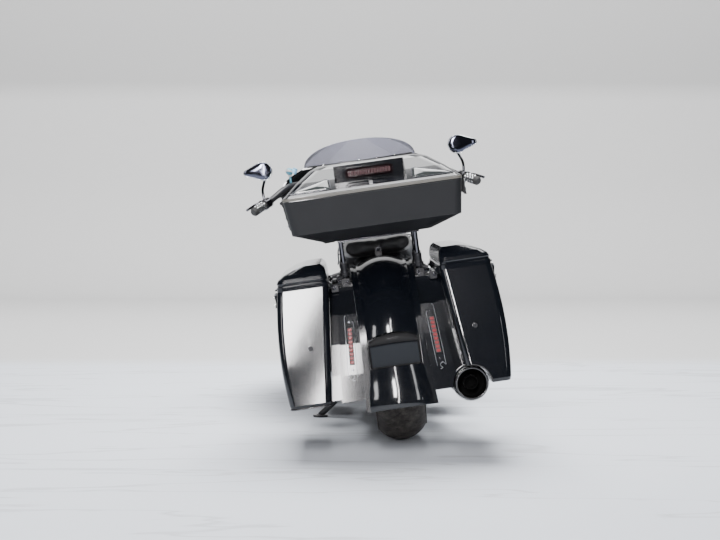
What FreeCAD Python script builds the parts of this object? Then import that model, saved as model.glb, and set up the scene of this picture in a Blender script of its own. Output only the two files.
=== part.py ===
import FreeCAD, Part
import math
import os

# Touring cruiser motorcycle, parked on its side stand.
# Every piece is drawn on the upright machine: X to its right, Y forward from the rear axle,
# Z up from the ground. The finished pieces are then leaned onto the stand.

V = FreeCAD.Vector
RIGHT = V(1, 0, 0)
FORWARD = V(0, 1, 0)
UP = V(0, 0, 1)
ORIGIN = V(0, 0, 0)

# Stance
WHEELBASE = 1625.0
RAKE = 26.0
TRAIL = 170.0
LEAN = 8.0
RUNNING_GAP = 0.05
SEAT_GAP = 0.3

# Rear wheel
REAR_TYRE_RADIUS = 320.0
REAR_TYRE_WIDTH = 190.0
REAR_CROWN_RADIUS = 110.0
REAR_RIM_RADIUS = 203.2
REAR_RIM_WIDTH = 140.0
REAR_AXLE_RADIUS = 12.5

# Front wheel
FRONT_TYRE_RADIUS = 320.0
FRONT_TYRE_WIDTH = 130.0
FRONT_CROWN_RADIUS = 80.0
FRONT_RIM_RADIUS = 241.3
FRONT_RIM_WIDTH = 90.0
FRONT_HUB_WIDTH = 150.0
FRONT_AXLE_RADIUS = 12.5
FRONT_AXLE_BORE = 7.0

# Both wheels
RIM_THICKNESS = 12.0
RIM_FLANGE = 12.0
FLANGE_WIDTH = 8.0
HUB_RADIUS = 40.0
SPOKE_PAIRS = 5
SPOKE_ROOT = (30.0, 44.0)
SPOKE_TIP = (20.0, 26.0)
SPOKE_SPREAD = 15.0

# Brakes
DISC_RADIUS = 150.0
DISC_THICKNESS = 6.0
DISC_HOLE_RADIUS = 52.0
DISC_WINDOWS = 10
DISC_WINDOW_RADIUS = 11.0
FRONT_DISC_X = 62.0
REAR_DISC_X = 101.0
CALIPER_GAP = 10.0

# Final drive
BELT_WIDTH = 24.0
BELT_THICKNESS = 6.0
BELT_X = -113.0
REAR_PULLEY_RADIUS = 140.0
FRONT_PULLEY_RADIUS = 55.0
PULLEY_Y = 480.0
PULLEY_Z = 330.0
PULLEY_FLANGE = 5.0

# Steering head and fork, measured along the steering axis from the ground
HEAD_LOW = 846.0
HEAD_HIGH = 1024.0
HEAD_RADIUS = 32.0
STEM_RADIUS = 18.0
CLAMP_THICKNESS = 28.0
CLAMP_GAP = 3.0
CLAMP_RIM = 9.0
FORK_HALF_WIDTH = 115.0
FORK_SETBACK = 20.0
FORK_TUBE_RADIUS = 24.5
SLIDER_RADIUS = 30.0
SLIDER_TOP = 690.0
SLIDER_DROP = 26.0

# Frame tubes
BACKBONE_RADIUS = 24.0
TUBE_RADIUS = 16.0
RAIL_RADIUS = 12.0
CRADLE_HALF_WIDTH = 100.0
POST_HALF_WIDTH = 78.0
CRADLE_Z = 150.0
RAIL_HALF_WIDTH = 140.0
RAIL_Z = 640.0
PIVOT_Y = 375.0
PIVOT_Z = 330.0
ARM_HALF_WIDTH = 150.0
ARM_WIDTH = 26.0

SIDE_COVER_X = 146.0
SIDE_COVER_THICKNESS = 14.0
BOARD_TOP_Z = 240.0
TANK_REAR_Y = 650.0
TANK_SETBACK = 363.0

# Engine
CRANK_Y = 740.0
CRANK_Z = 330.0
VEE_HALF_ANGLE = 22.5
CYLINDER_BASE = 120.0
FIN_COUNT = 10
FIN_PITCH = 12.0
FIN_THICKNESS = 4.5
FIN_HALF_X = 74.0
FIN_HALF_Y = 66.0
BARREL_RADIUS = 52.0
HEAD_HEIGHT = 58.0
ROCKER_HEIGHT = 52.0
PRIMARY_INNER_X = -134.0
PRIMARY_OUTER_X = -178.0
CLUTCH_Y = 520.0
CLUTCH_RADIUS = 105.0

# Exhaust
MUFFLER_RADIUS = 61.0
MUFFLER_MOUTH = 53.0
MUFFLER_TIP = V(260, -516, 242)
MUFFLER_FRONT = V(243, 60, 232)
MUFFLER_DEPTH = 160.0
PIPE_RADIUS = 23.0
MUFFLER_CLEARANCE = 9.0

# Saddlebags, right side; the left one mirrors them
BAG_BOTTOM_Z = 240.0
BAG_SEAM_Z = 660.0
BAG_WALL = 4.0
BAG_CORNER = 22.0
BAG_INNER_TOP = 204.0
BAG_INNER_BOTTOM = 254.0
BAG_OUTER_TOP = 392.0
BAG_OUTER_MIDDLE = 412.0
BAG_OUTER_BOTTOM = 402.0
BAG_REAR_TOP = -466.0
BAG_REAR_BOTTOM = -552.0
BAG_FRONT_TOP = 190.0
BAG_FRONT_BOTTOM = 60.0
BAG_LID_HEIGHT = 81.0
BAG_LID_GROOVE = 3.5
BAG_LOCK_RADIUS = 9.0
BAG_HINGES = (-370.0, 50.0)
BAG_LATCH_Y = -392.0

# Fender fillers
LINER_THICKNESS = 12.0
LINER_GAP = 1.0

# Top case
CASE_FLOOR_Z = 815.0
CASE_FACE_RISE = 41.0
CASE_BODY_HEIGHT = 163.0
CASE_LID_HEIGHT = 114.0
CASE_HALF_WIDTH = 322.0
CASE_FACE_INSET = 15.0
CASE_FLOOR_INSET = 124.0
CASE_REAR = -542.0
CASE_LENGTH = 462.0
CASE_WALL = 5.0
CASE_BEAD = 14.0
CASE_CORNER = 24.0
HINGE_RADIUS = 6.5
HINGE_PIN_RADIUS = 2.5
HINGE_OUTSET = 8.0
HINGE_KNUCKLE = 22.0
HINGE_LEAF = 13.0
CASE_HINGES = (-440.0, -190.0)
CASE_LATCHES = (-455.0, -175.0)
LATCH_WIDTH = 34.0
LATCH_HEIGHT = 58.0
LATCH_DEPTH = 14.0
POCKET_HALF_WIDTH = 128.0
POCKET_DEPTH = 117.0
POCKET_DROP = 70.0
POCKET_SLOPE = 24.0
PANEL_DEPTH = 3.0
LAMP_HALF_LENGTH = 88.0
LAMP_HALF_HEIGHT = 18.0
LAMP_BEZEL = 6.0

CASE_FACE_Z = CASE_FLOOR_Z + CASE_FACE_RISE
CASE_RIM_Z = CASE_FLOOR_Z + CASE_BODY_HEIGHT
CASE_TOP_Z = CASE_RIM_Z + CASE_LID_HEIGHT
CASE_FRONT = CASE_REAR + CASE_LENGTH
POCKET_WALL_Y = CASE_REAR + POCKET_DEPTH
POCKET_DECK_Z = CASE_TOP_Z - POCKET_DROP

# Rear fender
FENDER_HALF_WIDTH = 117.0
FENDER_WALL = 4.0
FENDER_BEAD = 3.0
FENDER_BEAD_WIDTH = 11.0
FENDER_CROWN = 25.0
FENDER_CREASE_X = 98.0
FENDER_FLARE = 14.0
FENDER_BEAD_FOOT = 338.0
FENDER_TAIL_Y = -513.0
FENDER_TAIL_Z = 189.0
FENDER_KNEE_Y = -478.0
FENDER_KNEE_Z = 400.0
FENDER_TOP_Z = 706.0
PLATE_WIDTH = 178.0
PLATE_HEIGHT = 102.0
PLATE_THICKNESS = 1.5
PLATE_Z = 392.0
PLATE_HOLE_RADIUS = 3.5
PLATE_HOLE_SPACING = 146.0

# Handlebar and controls
BAR_RADIUS = 15.0
GRIP_RADIUS = 19.0
GRIP_LENGTH = 130.0
BAR_ROUTE = [V(0, WHEELBASE - 307, 1012), V(115, WHEELBASE - 307, 1012), V(225, WHEELBASE - 335, 1058),
             V(350, WHEELBASE - 505, 1052), V(425, WHEELBASE - 615, 1000), V(500, WHEELBASE - 735, 960)]
MIRROR_CENTRE = V(468, WHEELBASE - 607, 1136)
MIRROR_LENGTH = 132.0
MIRROR_HEIGHT = 86.0

# Fairing and headlight
FAIRING_WALL = 6.0
LAMP_Y = WHEELBASE - 185
LAMP_Z = 930.0
LAMP_RADIUS = 95.0

# Side stand
STAND_PIVOT = V(-178, 585, 165)
STAND_FOOT_X = -335.0
STAND_FOOT_Y = 625.0
STAND_RAISED = V(-8, -194, -30)
STAND_RADIUS = 13.0
STAND_PIN_RADIUS = 8.0
STAND_EYE_LENGTH = 24.0
STAND_FOOT_RADIUS = 32.0
STAND_FOOT_THICKNESS = 9.0

lean_cos = math.cos(math.radians(LEAN))
lean_sin = math.sin(math.radians(LEAN))
rake_cos = math.cos(math.radians(RAKE))
rake_sin = math.sin(math.radians(RAKE))

# A leaning tyre stands on the side of its crown, so the machine sits a little higher.
# The front tyre and the bags' rear edge lie this far from even about the origin.
ORIGIN_SHIFT = 7.0
GROUND_DROP = REAR_CROWN_RADIUS * (1 - lean_cos)
ORIGIN_X = -143.0
ORIGIN_Y = (WHEELBASE + FRONT_TYRE_RADIUS + BAG_REAR_BOTTOM) / 2 + ORIGIN_SHIFT


def parked(shape):
    """Lean an upright piece onto the side stand and move it to the part's origin."""
    lean = FreeCAD.Placement(ORIGIN, FreeCAD.Rotation(FORWARD, -LEAN))
    shift = FreeCAD.Placement(V(-ORIGIN_X, -ORIGIN_Y, GROUND_DROP), FreeCAD.Rotation())
    result = shape.copy()
    result.Placement = shift.multiply(lean).multiply(result.Placement)
    return result


def upright(x, y, z):
    """The upright machine's point that comes to lie at x, y and height z above the ground."""
    z_turned = z - GROUND_DROP
    return V(x * lean_cos + z_turned * lean_sin, y, -x * lean_sin + z_turned * lean_cos)


def save(name, shape):
    """Write one piece, leaned onto the stand, as its own file."""
    parked(shape).exportStep("parts/" + name + ".step")


def mirrored(shape):
    """The same piece on the other side of the machine."""
    return shape.mirror(ORIGIN, RIGHT)


def both(shape):
    """A right-hand piece together with its left-hand twin, as two separate solids."""
    return Part.makeCompound([shape, mirrored(shape)])


def fused(shapes):
    """One piece from several that overlap."""
    result = shapes[0]
    if len(shapes) > 1:
        result = shapes[0].fuse(shapes[1:])
    return result.removeSplitter()


def block(low, high):
    """A box between two corners."""
    size = high - low
    return Part.makeBox(size.x, size.y, size.z, low)


def rod(start, end, radius):
    """A round bar from one point to another."""
    along = end - start
    return Part.makeCylinder(radius, along.Length, start, along)


def tapered_rod(start, end, start_radius, end_radius):
    """A round bar that narrows or widens."""
    along = end - start
    return Part.makeCone(start_radius, end_radius, along.Length, start, along)


def bent_path(points, share=0.42):
    """Straight runs joined by tangent arcs, each as large as its two runs allow."""
    edges = []
    last = points[0]
    for before, corner, after in zip(points, points[1:], points[2:]):
        run_in = corner - before
        run_out = after - corner
        trim = share * min(run_in.Length, run_out.Length)
        arc_start = corner - V(run_in).normalize() * trim
        arc_end = corner + V(run_out).normalize() * trim
        turn = run_in.getAngle(run_out)
        radius = trim / math.tan(turn / 2)
        towards = (V(run_out).normalize() - V(run_in).normalize()).normalize()
        centre = corner + towards * math.hypot(trim, radius)
        middle = centre - towards * radius
        edges.append(Part.LineSegment(last, arc_start).toShape())
        edges.append(Part.Arc(arc_start, middle, arc_end).toShape())
        last = arc_end
    edges.append(Part.LineSegment(last, points[-1]).toShape())
    return Part.Wire(edges)


def tube(points, radius, bore=0.0):
    """A bent tube along a route, solid unless it has a bore."""
    path = bent_path(points)
    along = points[1] - points[0]
    outer = Part.Wire(Part.makeCircle(radius, points[0], along))
    result = path.makePipeShell([outer], True, True)
    if bore > 0:
        inner = Part.Wire(Part.makeCircle(bore, points[0], along))
        result = result.cut(path.makePipeShell([inner], True, True))
    return result


def side_points(pairs, x=0.0):
    """Points of a side view, given as (y, z) pairs."""
    return [V(x, y, z) for y, z in pairs]


def side_plate(pairs, low_x, high_x):
    """A side-view outline, extruded across the machine."""
    outline = side_points(pairs, low_x)
    face = Part.Face(Part.makePolygon(outline + outline[:1]))
    return face.extrude(V(high_x - low_x, 0, 0))


def front_plate(pairs, low_y, high_y):
    """A front-view outline of (x, z) pairs, extruded along the machine."""
    outline = [V(x, low_y, z) for x, z in pairs]
    face = Part.Face(Part.makePolygon(outline + outline[:1]))
    return face.extrude(V(0, high_y - low_y, 0))


def rounded_wire(centre, across, along, half_across, half_along, radius):
    """A rounded rectangle in the plane of two directions."""
    quarter = math.sqrt(0.5)
    corners = [(1, -1), (1, 1), (-1, 1), (-1, -1)]
    starts = []
    middles = []
    ends = []
    for index, (side, end) in enumerate(corners):
        pivot = centre + across * (side * (half_across - radius)) + along * (end * (half_along - radius))
        out_across = across * (side * radius)
        out_along = along * (end * radius)
        first, second = (out_along, out_across) if index % 2 == 0 else (out_across, out_along)
        starts.append(pivot + first)
        middles.append(pivot + (out_across + out_along) * quarter)
        ends.append(pivot + second)
    edges = []
    for index in range(4):
        edges.append(Part.Arc(starts[index], middles[index], ends[index]).toShape())
        following = starts[(index + 1) % 4]
        edges.append(Part.LineSegment(ends[index], following).toShape())
    return Part.Wire(edges)


def level_wire(low_x, high_x, low_y, high_y, z, radius):
    """A rounded rectangle that lies level."""
    centre = V((low_x + high_x) / 2, (low_y + high_y) / 2, z)
    return rounded_wire(centre, RIGHT, FORWARD, (high_x - low_x) / 2, (high_y - low_y) / 2, radius)


def cross_wire(half_x, low_z, high_z, y, radius):
    """A rounded rectangle across the machine at one place along it."""
    centre = V(0, y, (low_z + high_z) / 2)
    return rounded_wire(centre, RIGHT, UP, half_x, (high_z - low_z) / 2, radius)


def skin(wires, ruled=False):
    """A solid through a row of outlines."""
    return Part.makeLoft(wires, True, ruled)


def ring(outline, centre, sweep=360.0, start=0.0):
    """Turn an outline of (x, radius) pairs about a cross axis through a centre."""
    points = [V(x, 0, radius) for x, radius in outline]
    face = Part.Face(Part.makePolygon(points + points[:1]))
    solid = face.revolve(ORIGIN, RIGHT, sweep)
    solid.rotate(ORIGIN, RIGHT, start)
    solid.translate(centre)
    return solid


def two_circle_hull(first, first_radius, second, second_radius, low_x, high_x):
    """The outline round two circles of a side view, extruded across the machine."""
    along = V(0, second[0] - first[0], second[1] - first[1])
    distance = along.Length
    heading = math.atan2(along.z, along.y)
    swing = math.acos((first_radius - second_radius) / distance)
    outline = []
    for centre, radius in ((first, first_radius), (second, second_radius)):
        for sign in (1, -1):
            angle = heading + sign * swing
            outline.append(V(low_x, centre[0] + radius * math.cos(angle), centre[1] + radius * math.sin(angle)))
    first_far = V(low_x, first[0] - first_radius * math.cos(heading), first[1] - first_radius * math.sin(heading))
    second_far = V(low_x, second[0] + second_radius * math.cos(heading),
                   second[1] + second_radius * math.sin(heading))
    edges = [Part.Arc(outline[0], first_far, outline[1]).toShape(),
             Part.LineSegment(outline[1], outline[3]).toShape(),
             Part.Arc(outline[3], second_far, outline[2]).toShape(),
             Part.LineSegment(outline[2], outline[0]).toShape()]
    return Part.Face(Part.Wire(edges)).extrude(V(high_x - low_x, 0, 0))


REAR_AXLE = V(0, 0, REAR_TYRE_RADIUS)
FRONT_AXLE = V(0, WHEELBASE, FRONT_TYRE_RADIUS)
STEER_GROUND = V(0, WHEELBASE + TRAIL, 0)


def on_fork(x, ahead, height):
    """A point by its place on the fork: ahead of the steering axis and up along it."""
    return STEER_GROUND + V(x, ahead * rake_cos - height * rake_sin, ahead * rake_sin + height * rake_cos)


def fork_placed(shape):
    """Stand a piece that was drawn about a vertical steering axis onto the real one."""
    result = shape.copy()
    turn = FreeCAD.Placement(STEER_GROUND, FreeCAD.Rotation(RIGHT, RAKE))
    result.Placement = turn.multiply(result.Placement)
    return result


axle_reach = FRONT_AXLE - STEER_GROUND
AXLE_AHEAD = axle_reach.y * rake_cos + axle_reach.z * rake_sin
AXLE_HEIGHT = axle_reach.z * rake_cos - axle_reach.y * rake_sin


def tyre(centre, radius, width, crown_radius, rim_radius, rim_width):
    """A tyre whose crown is an arc, seated between the rim's flanges."""
    half_bead = rim_width / 2
    shoulder_x = width / 2 - 14
    shoulder_radius = radius - crown_radius + math.sqrt(crown_radius ** 2 - shoulder_x ** 2)
    bead_top = rim_radius + RIM_FLANGE + 2
    wall_radius = (shoulder_radius + bead_top) / 2
    points = [V(-half_bead, 0, rim_radius), V(-half_bead, 0, bead_top), V(-width / 2, 0, wall_radius),
              V(-shoulder_x, 0, shoulder_radius), V(0, 0, radius), V(shoulder_x, 0, shoulder_radius),
              V(width / 2, 0, wall_radius), V(half_bead, 0, bead_top), V(half_bead, 0, rim_radius)]
    edges = [Part.LineSegment(points[0], points[1]).toShape(),
             Part.Arc(points[1], points[2], points[3]).toShape(),
             Part.Arc(points[3], points[4], points[5]).toShape(),
             Part.Arc(points[5], points[6], points[7]).toShape(),
             Part.LineSegment(points[7], points[8]).toShape(),
             Part.LineSegment(points[8], points[0]).toShape()]
    solid = Part.Face(Part.Wire(edges)).revolve(ORIGIN, RIGHT, 360)
    solid.translate(centre)
    return solid


def cast_wheel(centre, rim_radius, rim_width, hub_width, axle_radius):
    """A cast wheel: dropped rim, paired spokes and a bored hub."""
    half = rim_width / 2
    inside = rim_radius - RIM_THICKNESS
    outline = [(-half - FLANGE_WIDTH, rim_radius + RIM_FLANGE), (-half, rim_radius + RIM_FLANGE),
               (-half, rim_radius), (half, rim_radius), (half, rim_radius + RIM_FLANGE),
               (half + FLANGE_WIDTH, rim_radius + RIM_FLANGE), (half + FLANGE_WIDTH, rim_radius - 4),
               (half - 6, inside), (-half + 6, inside), (-half - FLANGE_WIDTH, rim_radius - 4)]
    pieces = [ring(outline, ORIGIN)]
    pieces.append(Part.makeCylinder(HUB_RADIUS, hub_width, V(-hub_width / 2, 0, 0), RIGHT))
    for pair in range(SPOKE_PAIRS):
        for side in (-1, 1):
            root_angle = 360.0 * pair / SPOKE_PAIRS + side * SPOKE_SPREAD * 0.8
            tip_angle = 360.0 * pair / SPOKE_PAIRS + side * SPOKE_SPREAD
            pieces.append(spoke(root_angle, tip_angle, HUB_RADIUS - 6, inside + 4))
    wheel = fused(pieces)
    bore = Part.makeCylinder(axle_radius + RUNNING_GAP, hub_width + 2, V(-hub_width / 2 - 1, 0, 0), RIGHT)
    wheel = wheel.cut(bore)
    wheel.translate(centre)
    return wheel


def spoke(root_angle, tip_angle, root_radius, tip_radius):
    """One tapered spoke from hub to rim."""
    def around(angle, radius):
        turn = math.radians(angle)
        return V(0, radius * math.sin(turn), radius * math.cos(turn))
    root = around(root_angle, root_radius)
    tip = around(tip_angle, tip_radius)
    along = V(tip - root).normalize()
    sideways = along.cross(RIGHT)
    wires = []
    for place, (width, depth) in ((root, SPOKE_ROOT), (tip, SPOKE_TIP)):
        corners = [place + RIGHT * (a * depth / 2) + sideways * (b * width / 2)
                   for a, b in ((-1, -0.4), (-1, 0.4), (0, 1), (1, 0.4), (1, -0.4), (0, -1))]
        wires.append(Part.makePolygon(corners + corners[:1]))
    return skin(wires, True)


def brake_disc(centre, low_x):
    """A brake disc with round windows, on a carrier that reaches the hub."""
    disc = Part.makeCylinder(DISC_RADIUS, DISC_THICKNESS, V(low_x, 0, 0), RIGHT)
    disc = disc.cut(Part.makeCylinder(DISC_HOLE_RADIUS, DISC_THICKNESS + 2, V(low_x - 1, 0, 0), RIGHT))
    for index in range(DISC_WINDOWS):
        turn = 2 * math.pi * index / DISC_WINDOWS
        reach = (DISC_RADIUS + DISC_HOLE_RADIUS) / 2 - 8
        window = Part.makeCylinder(DISC_WINDOW_RADIUS, DISC_THICKNESS + 2,
                                   V(low_x - 1, reach * math.sin(turn), reach * math.cos(turn)), RIGHT)
        disc = disc.cut(window)
    carrier = Part.makeCylinder(DISC_HOLE_RADIUS + 4, DISC_THICKNESS - 2, V(low_x + 1, 0, 0), RIGHT)
    carrier = carrier.cut(Part.makeCylinder(HUB_RADIUS, DISC_THICKNESS + 2, V(low_x, 0, 0), RIGHT))
    result = fused([disc, carrier])
    result.translate(centre)
    return result


def rear_wheel_pieces():
    """Rear tyre, wheel, disc and belt pulley."""
    save("rear_tyre", tyre(REAR_AXLE, REAR_TYRE_RADIUS, REAR_TYRE_WIDTH, REAR_CROWN_RADIUS,
                           REAR_RIM_RADIUS, REAR_RIM_WIDTH))
    save("rear_wheel", cast_wheel(REAR_AXLE, REAR_RIM_RADIUS, REAR_RIM_WIDTH,
                                  2 * (REAR_DISC_X + DISC_THICKNESS), REAR_AXLE_RADIUS))
    save("rear_disc", brake_disc(REAR_AXLE, REAR_DISC_X))
    save("rear_pulley", rear_pulley())


def rear_pulley():
    """The driven pulley, open between its spokes, on the hub's left end."""
    low_x = BELT_X - BELT_WIDTH / 2 - 1
    high_x = BELT_X + BELT_WIDTH / 2 + 1
    seat = REAR_PULLEY_RADIUS
    outline = [(low_x, seat), (high_x, seat), (high_x, seat + PULLEY_FLANGE), (high_x + 3, seat + PULLEY_FLANGE),
               (high_x + 3, seat - 12), (low_x, seat - 12)]
    pieces = [ring(outline, ORIGIN)]
    hub_low = -(REAR_DISC_X + DISC_THICKNESS)
    pieces.append(Part.makeCylinder(HUB_RADIUS + 16, high_x + 3 - hub_low, V(hub_low, 0, 0), RIGHT))
    for index in range(6):
        arm = block(V(low_x + 8, -13, HUB_RADIUS + 8), V(high_x, 13, seat - 6))
        arm.rotate(ORIGIN, RIGHT, 60.0 * index)
        pieces.append(arm)
    pulley = fused(pieces)
    pulley = pulley.cut(Part.makeCylinder(HUB_RADIUS, 80, V(hub_low - 20, 0, 0), RIGHT))
    pulley.translate(REAR_AXLE)
    return pulley


def front_wheel_pieces():
    """Front tyre, wheel and twin discs."""
    save("front_tyre", tyre(FRONT_AXLE, FRONT_TYRE_RADIUS, FRONT_TYRE_WIDTH, FRONT_CROWN_RADIUS,
                            FRONT_RIM_RADIUS, FRONT_RIM_WIDTH))
    save("front_wheel", cast_wheel(FRONT_AXLE, FRONT_RIM_RADIUS, FRONT_RIM_WIDTH, FRONT_HUB_WIDTH,
                                   FRONT_AXLE_RADIUS))
    disc = brake_disc(FRONT_AXLE, FRONT_DISC_X)
    save("front_discs", both(disc))


def frame():
    """Head tube, backbone, twin down tubes, cradle, seat posts and rear rails."""
    head_low = on_fork(0, 0, HEAD_LOW)
    head_high = on_fork(0, 0, HEAD_HIGH)
    pieces = [rod(head_low, head_high, HEAD_RADIUS), backbone(BACKBONE_RADIUS)]
    for side in (-1, 1):
        down = [on_fork(side * 22, -20, HEAD_LOW + 110), V(side * 24, WHEELBASE - 295, 640),
                V(side * CRADLE_HALF_WIDTH, 1100, 210), V(side * CRADLE_HALF_WIDTH, 1010, CRADLE_Z),
                V(side * CRADLE_HALF_WIDTH, 500, CRADLE_Z), V(side * POST_HALF_WIDTH, PIVOT_Y, 210),
                V(side * POST_HALF_WIDTH, PIVOT_Y, 560)]
        pieces.append(tube(down, TUBE_RADIUS))
        rail = [V(side * POST_HALF_WIDTH, PIVOT_Y, 530), V(side * (POST_HALF_WIDTH + 12), 330, 600),
                V(side * RAIL_HALF_WIDTH, 230, RAIL_Z), V(side * RAIL_HALF_WIDTH, -330, RAIL_Z)]
        pieces.append(tube(rail, RAIL_RADIUS))
    pieces.append(rod(V(-SIDE_COVER_X, 400, 600), V(SIDE_COVER_X, 400, 600), TUBE_RADIUS))
    for side in (-1, 1):
        pieces.append(rod(V(side * POST_HALF_WIDTH, 400, 600),
                          V(side * POST_HALF_WIDTH, PIVOT_Y, 520), TUBE_RADIUS - 1))
        for y in (120, -220):
            pieces.append(rod(V(side * RAIL_HALF_WIDTH, y, RAIL_Z), V(side * (BAG_INNER_TOP + 4), y, 606),
                              RAIL_RADIUS - 3))
        for y in (90, -120, -290):
            pieces.append(rod(V(side * FENDER_HALF_WIDTH, y, RAIL_Z), V(side * RAIL_HALF_WIDTH, y, RAIL_Z), 10))
    for y in (1010, 560):
        pieces.append(rod(V(-CRADLE_HALF_WIDTH, y, CRADLE_Z), V(CRADLE_HALF_WIDTH, y, CRADLE_Z), TUBE_RADIUS - 3))
    pieces += stand_bracket()
    solid = fused(pieces)
    stem_bore = rod(on_fork(0, 0, HEAD_LOW - 5), on_fork(0, 0, HEAD_HIGH + 5), STEM_RADIUS + RUNNING_GAP)
    return solid.cut([stem_bore, bag_form(), mirrored(bag_form())])


def stand_bracket():
    """The arm, boss and headed pin that carry the side stand."""
    axis = stand_axis() * -1
    half = STAND_EYE_LENGTH / 2
    boss_low = STAND_PIVOT + axis * (half + SEAT_GAP)
    boss_high = boss_low + axis * 22
    arm = rod(V(-CRADLE_HALF_WIDTH, STAND_PIVOT.y, CRADLE_Z - 4), boss_high * 0.7 + boss_low * 0.3, 10)
    pin = rod(STAND_PIVOT - axis * (half + 2), boss_high, STAND_PIN_RADIUS)
    head = rod(STAND_PIVOT - axis * (half + SEAT_GAP + 6), STAND_PIVOT - axis * (half + SEAT_GAP), STAND_PIN_RADIUS + 5)
    return [arm, rod(boss_low, boss_high, 15), pin, head]


def backbone(radius):
    """The tube over the engine, from the head to the seat posts."""
    return tube([on_fork(0, -10, (HEAD_LOW + HEAD_HIGH) / 2), V(0, WHEELBASE - 505, 800), V(0, 640, 745), V(0, 500, 715),
                 V(0, 400, 600)], radius)


def swingarm():
    """Two arms from the pivot tube to the rear axle, with the rear brake caliper."""
    pieces = [rod(V(-ARM_HALF_WIDTH, PIVOT_Y, PIVOT_Z), V(ARM_HALF_WIDTH, PIVOT_Y, PIVOT_Z), 22)]
    for side in (-1, 1):
        inner = side * (ARM_HALF_WIDTH - ARM_WIDTH / 2)
        outer = side * (ARM_HALF_WIDTH + ARM_WIDTH / 2)
        pieces.append(two_circle_hull((PIVOT_Y, PIVOT_Z), 26, (0, REAR_TYRE_RADIUS), 30,
                                      min(inner, outer), max(inner, outer)))
    arms = fused(pieces)
    arms = arms.cut(rod(V(-200, 0, REAR_TYRE_RADIUS), V(200, 0, REAR_TYRE_RADIUS), REAR_AXLE_RADIUS))
    for side in (-1, 1):
        arms = arms.cut(rod(V(side * POST_HALF_WIDTH, PIVOT_Y, 200),
                            V(side * POST_HALF_WIDTH, PIVOT_Y, 500), TUBE_RADIUS))
    return fused([arms, rear_caliper()])


def rear_caliper():
    """The rear brake caliper, which straddles the disc from its bracket on the right arm."""
    inner_x = ARM_HALF_WIDTH - ARM_WIDTH / 2
    low = REAR_AXLE + V(REAR_DISC_X - 19, 72, 30)
    high = REAR_AXLE + V(inner_x - 6, 150, 98)
    bracket = block(V(REAR_DISC_X + DISC_THICKNESS + 8, low.y + 12, REAR_TYRE_RADIUS), V(inner_x + 2, high.y - 20, low.z + 30))
    slot = Part.makeCylinder(DISC_RADIUS + 5, DISC_THICKNESS + CALIPER_GAP,
                             V(REAR_DISC_X - CALIPER_GAP / 2, REAR_AXLE.y, REAR_AXLE.z), RIGHT)
    return fused([block(low, high), bracket]).cut(slot)


def rear_axle():
    """The rear axle with its two nuts and the spacers up to the hub."""
    half = ARM_HALF_WIDTH + ARM_WIDTH / 2
    hub_end = REAR_DISC_X + DISC_THICKNESS
    pieces = [rod(V(-half - 14, 0, 0), V(half + 14, 0, 0), REAR_AXLE_RADIUS)]
    for side in (-1, 1):
        pieces.append(rod(V(side * half, 0, 0), V(side * (half + 10), 0, 0), 21))
        pieces.append(rod(V(side * (hub_end + 1), 0, 0), V(side * (ARM_HALF_WIDTH - ARM_WIDTH / 2), 0, 0), 20))
    axle = fused(pieces)
    axle.translate(REAR_AXLE)
    return axle


def rear_shock():
    """One shock absorber with its spring sleeve, between swingarm and rear rail."""
    low = V(182, 105, 360)
    high = V(182, 150, RAIL_Z)
    along = V(high - low).normalize()
    pieces = [rod(low, high, 8), rod(low + along * 30, high - along * 50, 17)]
    pieces.append(rod(V(ARM_HALF_WIDTH + ARM_WIDTH / 2, 105, 360) - V(0, 0, 0), V(196, 105, 360), 13))
    pieces.append(rod(V(RAIL_HALF_WIDTH + RAIL_RADIUS, 150, RAIL_Z), V(196, 150, RAIL_Z), 13))
    return fused(pieces)


def belt():
    """The drive belt round both pulleys."""
    low_x = BELT_X - BELT_WIDTH / 2
    high_x = BELT_X + BELT_WIDTH / 2
    rear = (REAR_AXLE.y, REAR_AXLE.z)
    front = (PULLEY_Y, PULLEY_Z)
    outer = two_circle_hull(rear, REAR_PULLEY_RADIUS + SEAT_GAP + BELT_THICKNESS, front,
                            FRONT_PULLEY_RADIUS + BELT_THICKNESS, low_x, high_x)
    inner = two_circle_hull(rear, REAR_PULLEY_RADIUS + SEAT_GAP, front, FRONT_PULLEY_RADIUS,
                            low_x - 1, high_x + 1)
    return outer.cut(inner)


def engine_cases():
    """Crankcase, gearbox and the front drive pulley."""
    tilt = math.radians(VEE_HALF_ANGLE)
    deck_y = CYLINDER_BASE * math.sin(tilt)
    deck_z = CRANK_Z + CYLINDER_BASE * math.cos(tilt)
    edge_y = FIN_HALF_Y * math.cos(tilt)
    edge_z = deck_z - FIN_HALF_Y * math.sin(tilt)
    body = [(850, 300), (858, edge_z - 20), (CRANK_Y + deck_y + edge_y, edge_z),
            (CRANK_Y, deck_z + deck_y * math.tan(tilt)), (CRANK_Y - deck_y - edge_y, edge_z),
            (600, 395), (425, 395), (418, 245), (470, 205), (830, 205)]
    pieces = [side_plate(body, -72, 78)]
    pieces.append(rod(V(PRIMARY_INNER_X, CRANK_Y, CRANK_Z), V(-60, CRANK_Y, CRANK_Z), 104))
    pieces.append(rod(V(BELT_X - BELT_WIDTH / 2 - 2, PULLEY_Y, PULLEY_Z), V(-60, PULLEY_Y, PULLEY_Z), 30))
    pieces.append(rod(V(BELT_X - BELT_WIDTH / 2 - 2, PULLEY_Y, PULLEY_Z),
                      V(BELT_X + BELT_WIDTH / 2 + 2, PULLEY_Y, PULLEY_Z), FRONT_PULLEY_RADIUS))
    pieces.append(side_plate([(835, 205), (825, 168), (500, 168), (480, 205)], -70, 70))
    return fused(pieces)


def vee_placed(shape, tilt):
    """Tilt a piece that was drawn on a vertical cylinder onto its bank of the vee."""
    result = shape.copy()
    turn = FreeCAD.Placement(V(0, CRANK_Y, CRANK_Z), FreeCAD.Rotation(RIGHT, -tilt))
    result.Placement = turn.multiply(result.Placement)
    return result


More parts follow.
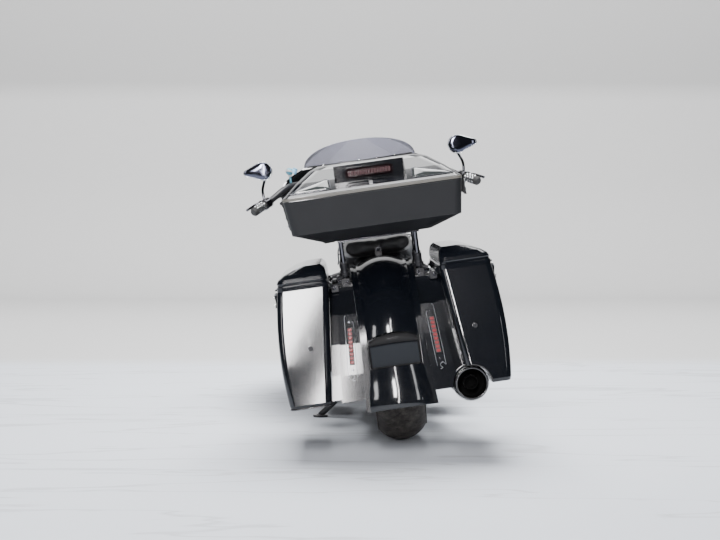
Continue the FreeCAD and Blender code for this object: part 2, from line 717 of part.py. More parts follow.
def finned_cylinder():
    """A finned barrel with its finned head."""
    fins_height = FIN_COUNT * FIN_PITCH
    top = CYLINDER_BASE + fins_height
    pieces = [Part.makeCylinder(BARREL_RADIUS, fins_height + 2, V(0, 0, CYLINDER_BASE))]
    for index in range(FIN_COUNT):
        z = CYLINDER_BASE + (index + 0.5) * FIN_PITCH
        pieces.append(octagon_plate(FIN_HALF_X, FIN_HALF_Y, 22, z, z + FIN_THICKNESS))
    pieces.append(octagon_plate(FIN_HALF_X - 8, FIN_HALF_Y - 8, 16, top, top + HEAD_HEIGHT))
    for index in range(3):
        z = top + (index + 0.5) * HEAD_HEIGHT / 3.5
        pieces.append(octagon_plate(FIN_HALF_X, FIN_HALF_Y, 20, z, z + FIN_THICKNESS + 1))
    return fused(pieces)


def cylinder_bank():
    """Both cylinders in their vee."""
    cylinder = finned_cylinder()
    return Part.makeCompound([vee_placed(cylinder, VEE_HALF_ANGLE), vee_placed(cylinder, -VEE_HALF_ANGLE)])


def octagon_plate(half_x, half_y, corner, low_z, high_z):
    """A flat plate with its four corners cut."""
    points = [V(half_x, -half_y + corner, low_z), V(half_x, half_y - corner, low_z),
              V(half_x - corner, half_y, low_z), V(-half_x + corner, half_y, low_z),
              V(-half_x, half_y - corner, low_z), V(-half_x, -half_y + corner, low_z),
              V(-half_x + corner, -half_y, low_z), V(half_x - corner, -half_y, low_z)]
    return Part.Face(Part.makePolygon(points + points[:1])).extrude(V(0, 0, high_z - low_z))


def rocker_box():
    """The domed cover on top of a cylinder head."""
    base = CYLINDER_BASE + FIN_COUNT * FIN_PITCH + HEAD_HEIGHT
    wires = []
    for step, inset in ((0, 0), (0.55, 1), (0.85, 8), (1.0, 22)):
        wires.append(level_wire(-70 + inset, 70 - inset, -60 + inset, 60 - inset, base + step * ROCKER_HEIGHT,
                                max(24 - inset / 2, 10)))
    return skin(wires, True)


def top_end():
    """Rocker covers and pushrod tubes, the bright pieces of the top end."""
    pieces = []
    for tilt in (VEE_HALF_ANGLE, -VEE_HALF_ANGLE):
        pieces.append(vee_placed(rocker_box(), tilt))
        for offset in (-17, 17):
            foot = V(94, CRANK_Y + offset + math.copysign(26, tilt), 436)
            reach = math.radians(tilt)
            top = CYLINDER_BASE + FIN_COUNT * FIN_PITCH + HEAD_HEIGHT * 0.6
            head = V(86, CRANK_Y + top * math.sin(reach) + offset, CRANK_Z + top * math.cos(reach))
            pieces.append(rod(foot, head, 8).cut([cam_cover()]))
    return Part.makeCompound(pieces)


def engine_covers():
    """Primary cover on the left and cam cover on the right."""
    primary = two_circle_hull((CRANK_Y, CRANK_Z), 88, (CLUTCH_Y, CRANK_Z - 6), CLUTCH_RADIUS,
                              PRIMARY_OUTER_X + 12, PRIMARY_INNER_X)
    face = two_circle_hull((CRANK_Y, CRANK_Z), 74, (CLUTCH_Y, CRANK_Z - 6), CLUTCH_RADIUS - 16,
                           PRIMARY_OUTER_X, PRIMARY_OUTER_X + 14)
    hub = rod(V(PRIMARY_OUTER_X - 8, CLUTCH_Y, CRANK_Z - 6), V(PRIMARY_OUTER_X + 4, CLUTCH_Y, CRANK_Z - 6), 52)
    left = fused([primary, face, hub])
    return Part.makeCompound([left, cam_cover()])


def cam_cover():
    """The cam cover on the right of the crankcase."""
    cam = two_circle_hull((CRANK_Y, CRANK_Z + 20), 86, (CRANK_Y, CRANK_Z + 62), 66, 78, 104)
    nose = rod(V(100, CRANK_Y + 6, CRANK_Z + 26), V(116, CRANK_Y + 6, CRANK_Z + 26), 44)
    return fused([cam, nose])


def air_cleaner():
    """Round air cleaner on the right, carried by the intake between the cylinders."""
    centre = V(0, CRANK_Y + 4, 560)
    pieces = [rod(centre + V(20, 0, 0), centre + V(110, 0, 0), 22),
              rod(centre + V(106, 0, 0), centre + V(138, 0, 0), 82),
              tapered_rod(centre + V(138, 0, 0), centre + V(154, 0, 0), 82, 60)]
    return fused(pieces).cut(cylinder_bank())


def exhaust_pipes():
    """Two head pipes that join into one collector on the right."""
    front = [V(52, 915, 590), V(92, 975, 560), V(140, 990, 430), V(165, 950, 250), V(165, 840, 187), V(165, 460, 187),
             V(176, 320, 192), V(236, 150, 230), MUFFLER_FRONT]
    rear = [V(92, 570, 520), V(140, 520, 500), V(162, 470, 420), V(165, 440, 290), V(165, 380, 187)]
    collar = rod(V(165, 520, 187), V(165, 470, 187), PIPE_RADIUS + 5)
    return fused([tube(front, PIPE_RADIUS), tube(rear, PIPE_RADIUS - 2), collar]).cut([cylinder_bank(), muffler()])


def muffler():
    """A round muffler with a rolled mouth, open to its perforated core."""
    along = V(MUFFLER_TIP - MUFFLER_FRONT).normalize()
    length = (MUFFLER_TIP - MUFFLER_FRONT).Length
    outline = [(0, 0), (0, PIPE_RADIUS + 4), (34, PIPE_RADIUS + 4), (96, MUFFLER_RADIUS - 3),
               (length - 46, MUFFLER_RADIUS - 3), (length - 40, MUFFLER_RADIUS), (length - 4, MUFFLER_RADIUS),
               (length, MUFFLER_RADIUS - 3), (length, MUFFLER_MOUTH), (length - MUFFLER_DEPTH, MUFFLER_MOUTH),
               (length - MUFFLER_DEPTH, 0)]
    points = [V(x, 0, radius) for x, radius in outline]
    body = Part.Face(Part.makePolygon(points + points[:1])).revolve(ORIGIN, RIGHT, 360)
    core = Part.makeCylinder(27, MUFFLER_DEPTH - 50, V(length - MUFFLER_DEPTH - 2, 0, 0), RIGHT)
    core = core.cut(Part.makeCylinder(24, MUFFLER_DEPTH, V(length - MUFFLER_DEPTH + 6, 0, 0), RIGHT))
    solid = fused([body, core])
    solid.Placement = FreeCAD.Placement(MUFFLER_FRONT, FreeCAD.Rotation(RIGHT, along))
    return solid


def muffler_clearance(extra):
    """The space round the muffler that the right saddlebag leaves free."""
    along = V(MUFFLER_TIP - MUFFLER_FRONT).normalize()
    return rod(MUFFLER_FRONT - along * 120, MUFFLER_TIP + along * 120, MUFFLER_RADIUS + MUFFLER_CLEARANCE + extra)


def fuel_tank():
    """The teardrop tank astride the backbone."""
    cap_y = tank_y(0.572)
    cap = rod(V(88, cap_y, 870), V(98, cap_y, 918), 34)
    return fused([fuel_tank_body(), cap]).cut(backbone_tunnel())


def backbone_tunnel():
    """The clear space that the tank and seat leave round the backbone."""
    arch = backbone(BACKBONE_RADIUS + SEAT_GAP)
    drop = arch.copy()
    drop.translate(V(0, 0, -40))
    return arch.fuse([drop])


def tank_console():
    """A slim console along the tank's ridge."""
    stations = [(0.833, 34, 860, 922, 14), (0.67, 42, 860, 928, 16), (0.41, 44, 850, 918, 16),
                (0.196, 34, 830, 884, 12)]
    wires = [cross_wire(half, low, high, tank_y(share), radius) for share, half, low, high, radius in stations]
    return skin(wires).cut(fuel_tank_body())


def fuel_tank_body():
    """The tank's outer form, used to seat what lies on it."""
    stations = [(1.0, 70, 800, 876, 30), (0.9, 108, 782, 902, 45), (0.654, 152, 762, 915, 60),
                (0.41, 165, 752, 905, 62), (0.18, 140, 748, 868, 52), (0.0, 84, 752, 812, 26)]
    wires = [cross_wire(half, low, high, tank_y(share), radius) for share, half, low, high, radius in stations]
    return skin(wires)


def tank_y(share):
    """A place along the tank, from 0 at the seat's nose to 1 at the steering head."""
    return TANK_REAR_Y + share * (WHEELBASE - TANK_SETBACK - TANK_REAR_Y)


def seat():
    """Rider's bucket and passenger place, as one soft solid over the frame rails."""
    base = FENDER_TOP_Z + FENDER_BEAD + SEAT_GAP
    stations = [(636, 78, 760, 786, 12), (560, 104, 700, 776, 26), (430, 158, 664, 728, 28),
                (330, 172, 660, 716, 26), (240, 167, 664, 756, 30),
                (170, 154, base, 800, 30), (40, 146, base, 806, 34), (-66, 130, base, 796, 34)]
    wires = [cross_wire(half, low, high, y, radius) for y, half, low, high, radius in stations]
    return skin(wires, True).cut([backbone_tunnel(), fender_crown(SEAT_GAP)])


def backrest():
    """The passenger's pad on the front of the top case."""
    wires = []
    for ahead, half, inset, radius in ((SEAT_GAP, 150, 6, 36), (30, 158, -2, 44), (56, 132, 16, 40)):
        wires.append(cross_wire(half, CASE_FACE_Z + inset, CASE_RIM_Z - inset, CASE_FRONT + ahead, radius))
    return skin(wires, True)


def side_cover():
    """One side cover under the seat."""
    outline = [(452, 628), (330, 640), (262, 606), (300, 470), (420, 440), (470, 520)]
    return side_plate(outline, SIDE_COVER_X, SIDE_COVER_X + SIDE_COVER_THICKNESS)


def fender_wire(offset, half_width, drop):
    """The side outline of the rear fender, offset inwards and lengthened downwards."""
    knee = V(0, FENDER_KNEE_Y + offset, FENDER_KNEE_Z)
    slope = V(0, FENDER_TAIL_Y - FENDER_KNEE_Y, FENDER_TAIL_Z - FENDER_KNEE_Z).normalize()
    tail = V(0, FENDER_TAIL_Y + offset, FENDER_TAIL_Z) + slope * drop
    crest = V(0, -130, FENDER_TOP_Z - offset)
    bend = V(0, -372, 612) + V(0, 0.72, -0.7) * offset
    front = V(0, 170 + drop, FENDER_TOP_Z - offset)
    low = [V(0, 170 + drop, 590 - drop), V(0, -60, 600 - drop), V(0, -330, 500 - drop), V(0, -430, 330 - drop),
           V(0, tail.y + 46, tail.z)]
    edges = [Part.LineSegment(front, crest).toShape(), Part.Arc(crest, bend, knee).toShape(),
             Part.LineSegment(knee, tail).toShape(), Part.LineSegment(tail, low[4]).toShape()]
    for first, second in zip(low[::-1], low[-2::-1]):
        edges.append(Part.LineSegment(first, second).toShape())
    edges.append(Part.LineSegment(low[0], front).toShape())
    wire = Part.Wire(edges)
    wire.translate(V(-half_width, 0, 0))
    return wire


def plate_frame(shape):
    """Tilt a piece that was drawn on an upright plate onto the fender's tail."""
    slope = math.degrees(math.atan2(FENDER_KNEE_Y - FENDER_TAIL_Y, FENDER_KNEE_Z - FENDER_TAIL_Z))
    share = (FENDER_KNEE_Z - PLATE_Z) / (FENDER_KNEE_Z - FENDER_TAIL_Z)
    y = FENDER_KNEE_Y + share * (FENDER_TAIL_Y - FENDER_KNEE_Y)
    result = shape.copy()
    turn = FreeCAD.Placement(V(0, y, PLATE_Z), FreeCAD.Rotation(RIGHT, -slope))
    result.Placement = turn.multiply(result.Placement)
    return result


def plate_pocket(extra, depth):
    """The arched pocket that the plate sits in."""
    half = PLATE_WIDTH / 2 + 8 + extra
    low = -PLATE_HEIGHT / 2 - 5 - extra
    high = PLATE_HEIGHT / 2 + extra
    edges = [Part.LineSegment(V(-half, 0, high), V(-half, 0, low)).toShape(),
             Part.LineSegment(V(-half, 0, low), V(half, 0, low)).toShape(),
             Part.LineSegment(V(half, 0, low), V(half, 0, high)).toShape(),
             Part.Arc(V(half, 0, high), V(0, 0, high + 20), V(-half, 0, high)).toShape()]
    pocket = Part.Face(Part.Wire(edges)).extrude(V(0, depth + 30, 0))
    pocket.translate(V(0, -30, 0))
    return plate_frame(pocket)


def fender_crown(grow=0.0):
    """The crowned centre of the rear fender, raised between two crease lines along its length."""
    knee = V(0, FENDER_KNEE_Y, FENDER_KNEE_Z)
    tail = V(0, FENDER_TAIL_Y, FENDER_TAIL_Z)
    bend = Part.Arc(V(0, -130, FENDER_TOP_Z), V(0, -372, 612), knee).toShape()
    places = [(V(0, 168, FENDER_TOP_Z), V(0, 0, 1), 0), (V(0, -60, FENDER_TOP_Z), V(0, 0, 1), 0)]
    span = bend.LastParameter - bend.FirstParameter
    for share in (0.08, 0.25, 0.42, 0.59, 0.76, 0.93):
        point = bend.valueAt(bend.FirstParameter + span * share)
        places.append((point, V(point - bend.Curve.Center).normalize(), 0))
    slope = V(tail - knee).normalize()
    square = V(0, slope.z, -slope.y)
    for share in (0.2, 0.6, 1.0):
        places.append((knee + (tail - knee) * share, square, share * (FENDER_FLARE + 6)))
    wires = []
    for point, out, spread in places:
        low = point - out * 2
        left = low - RIGHT * (FENDER_CREASE_X + spread + grow)
        right = low + RIGHT * (FENDER_CREASE_X + spread + grow)
        top = point + out * (FENDER_CROWN + grow)
        wires.append(Part.Wire([Part.Arc(left, top, right).toShape(), Part.LineSegment(right, left).toShape()]))
    return skin(wires)


def fender_face_y(z):
    """The fender tail's rear face at a height."""
    return FENDER_KNEE_Y + (FENDER_TAIL_Y - FENDER_KNEE_Y) * (FENDER_KNEE_Z - z) / (FENDER_KNEE_Z - FENDER_TAIL_Z)


def skirt_half(z):
    """The fender's half width at a height: even down to the knee and flared below it."""
    return FENDER_HALF_WIDTH + FENDER_FLARE * max(FENDER_KNEE_Z - z, 0) / (FENDER_KNEE_Z - FENDER_TAIL_Z)


def fender_skirt(inset, drop):
    """The flared lower end of the fender, or the hollow inside it."""
    wires = []
    for z, front in ((FENDER_KNEE_Z, -389), (330, -430), (FENDER_TAIL_Z - drop, FENDER_TAIL_Y + 46)):
        half = skirt_half(z) - inset
        rear = fender_face_y(z) + inset
        ahead = front + inset * 4
        points = [V(-half, rear, z), V(half, rear, z), V(half, ahead, z), V(-half, ahead, z)]
        wires.append(Part.makePolygon(points + points[:1]))
    return skin(wires, True)


def rear_fender():
    """A long rear fender, hollow over the wheel, with a sunk pocket for the plate."""
    outer = Part.Face(fender_wire(0, FENDER_HALF_WIDTH, 0)).extrude(V(2 * FENDER_HALF_WIDTH, 0, 0))
    inner_half = FENDER_HALF_WIDTH - FENDER_WALL
    inner = Part.Face(fender_wire(FENDER_WALL, inner_half, 30)).extrude(V(2 * inner_half, 0, 0))
    beads = []
    for place in (FENDER_HALF_WIDTH, FENDER_BEAD_WIDTH - FENDER_HALF_WIDTH):
        bead = Part.Face(fender_wire(-FENDER_BEAD, place, 0)).extrude(V(FENDER_BEAD_WIDTH, 0, 0))
        beads.append(bead.cut(block(V(-300, -600, 100), V(300, 0, FENDER_BEAD_FOOT))))
    shell = outer.fuse(beads + [fender_crown(), fender_skirt(0, 0)])
    shell = shell.cut([inner, fender_skirt(FENDER_WALL, 30)])
    tray = plate_pocket(3, 20).common(outer)
    shell = shell.fuse([tray]).cut(plate_pocket(0, 16))
    return shell.removeSplitter()


def plate():
    """The blank plate with its two screw holes."""
    body = Part.makeBox(PLATE_WIDTH, PLATE_THICKNESS, PLATE_HEIGHT,
                        V(-PLATE_WIDTH / 2, 16 - PLATE_THICKNESS, -PLATE_HEIGHT / 2))
    for side in (-1, 1):
        hole = Part.makeCylinder(PLATE_HOLE_RADIUS, 6, V(side * PLATE_HOLE_SPACING / 2, 12, PLATE_HEIGHT / 2 - 12),
                                 FORWARD)
        body = body.cut(hole)
    return plate_frame(body)


def filler():
    """One panel between the fender's tail and the saddlebag."""
    sections = [(236, 213, -506, -452), (330, 205, -492, -436), (440, 194, -468, -414), (545, 186, -424, -372)]
    wires = []
    for z, outer, rear, front in sections:
        inner = skirt_half(z) + SEAT_GAP
        points = [V(inner, rear, z), V(outer, rear, z), V(outer, front, z), V(inner, front, z)]
        wires.append(Part.makePolygon(points + points[:1]))
    return skin(wires, True)


def filler_liner():
    """The recessed panel that closes the space between a filler, the fender and the saddlebag."""
    wires = []
    for z, outer, rear in ((242, 257, -461), (330, 244, -446), (440, 232, -424), (545, 220, -383), (640, 210, -334)):
        inner = skirt_half(z) + SEAT_GAP
        points = [V(inner, rear, z), V(outer, rear, z), V(outer, rear + LINER_THICKNESS, z),
                  V(inner, rear + LINER_THICKNESS, z)]
        wires.append(Part.makePolygon(points + points[:1]))
    return skin(wires, True).cut(bag_skin(bag_wires(-LINER_GAP, BAG_BOTTOM_Z - 4, BAG_SEAM_Z + 10)))


def fender_fillers():
    """Both fillers with the recess for their lights; the right one clears the muffler."""
    panel = fused([filler(), filler_liner()]).cut([filler_light(), frame()])
    return Part.makeCompound([panel.cut(muffler_clearance(-4)), mirrored(panel)])


def filler_light():
    """One upright red light on the filler's rear face."""
    low = V(158, -490, 368)
    high = V(150, -460, 498)
    wires = []
    for place in (low, high):
        points = [place + V(-9, -4, 0), place + V(9, -4, 0), place + V(9, 10, 0), place + V(-9, 10, 0)]
        wires.append(Part.makePolygon(points + points[:1]))
    return skin(wires, True)


def bag_wires(inset, low_z, high_z):
    """Level outlines of the right saddlebag from its floor to its seam."""
    stations = [(0.0, BAG_INNER_BOTTOM, BAG_OUTER_BOTTOM - 4, BAG_REAR_BOTTOM + 3, BAG_FRONT_BOTTOM - 30, BAG_CORNER - 2),
                (0.03, BAG_INNER_BOTTOM - 4, BAG_OUTER_BOTTOM, BAG_REAR_BOTTOM, BAG_FRONT_BOTTOM, BAG_CORNER),
                (0.5, 226, BAG_OUTER_MIDDLE, -522, 150, BAG_CORNER + 2),
                (1.0, BAG_INNER_TOP, BAG_OUTER_TOP, BAG_REAR_TOP, BAG_FRONT_TOP, BAG_CORNER)]
    wires = []
    for share, inner, outer, rear, front, radius in stations:
        z = low_z + share * (high_z - low_z)
        wires.append(level_wire(inner + inset, outer - inset, rear + inset, front - inset, z, radius - inset))
    return wires


def bag_skin(wires):
    """A saddlebag's form: a gently bowed body on a bevelled floor."""
    return skin(wires[:2], True).fuse([skin(wires[1:])]).removeSplitter()


def bag_form():
    """The right saddlebag's outer form."""
    return bag_skin(bag_wires(0, BAG_BOTTOM_Z, BAG_SEAM_Z))


def saddlebag(side):
    """A hollow saddlebag, open at its seam; the right one is arched over the muffler."""
    outer = bag_form()
    inner = bag_skin(bag_wires(BAG_WALL, BAG_BOTTOM_Z + BAG_WALL, BAG_SEAM_Z + 0.1))
    if side > 0:
        outer = outer.cut(muffler_clearance(0))
        inner = inner.cut(muffler_clearance(BAG_WALL))
    lock_y = BAG_REAR_TOP + (BAG_REAR_BOTTOM - BAG_REAR_TOP) * 0.52
    lock_x = (BAG_INNER_TOP + BAG_OUTER_TOP) / 2
    lock_z = (BAG_SEAM_Z + BAG_BOTTOM_Z) / 2
    pieces = [outer.cut(inner), latch(BAG_OUTER_TOP, BAG_LATCH_Y, BAG_SEAM_Z, 1),
              rod(V(lock_x, lock_y, lock_z), V(lock_x, lock_y - 20, lock_z), BAG_LOCK_RADIUS)]
    for y in BAG_HINGES:
        pieces.append(fixed_hinge(BAG_INNER_TOP - HINGE_OUTSET, BAG_INNER_TOP, y, BAG_SEAM_Z))
    whole = fused(pieces)
    return mirrored(whole) if side < 0 else whole


def bag_lid():
    """The domed lid of the right saddlebag, hollow underneath."""
    def wires(inset, lift):
        levels = [(0, 0, 0, 0), (16, 0, 0, 0), (19, BAG_LID_GROOVE, BAG_LID_GROOVE, BAG_LID_GROOVE),
                  (25, BAG_LID_GROOVE, BAG_LID_GROOVE, BAG_LID_GROOVE), (29, 1.5, 1.5, 1.5),
                  (BAG_LID_HEIGHT * 0.52, 2, 9, 6), (BAG_LID_HEIGHT * 0.7, 4, 30, 16),
                  (BAG_LID_HEIGHT * 0.87, 8, 64, 30), (BAG_LID_HEIGHT, 20, 104, 50)]
        result = []
        for rise, inner_taper, outer_taper, end_taper in levels:
            height = max(BAG_SEAM_Z + rise - lift, BAG_SEAM_Z)
            result.append(level_wire(BAG_INNER_TOP + inner_taper + inset, BAG_OUTER_TOP - outer_taper - inset,
                                     BAG_REAR_TOP + end_taper + inset, BAG_FRONT_TOP - end_taper - inset, height,
                                     BAG_CORNER))
        return result
    outer = skin(wires(0, 0), True)
    inner_wires = wires(BAG_WALL, BAG_WALL)
    inner = skin([inner_wires[0]] + inner_wires[3:4] + inner_wires[5:], True)
    pieces = [outer.cut(inner), keeper(BAG_OUTER_TOP, BAG_LATCH_Y, BAG_SEAM_Z, 1)]
    for y in BAG_HINGES:
        pieces.append(moving_hinge(BAG_INNER_TOP - HINGE_OUTSET, BAG_INNER_TOP, y, BAG_SEAM_Z))
    return fused(pieces)


def hinge_leaf(x, wall_x, low_y, high_y, z, rise):
    """The flat leaf that joins a hinge barrel to the wall beside it."""
    low_z, high_z = sorted((z + math.copysign(1, rise), z + rise))
    bite = math.copysign(2, wall_x - x)
    low_x, high_x = sorted((x, wall_x + bite))
    return block(V(low_x, low_y, low_z), V(high_x, high_y, high_z))


def fixed_hinge(x, wall_x, y, z):
    """The body's half of a hinge: two outer knuckles, the pin through them and their leaves."""
    reach = HINGE_KNUCKLE * 1.5
    pieces = [rod(V(x, y - reach, z), V(x, y + reach, z), HINGE_PIN_RADIUS)]
    for low in (y - reach, y + HINGE_KNUCKLE / 2):
        high = low + HINGE_KNUCKLE
        pieces.append(rod(V(x, low, z), V(x, high, z), HINGE_RADIUS))
        pieces.append(hinge_leaf(x, wall_x, low, high, z, -HINGE_LEAF))
    return fused(pieces)


def moving_hinge(x, wall_x, y, z):
    """The lid's half of a hinge: the middle knuckle, bored for the pin, and its leaf."""
    half = HINGE_KNUCKLE / 2 - SEAT_GAP
    knuckle = rod(V(x, y - half, z), V(x, y + half, z), HINGE_RADIUS)
    leaf = hinge_leaf(x, wall_x, y - half, y + half, z, HINGE_LEAF)
    bore = rod(V(x, y - HINGE_KNUCKLE, z), V(x, y + HINGE_KNUCKLE, z), HINGE_PIN_RADIUS + RUNNING_GAP)
    return fused([knuckle, leaf]).cut(bore)


def latch(wall_x, y, z, side):
    """A latch lever under a seam, with its raised finger tab, on the wall at one side."""
    width = LATCH_WIDTH / 2
    profile = [(-4, -3), (LATCH_DEPTH * 0.6, -3), (LATCH_DEPTH, -12), (LATCH_DEPTH * 0.8, -LATCH_HEIGHT * 0.7),
               (LATCH_DEPTH * 1.15, -LATCH_HEIGHT), (LATCH_DEPTH * 0.7, -LATCH_HEIGHT), (-4, -LATCH_HEIGHT * 0.75)]
    return front_plate([(wall_x + side * out, z + up) for out, up in profile], y - width, y + width)


def keeper(wall_x, y, z, side):
    """The lid's keeper that a latch pulls down on."""
    width = LATCH_WIDTH / 2 - 5
    profile = [(-4, 3), (LATCH_DEPTH * 0.5, 3), (LATCH_DEPTH * 0.7, 8), (-2, 13)]
    return front_plate([(wall_x + side * out, z + up) for out, up in profile], y - width, y + width)


def case_base_wires(inset):
    """Level outlines of the top case's lower half."""
    levels = [(CASE_FLOOR_Z, CASE_HALF_WIDTH - CASE_FLOOR_INSET, CASE_REAR + 110, CASE_FRONT - 30,
               CASE_CORNER + 26),
              (CASE_FACE_Z, CASE_HALF_WIDTH - CASE_FACE_INSET, CASE_REAR + 19, CASE_FRONT - 8, CASE_CORNER + 4),
              (CASE_RIM_Z, CASE_HALF_WIDTH, CASE_REAR, CASE_FRONT, CASE_CORNER)]
    wires = []
    for index, (z, half, rear, front, radius) in enumerate(levels):
        height = z
        if inset > 0:
            height = z + (inset if index == 0 else 0.1 if index == 2 else inset * 0.4)
        wires.append(level_wire(-half + inset, half - inset, rear + inset, front - inset, height, radius - inset))
    return wires


def top_case_base():
    """The hollow lower half of the top case."""
    outer = skin(case_base_wires(0), True)
    inner = skin(case_base_wires(CASE_WALL), True)
    pieces = [outer.cut(inner)]
    for y in CASE_HINGES:
        pieces.append(fixed_hinge(-CASE_HALF_WIDTH - HINGE_OUTSET, -CASE_HALF_WIDTH, y, CASE_RIM_Z))
        pieces.append(hinge_strap(y))
    for y in CASE_LATCHES:
        pieces.append(latch(CASE_HALF_WIDTH, y, CASE_RIM_Z, 1))
    return fused(pieces)


def hinge_strap(y):
    """The strap that carries a hinge down the case's left side."""
    lean_in = CASE_FACE_INSET / (CASE_RIM_Z - CASE_FACE_Z)
    length = CASE_BODY_HEIGHT * 0.62
    low_z = CASE_RIM_Z - length
    outline = [(-CASE_HALF_WIDTH - 6, CASE_RIM_Z - HINGE_LEAF + 4), (-CASE_HALF_WIDTH + 2, CASE_RIM_Z - HINGE_LEAF + 4),
               (-CASE_HALF_WIDTH + 3 + lean_in * length, low_z), (-CASE_HALF_WIDTH - 4 + lean_in * length, low_z)]
    return front_plate(outline, y - HINGE_KNUCKLE * 1.5, y + HINGE_KNUCKLE * 1.5)


def shoulder_panel():
    """The outline of the shallow panel in the right shoulder's rear slope, cut deep along the machine."""
    low_z = CASE_RIM_Z + 25
    near_x = POCKET_HALF_WIDTH + 18
    far_x = CASE_HALF_WIDTH - 26
    outline = [(near_x, low_z), (near_x + 4, low_z + 34), (near_x + 16, low_z + 38), (far_x - 14, low_z + 9),
               (far_x, low_z + 2), (far_x - 6, low_z)]
    return front_plate(outline, CASE_REAR - 20, CASE_REAR + 130)


def top_case_lid():
    """The lid with two raised shoulders and a centre pocket for the lamp bar."""
    def wires(inset):
        levels = [(CASE_RIM_Z, 0, 0, 0), (CASE_RIM_Z + CASE_BEAD, 0, 0, 0), (CASE_RIM_Z + CASE_BEAD + 8, 10, 12, 8),
                  (CASE_RIM_Z + CASE_LID_HEIGHT * 0.53, 52, 50, 22), (CASE_TOP_Z - 14, 104, 104, 40),
                  (CASE_TOP_Z - 4, 126, 126, 52), (CASE_TOP_Z, 150, 150, 70)]
        result = []
        for z, side, rear, front in levels:
            height = max(z - inset, CASE_RIM_Z)
            result.append(level_wire(-CASE_HALF_WIDTH + side + inset, CASE_HALF_WIDTH - side - inset,
                                     CASE_REAR + rear + inset, CASE_FRONT - front - inset, height,
                                     CASE_CORNER + side * 0.2))
        return result

    def pocket(grow):
        wall = POCKET_WALL_Y + grow
        mouth = CASE_REAR - 20
        fall = POCKET_SLOPE * (wall - mouth) / POCKET_DEPTH
        outline = [(mouth, POCKET_DECK_Z - grow - fall), (wall, POCKET_DECK_Z - grow), (wall, CASE_TOP_Z + 20),
                   (mouth, CASE_TOP_Z + 20)]
        return side_plate(outline, -POCKET_HALF_WIDTH - grow, POCKET_HALF_WIDTH + grow)
    outer = skin(wires(0), True).cut(pocket(0))
    inner_wires = wires(CASE_WALL)
    inner = skin([inner_wires[0]] + inner_wires[2:], True).cut(pocket(CASE_WALL))
    panel = shoulder_panel().cut(skin(wires(PANEL_DEPTH), True))
    lid = outer.cut([inner, panel, mirrored(panel)])
    ridge_fall = POCKET_SLOPE * (POCKET_DEPTH - 40) / POCKET_DEPTH
    ridge = side_plate([(CASE_REAR + 40, POCKET_DECK_Z - 2 - ridge_fall), (CASE_REAR + 40, POCKET_DECK_Z - ridge_fall),
                        (CASE_REAR + 50, POCKET_DECK_Z + 9 - ridge_fall), (POCKET_WALL_Y + 1, POCKET_DECK_Z + 9),
                        (POCKET_WALL_Y + 1, POCKET_DECK_Z - 2)], -6, 6)
    pieces = [lid, lamp_bezel(), ridge]
    for y in CASE_HINGES:
        pieces.append(moving_hinge(-CASE_HALF_WIDTH - HINGE_OUTSET, -CASE_HALF_WIDTH, y, CASE_RIM_Z))
    for y in CASE_LATCHES:
        pieces.append(keeper(CASE_HALF_WIDTH, y, CASE_RIM_Z, 1))
    return fused(pieces)


def lamp_centre():
    """The middle of the lamp bar on the pocket's back wall."""
    return V(0, POCKET_WALL_Y, POCKET_DECK_Z + LAMP_HALF_HEIGHT + LAMP_BEZEL + 4)


def lamp_bezel():
    """The raised frame round the lamp bar."""
    centre = lamp_centre()
    wide = LAMP_HALF_LENGTH + LAMP_BEZEL
    high = LAMP_HALF_HEIGHT + LAMP_BEZEL
    outer = skin([rounded_wire(centre + FORWARD, RIGHT, UP, wide, high, high - 2),
                  rounded_wire(centre - FORWARD * 9, RIGHT, UP, wide - 2, high - 2, high - 4)], True)
    low = rounded_wire(centre + FORWARD * 0.01, RIGHT, UP, LAMP_HALF_LENGTH + SEAT_GAP,
                       LAMP_HALF_HEIGHT + SEAT_GAP, LAMP_HALF_HEIGHT - 2)
    high_wire = rounded_wire(centre - FORWARD * 20, RIGHT, UP, LAMP_HALF_LENGTH + SEAT_GAP,
                             LAMP_HALF_HEIGHT + SEAT_GAP, LAMP_HALF_HEIGHT - 2)
    return outer.cut(skin([low, high_wire], True))


def top_case_lamp():
    """The long red lamp bar in the pocket's back wall."""
    centre = lamp_centre()
    wires = [rounded_wire(centre, RIGHT, UP, LAMP_HALF_LENGTH, LAMP_HALF_HEIGHT, LAMP_HALF_HEIGHT - 2),
             rounded_wire(centre - FORWARD * 12, RIGHT, UP, LAMP_HALF_LENGTH - 8, LAMP_HALF_HEIGHT - 6,
                          LAMP_HALF_HEIGHT - 7)]
    return skin(wires, True)


def top_case_mount():
    """Docking struts and carrier plate under the top case."""
    carrier = block(V(-150, -420, CASE_FLOOR_Z - 6), V(150, -130, CASE_FLOOR_Z))
    pieces = [carrier]
    for side in (-1, 1):
        x = side * RAIL_HALF_WIDTH
        for y in (-100, -262):
            foot = V(x, y, RAIL_Z + RAIL_RADIUS)
            pieces.append(rod(foot, V(x, y - 40, CASE_FLOOR_Z - 4), 9))
            pieces.append(rod(V(x, y, RAIL_Z + RAIL_RADIUS - 3), V(x, y - 10, RAIL_Z + RAIL_RADIUS + 34), 15))
    return fused(pieces).cut(frame())


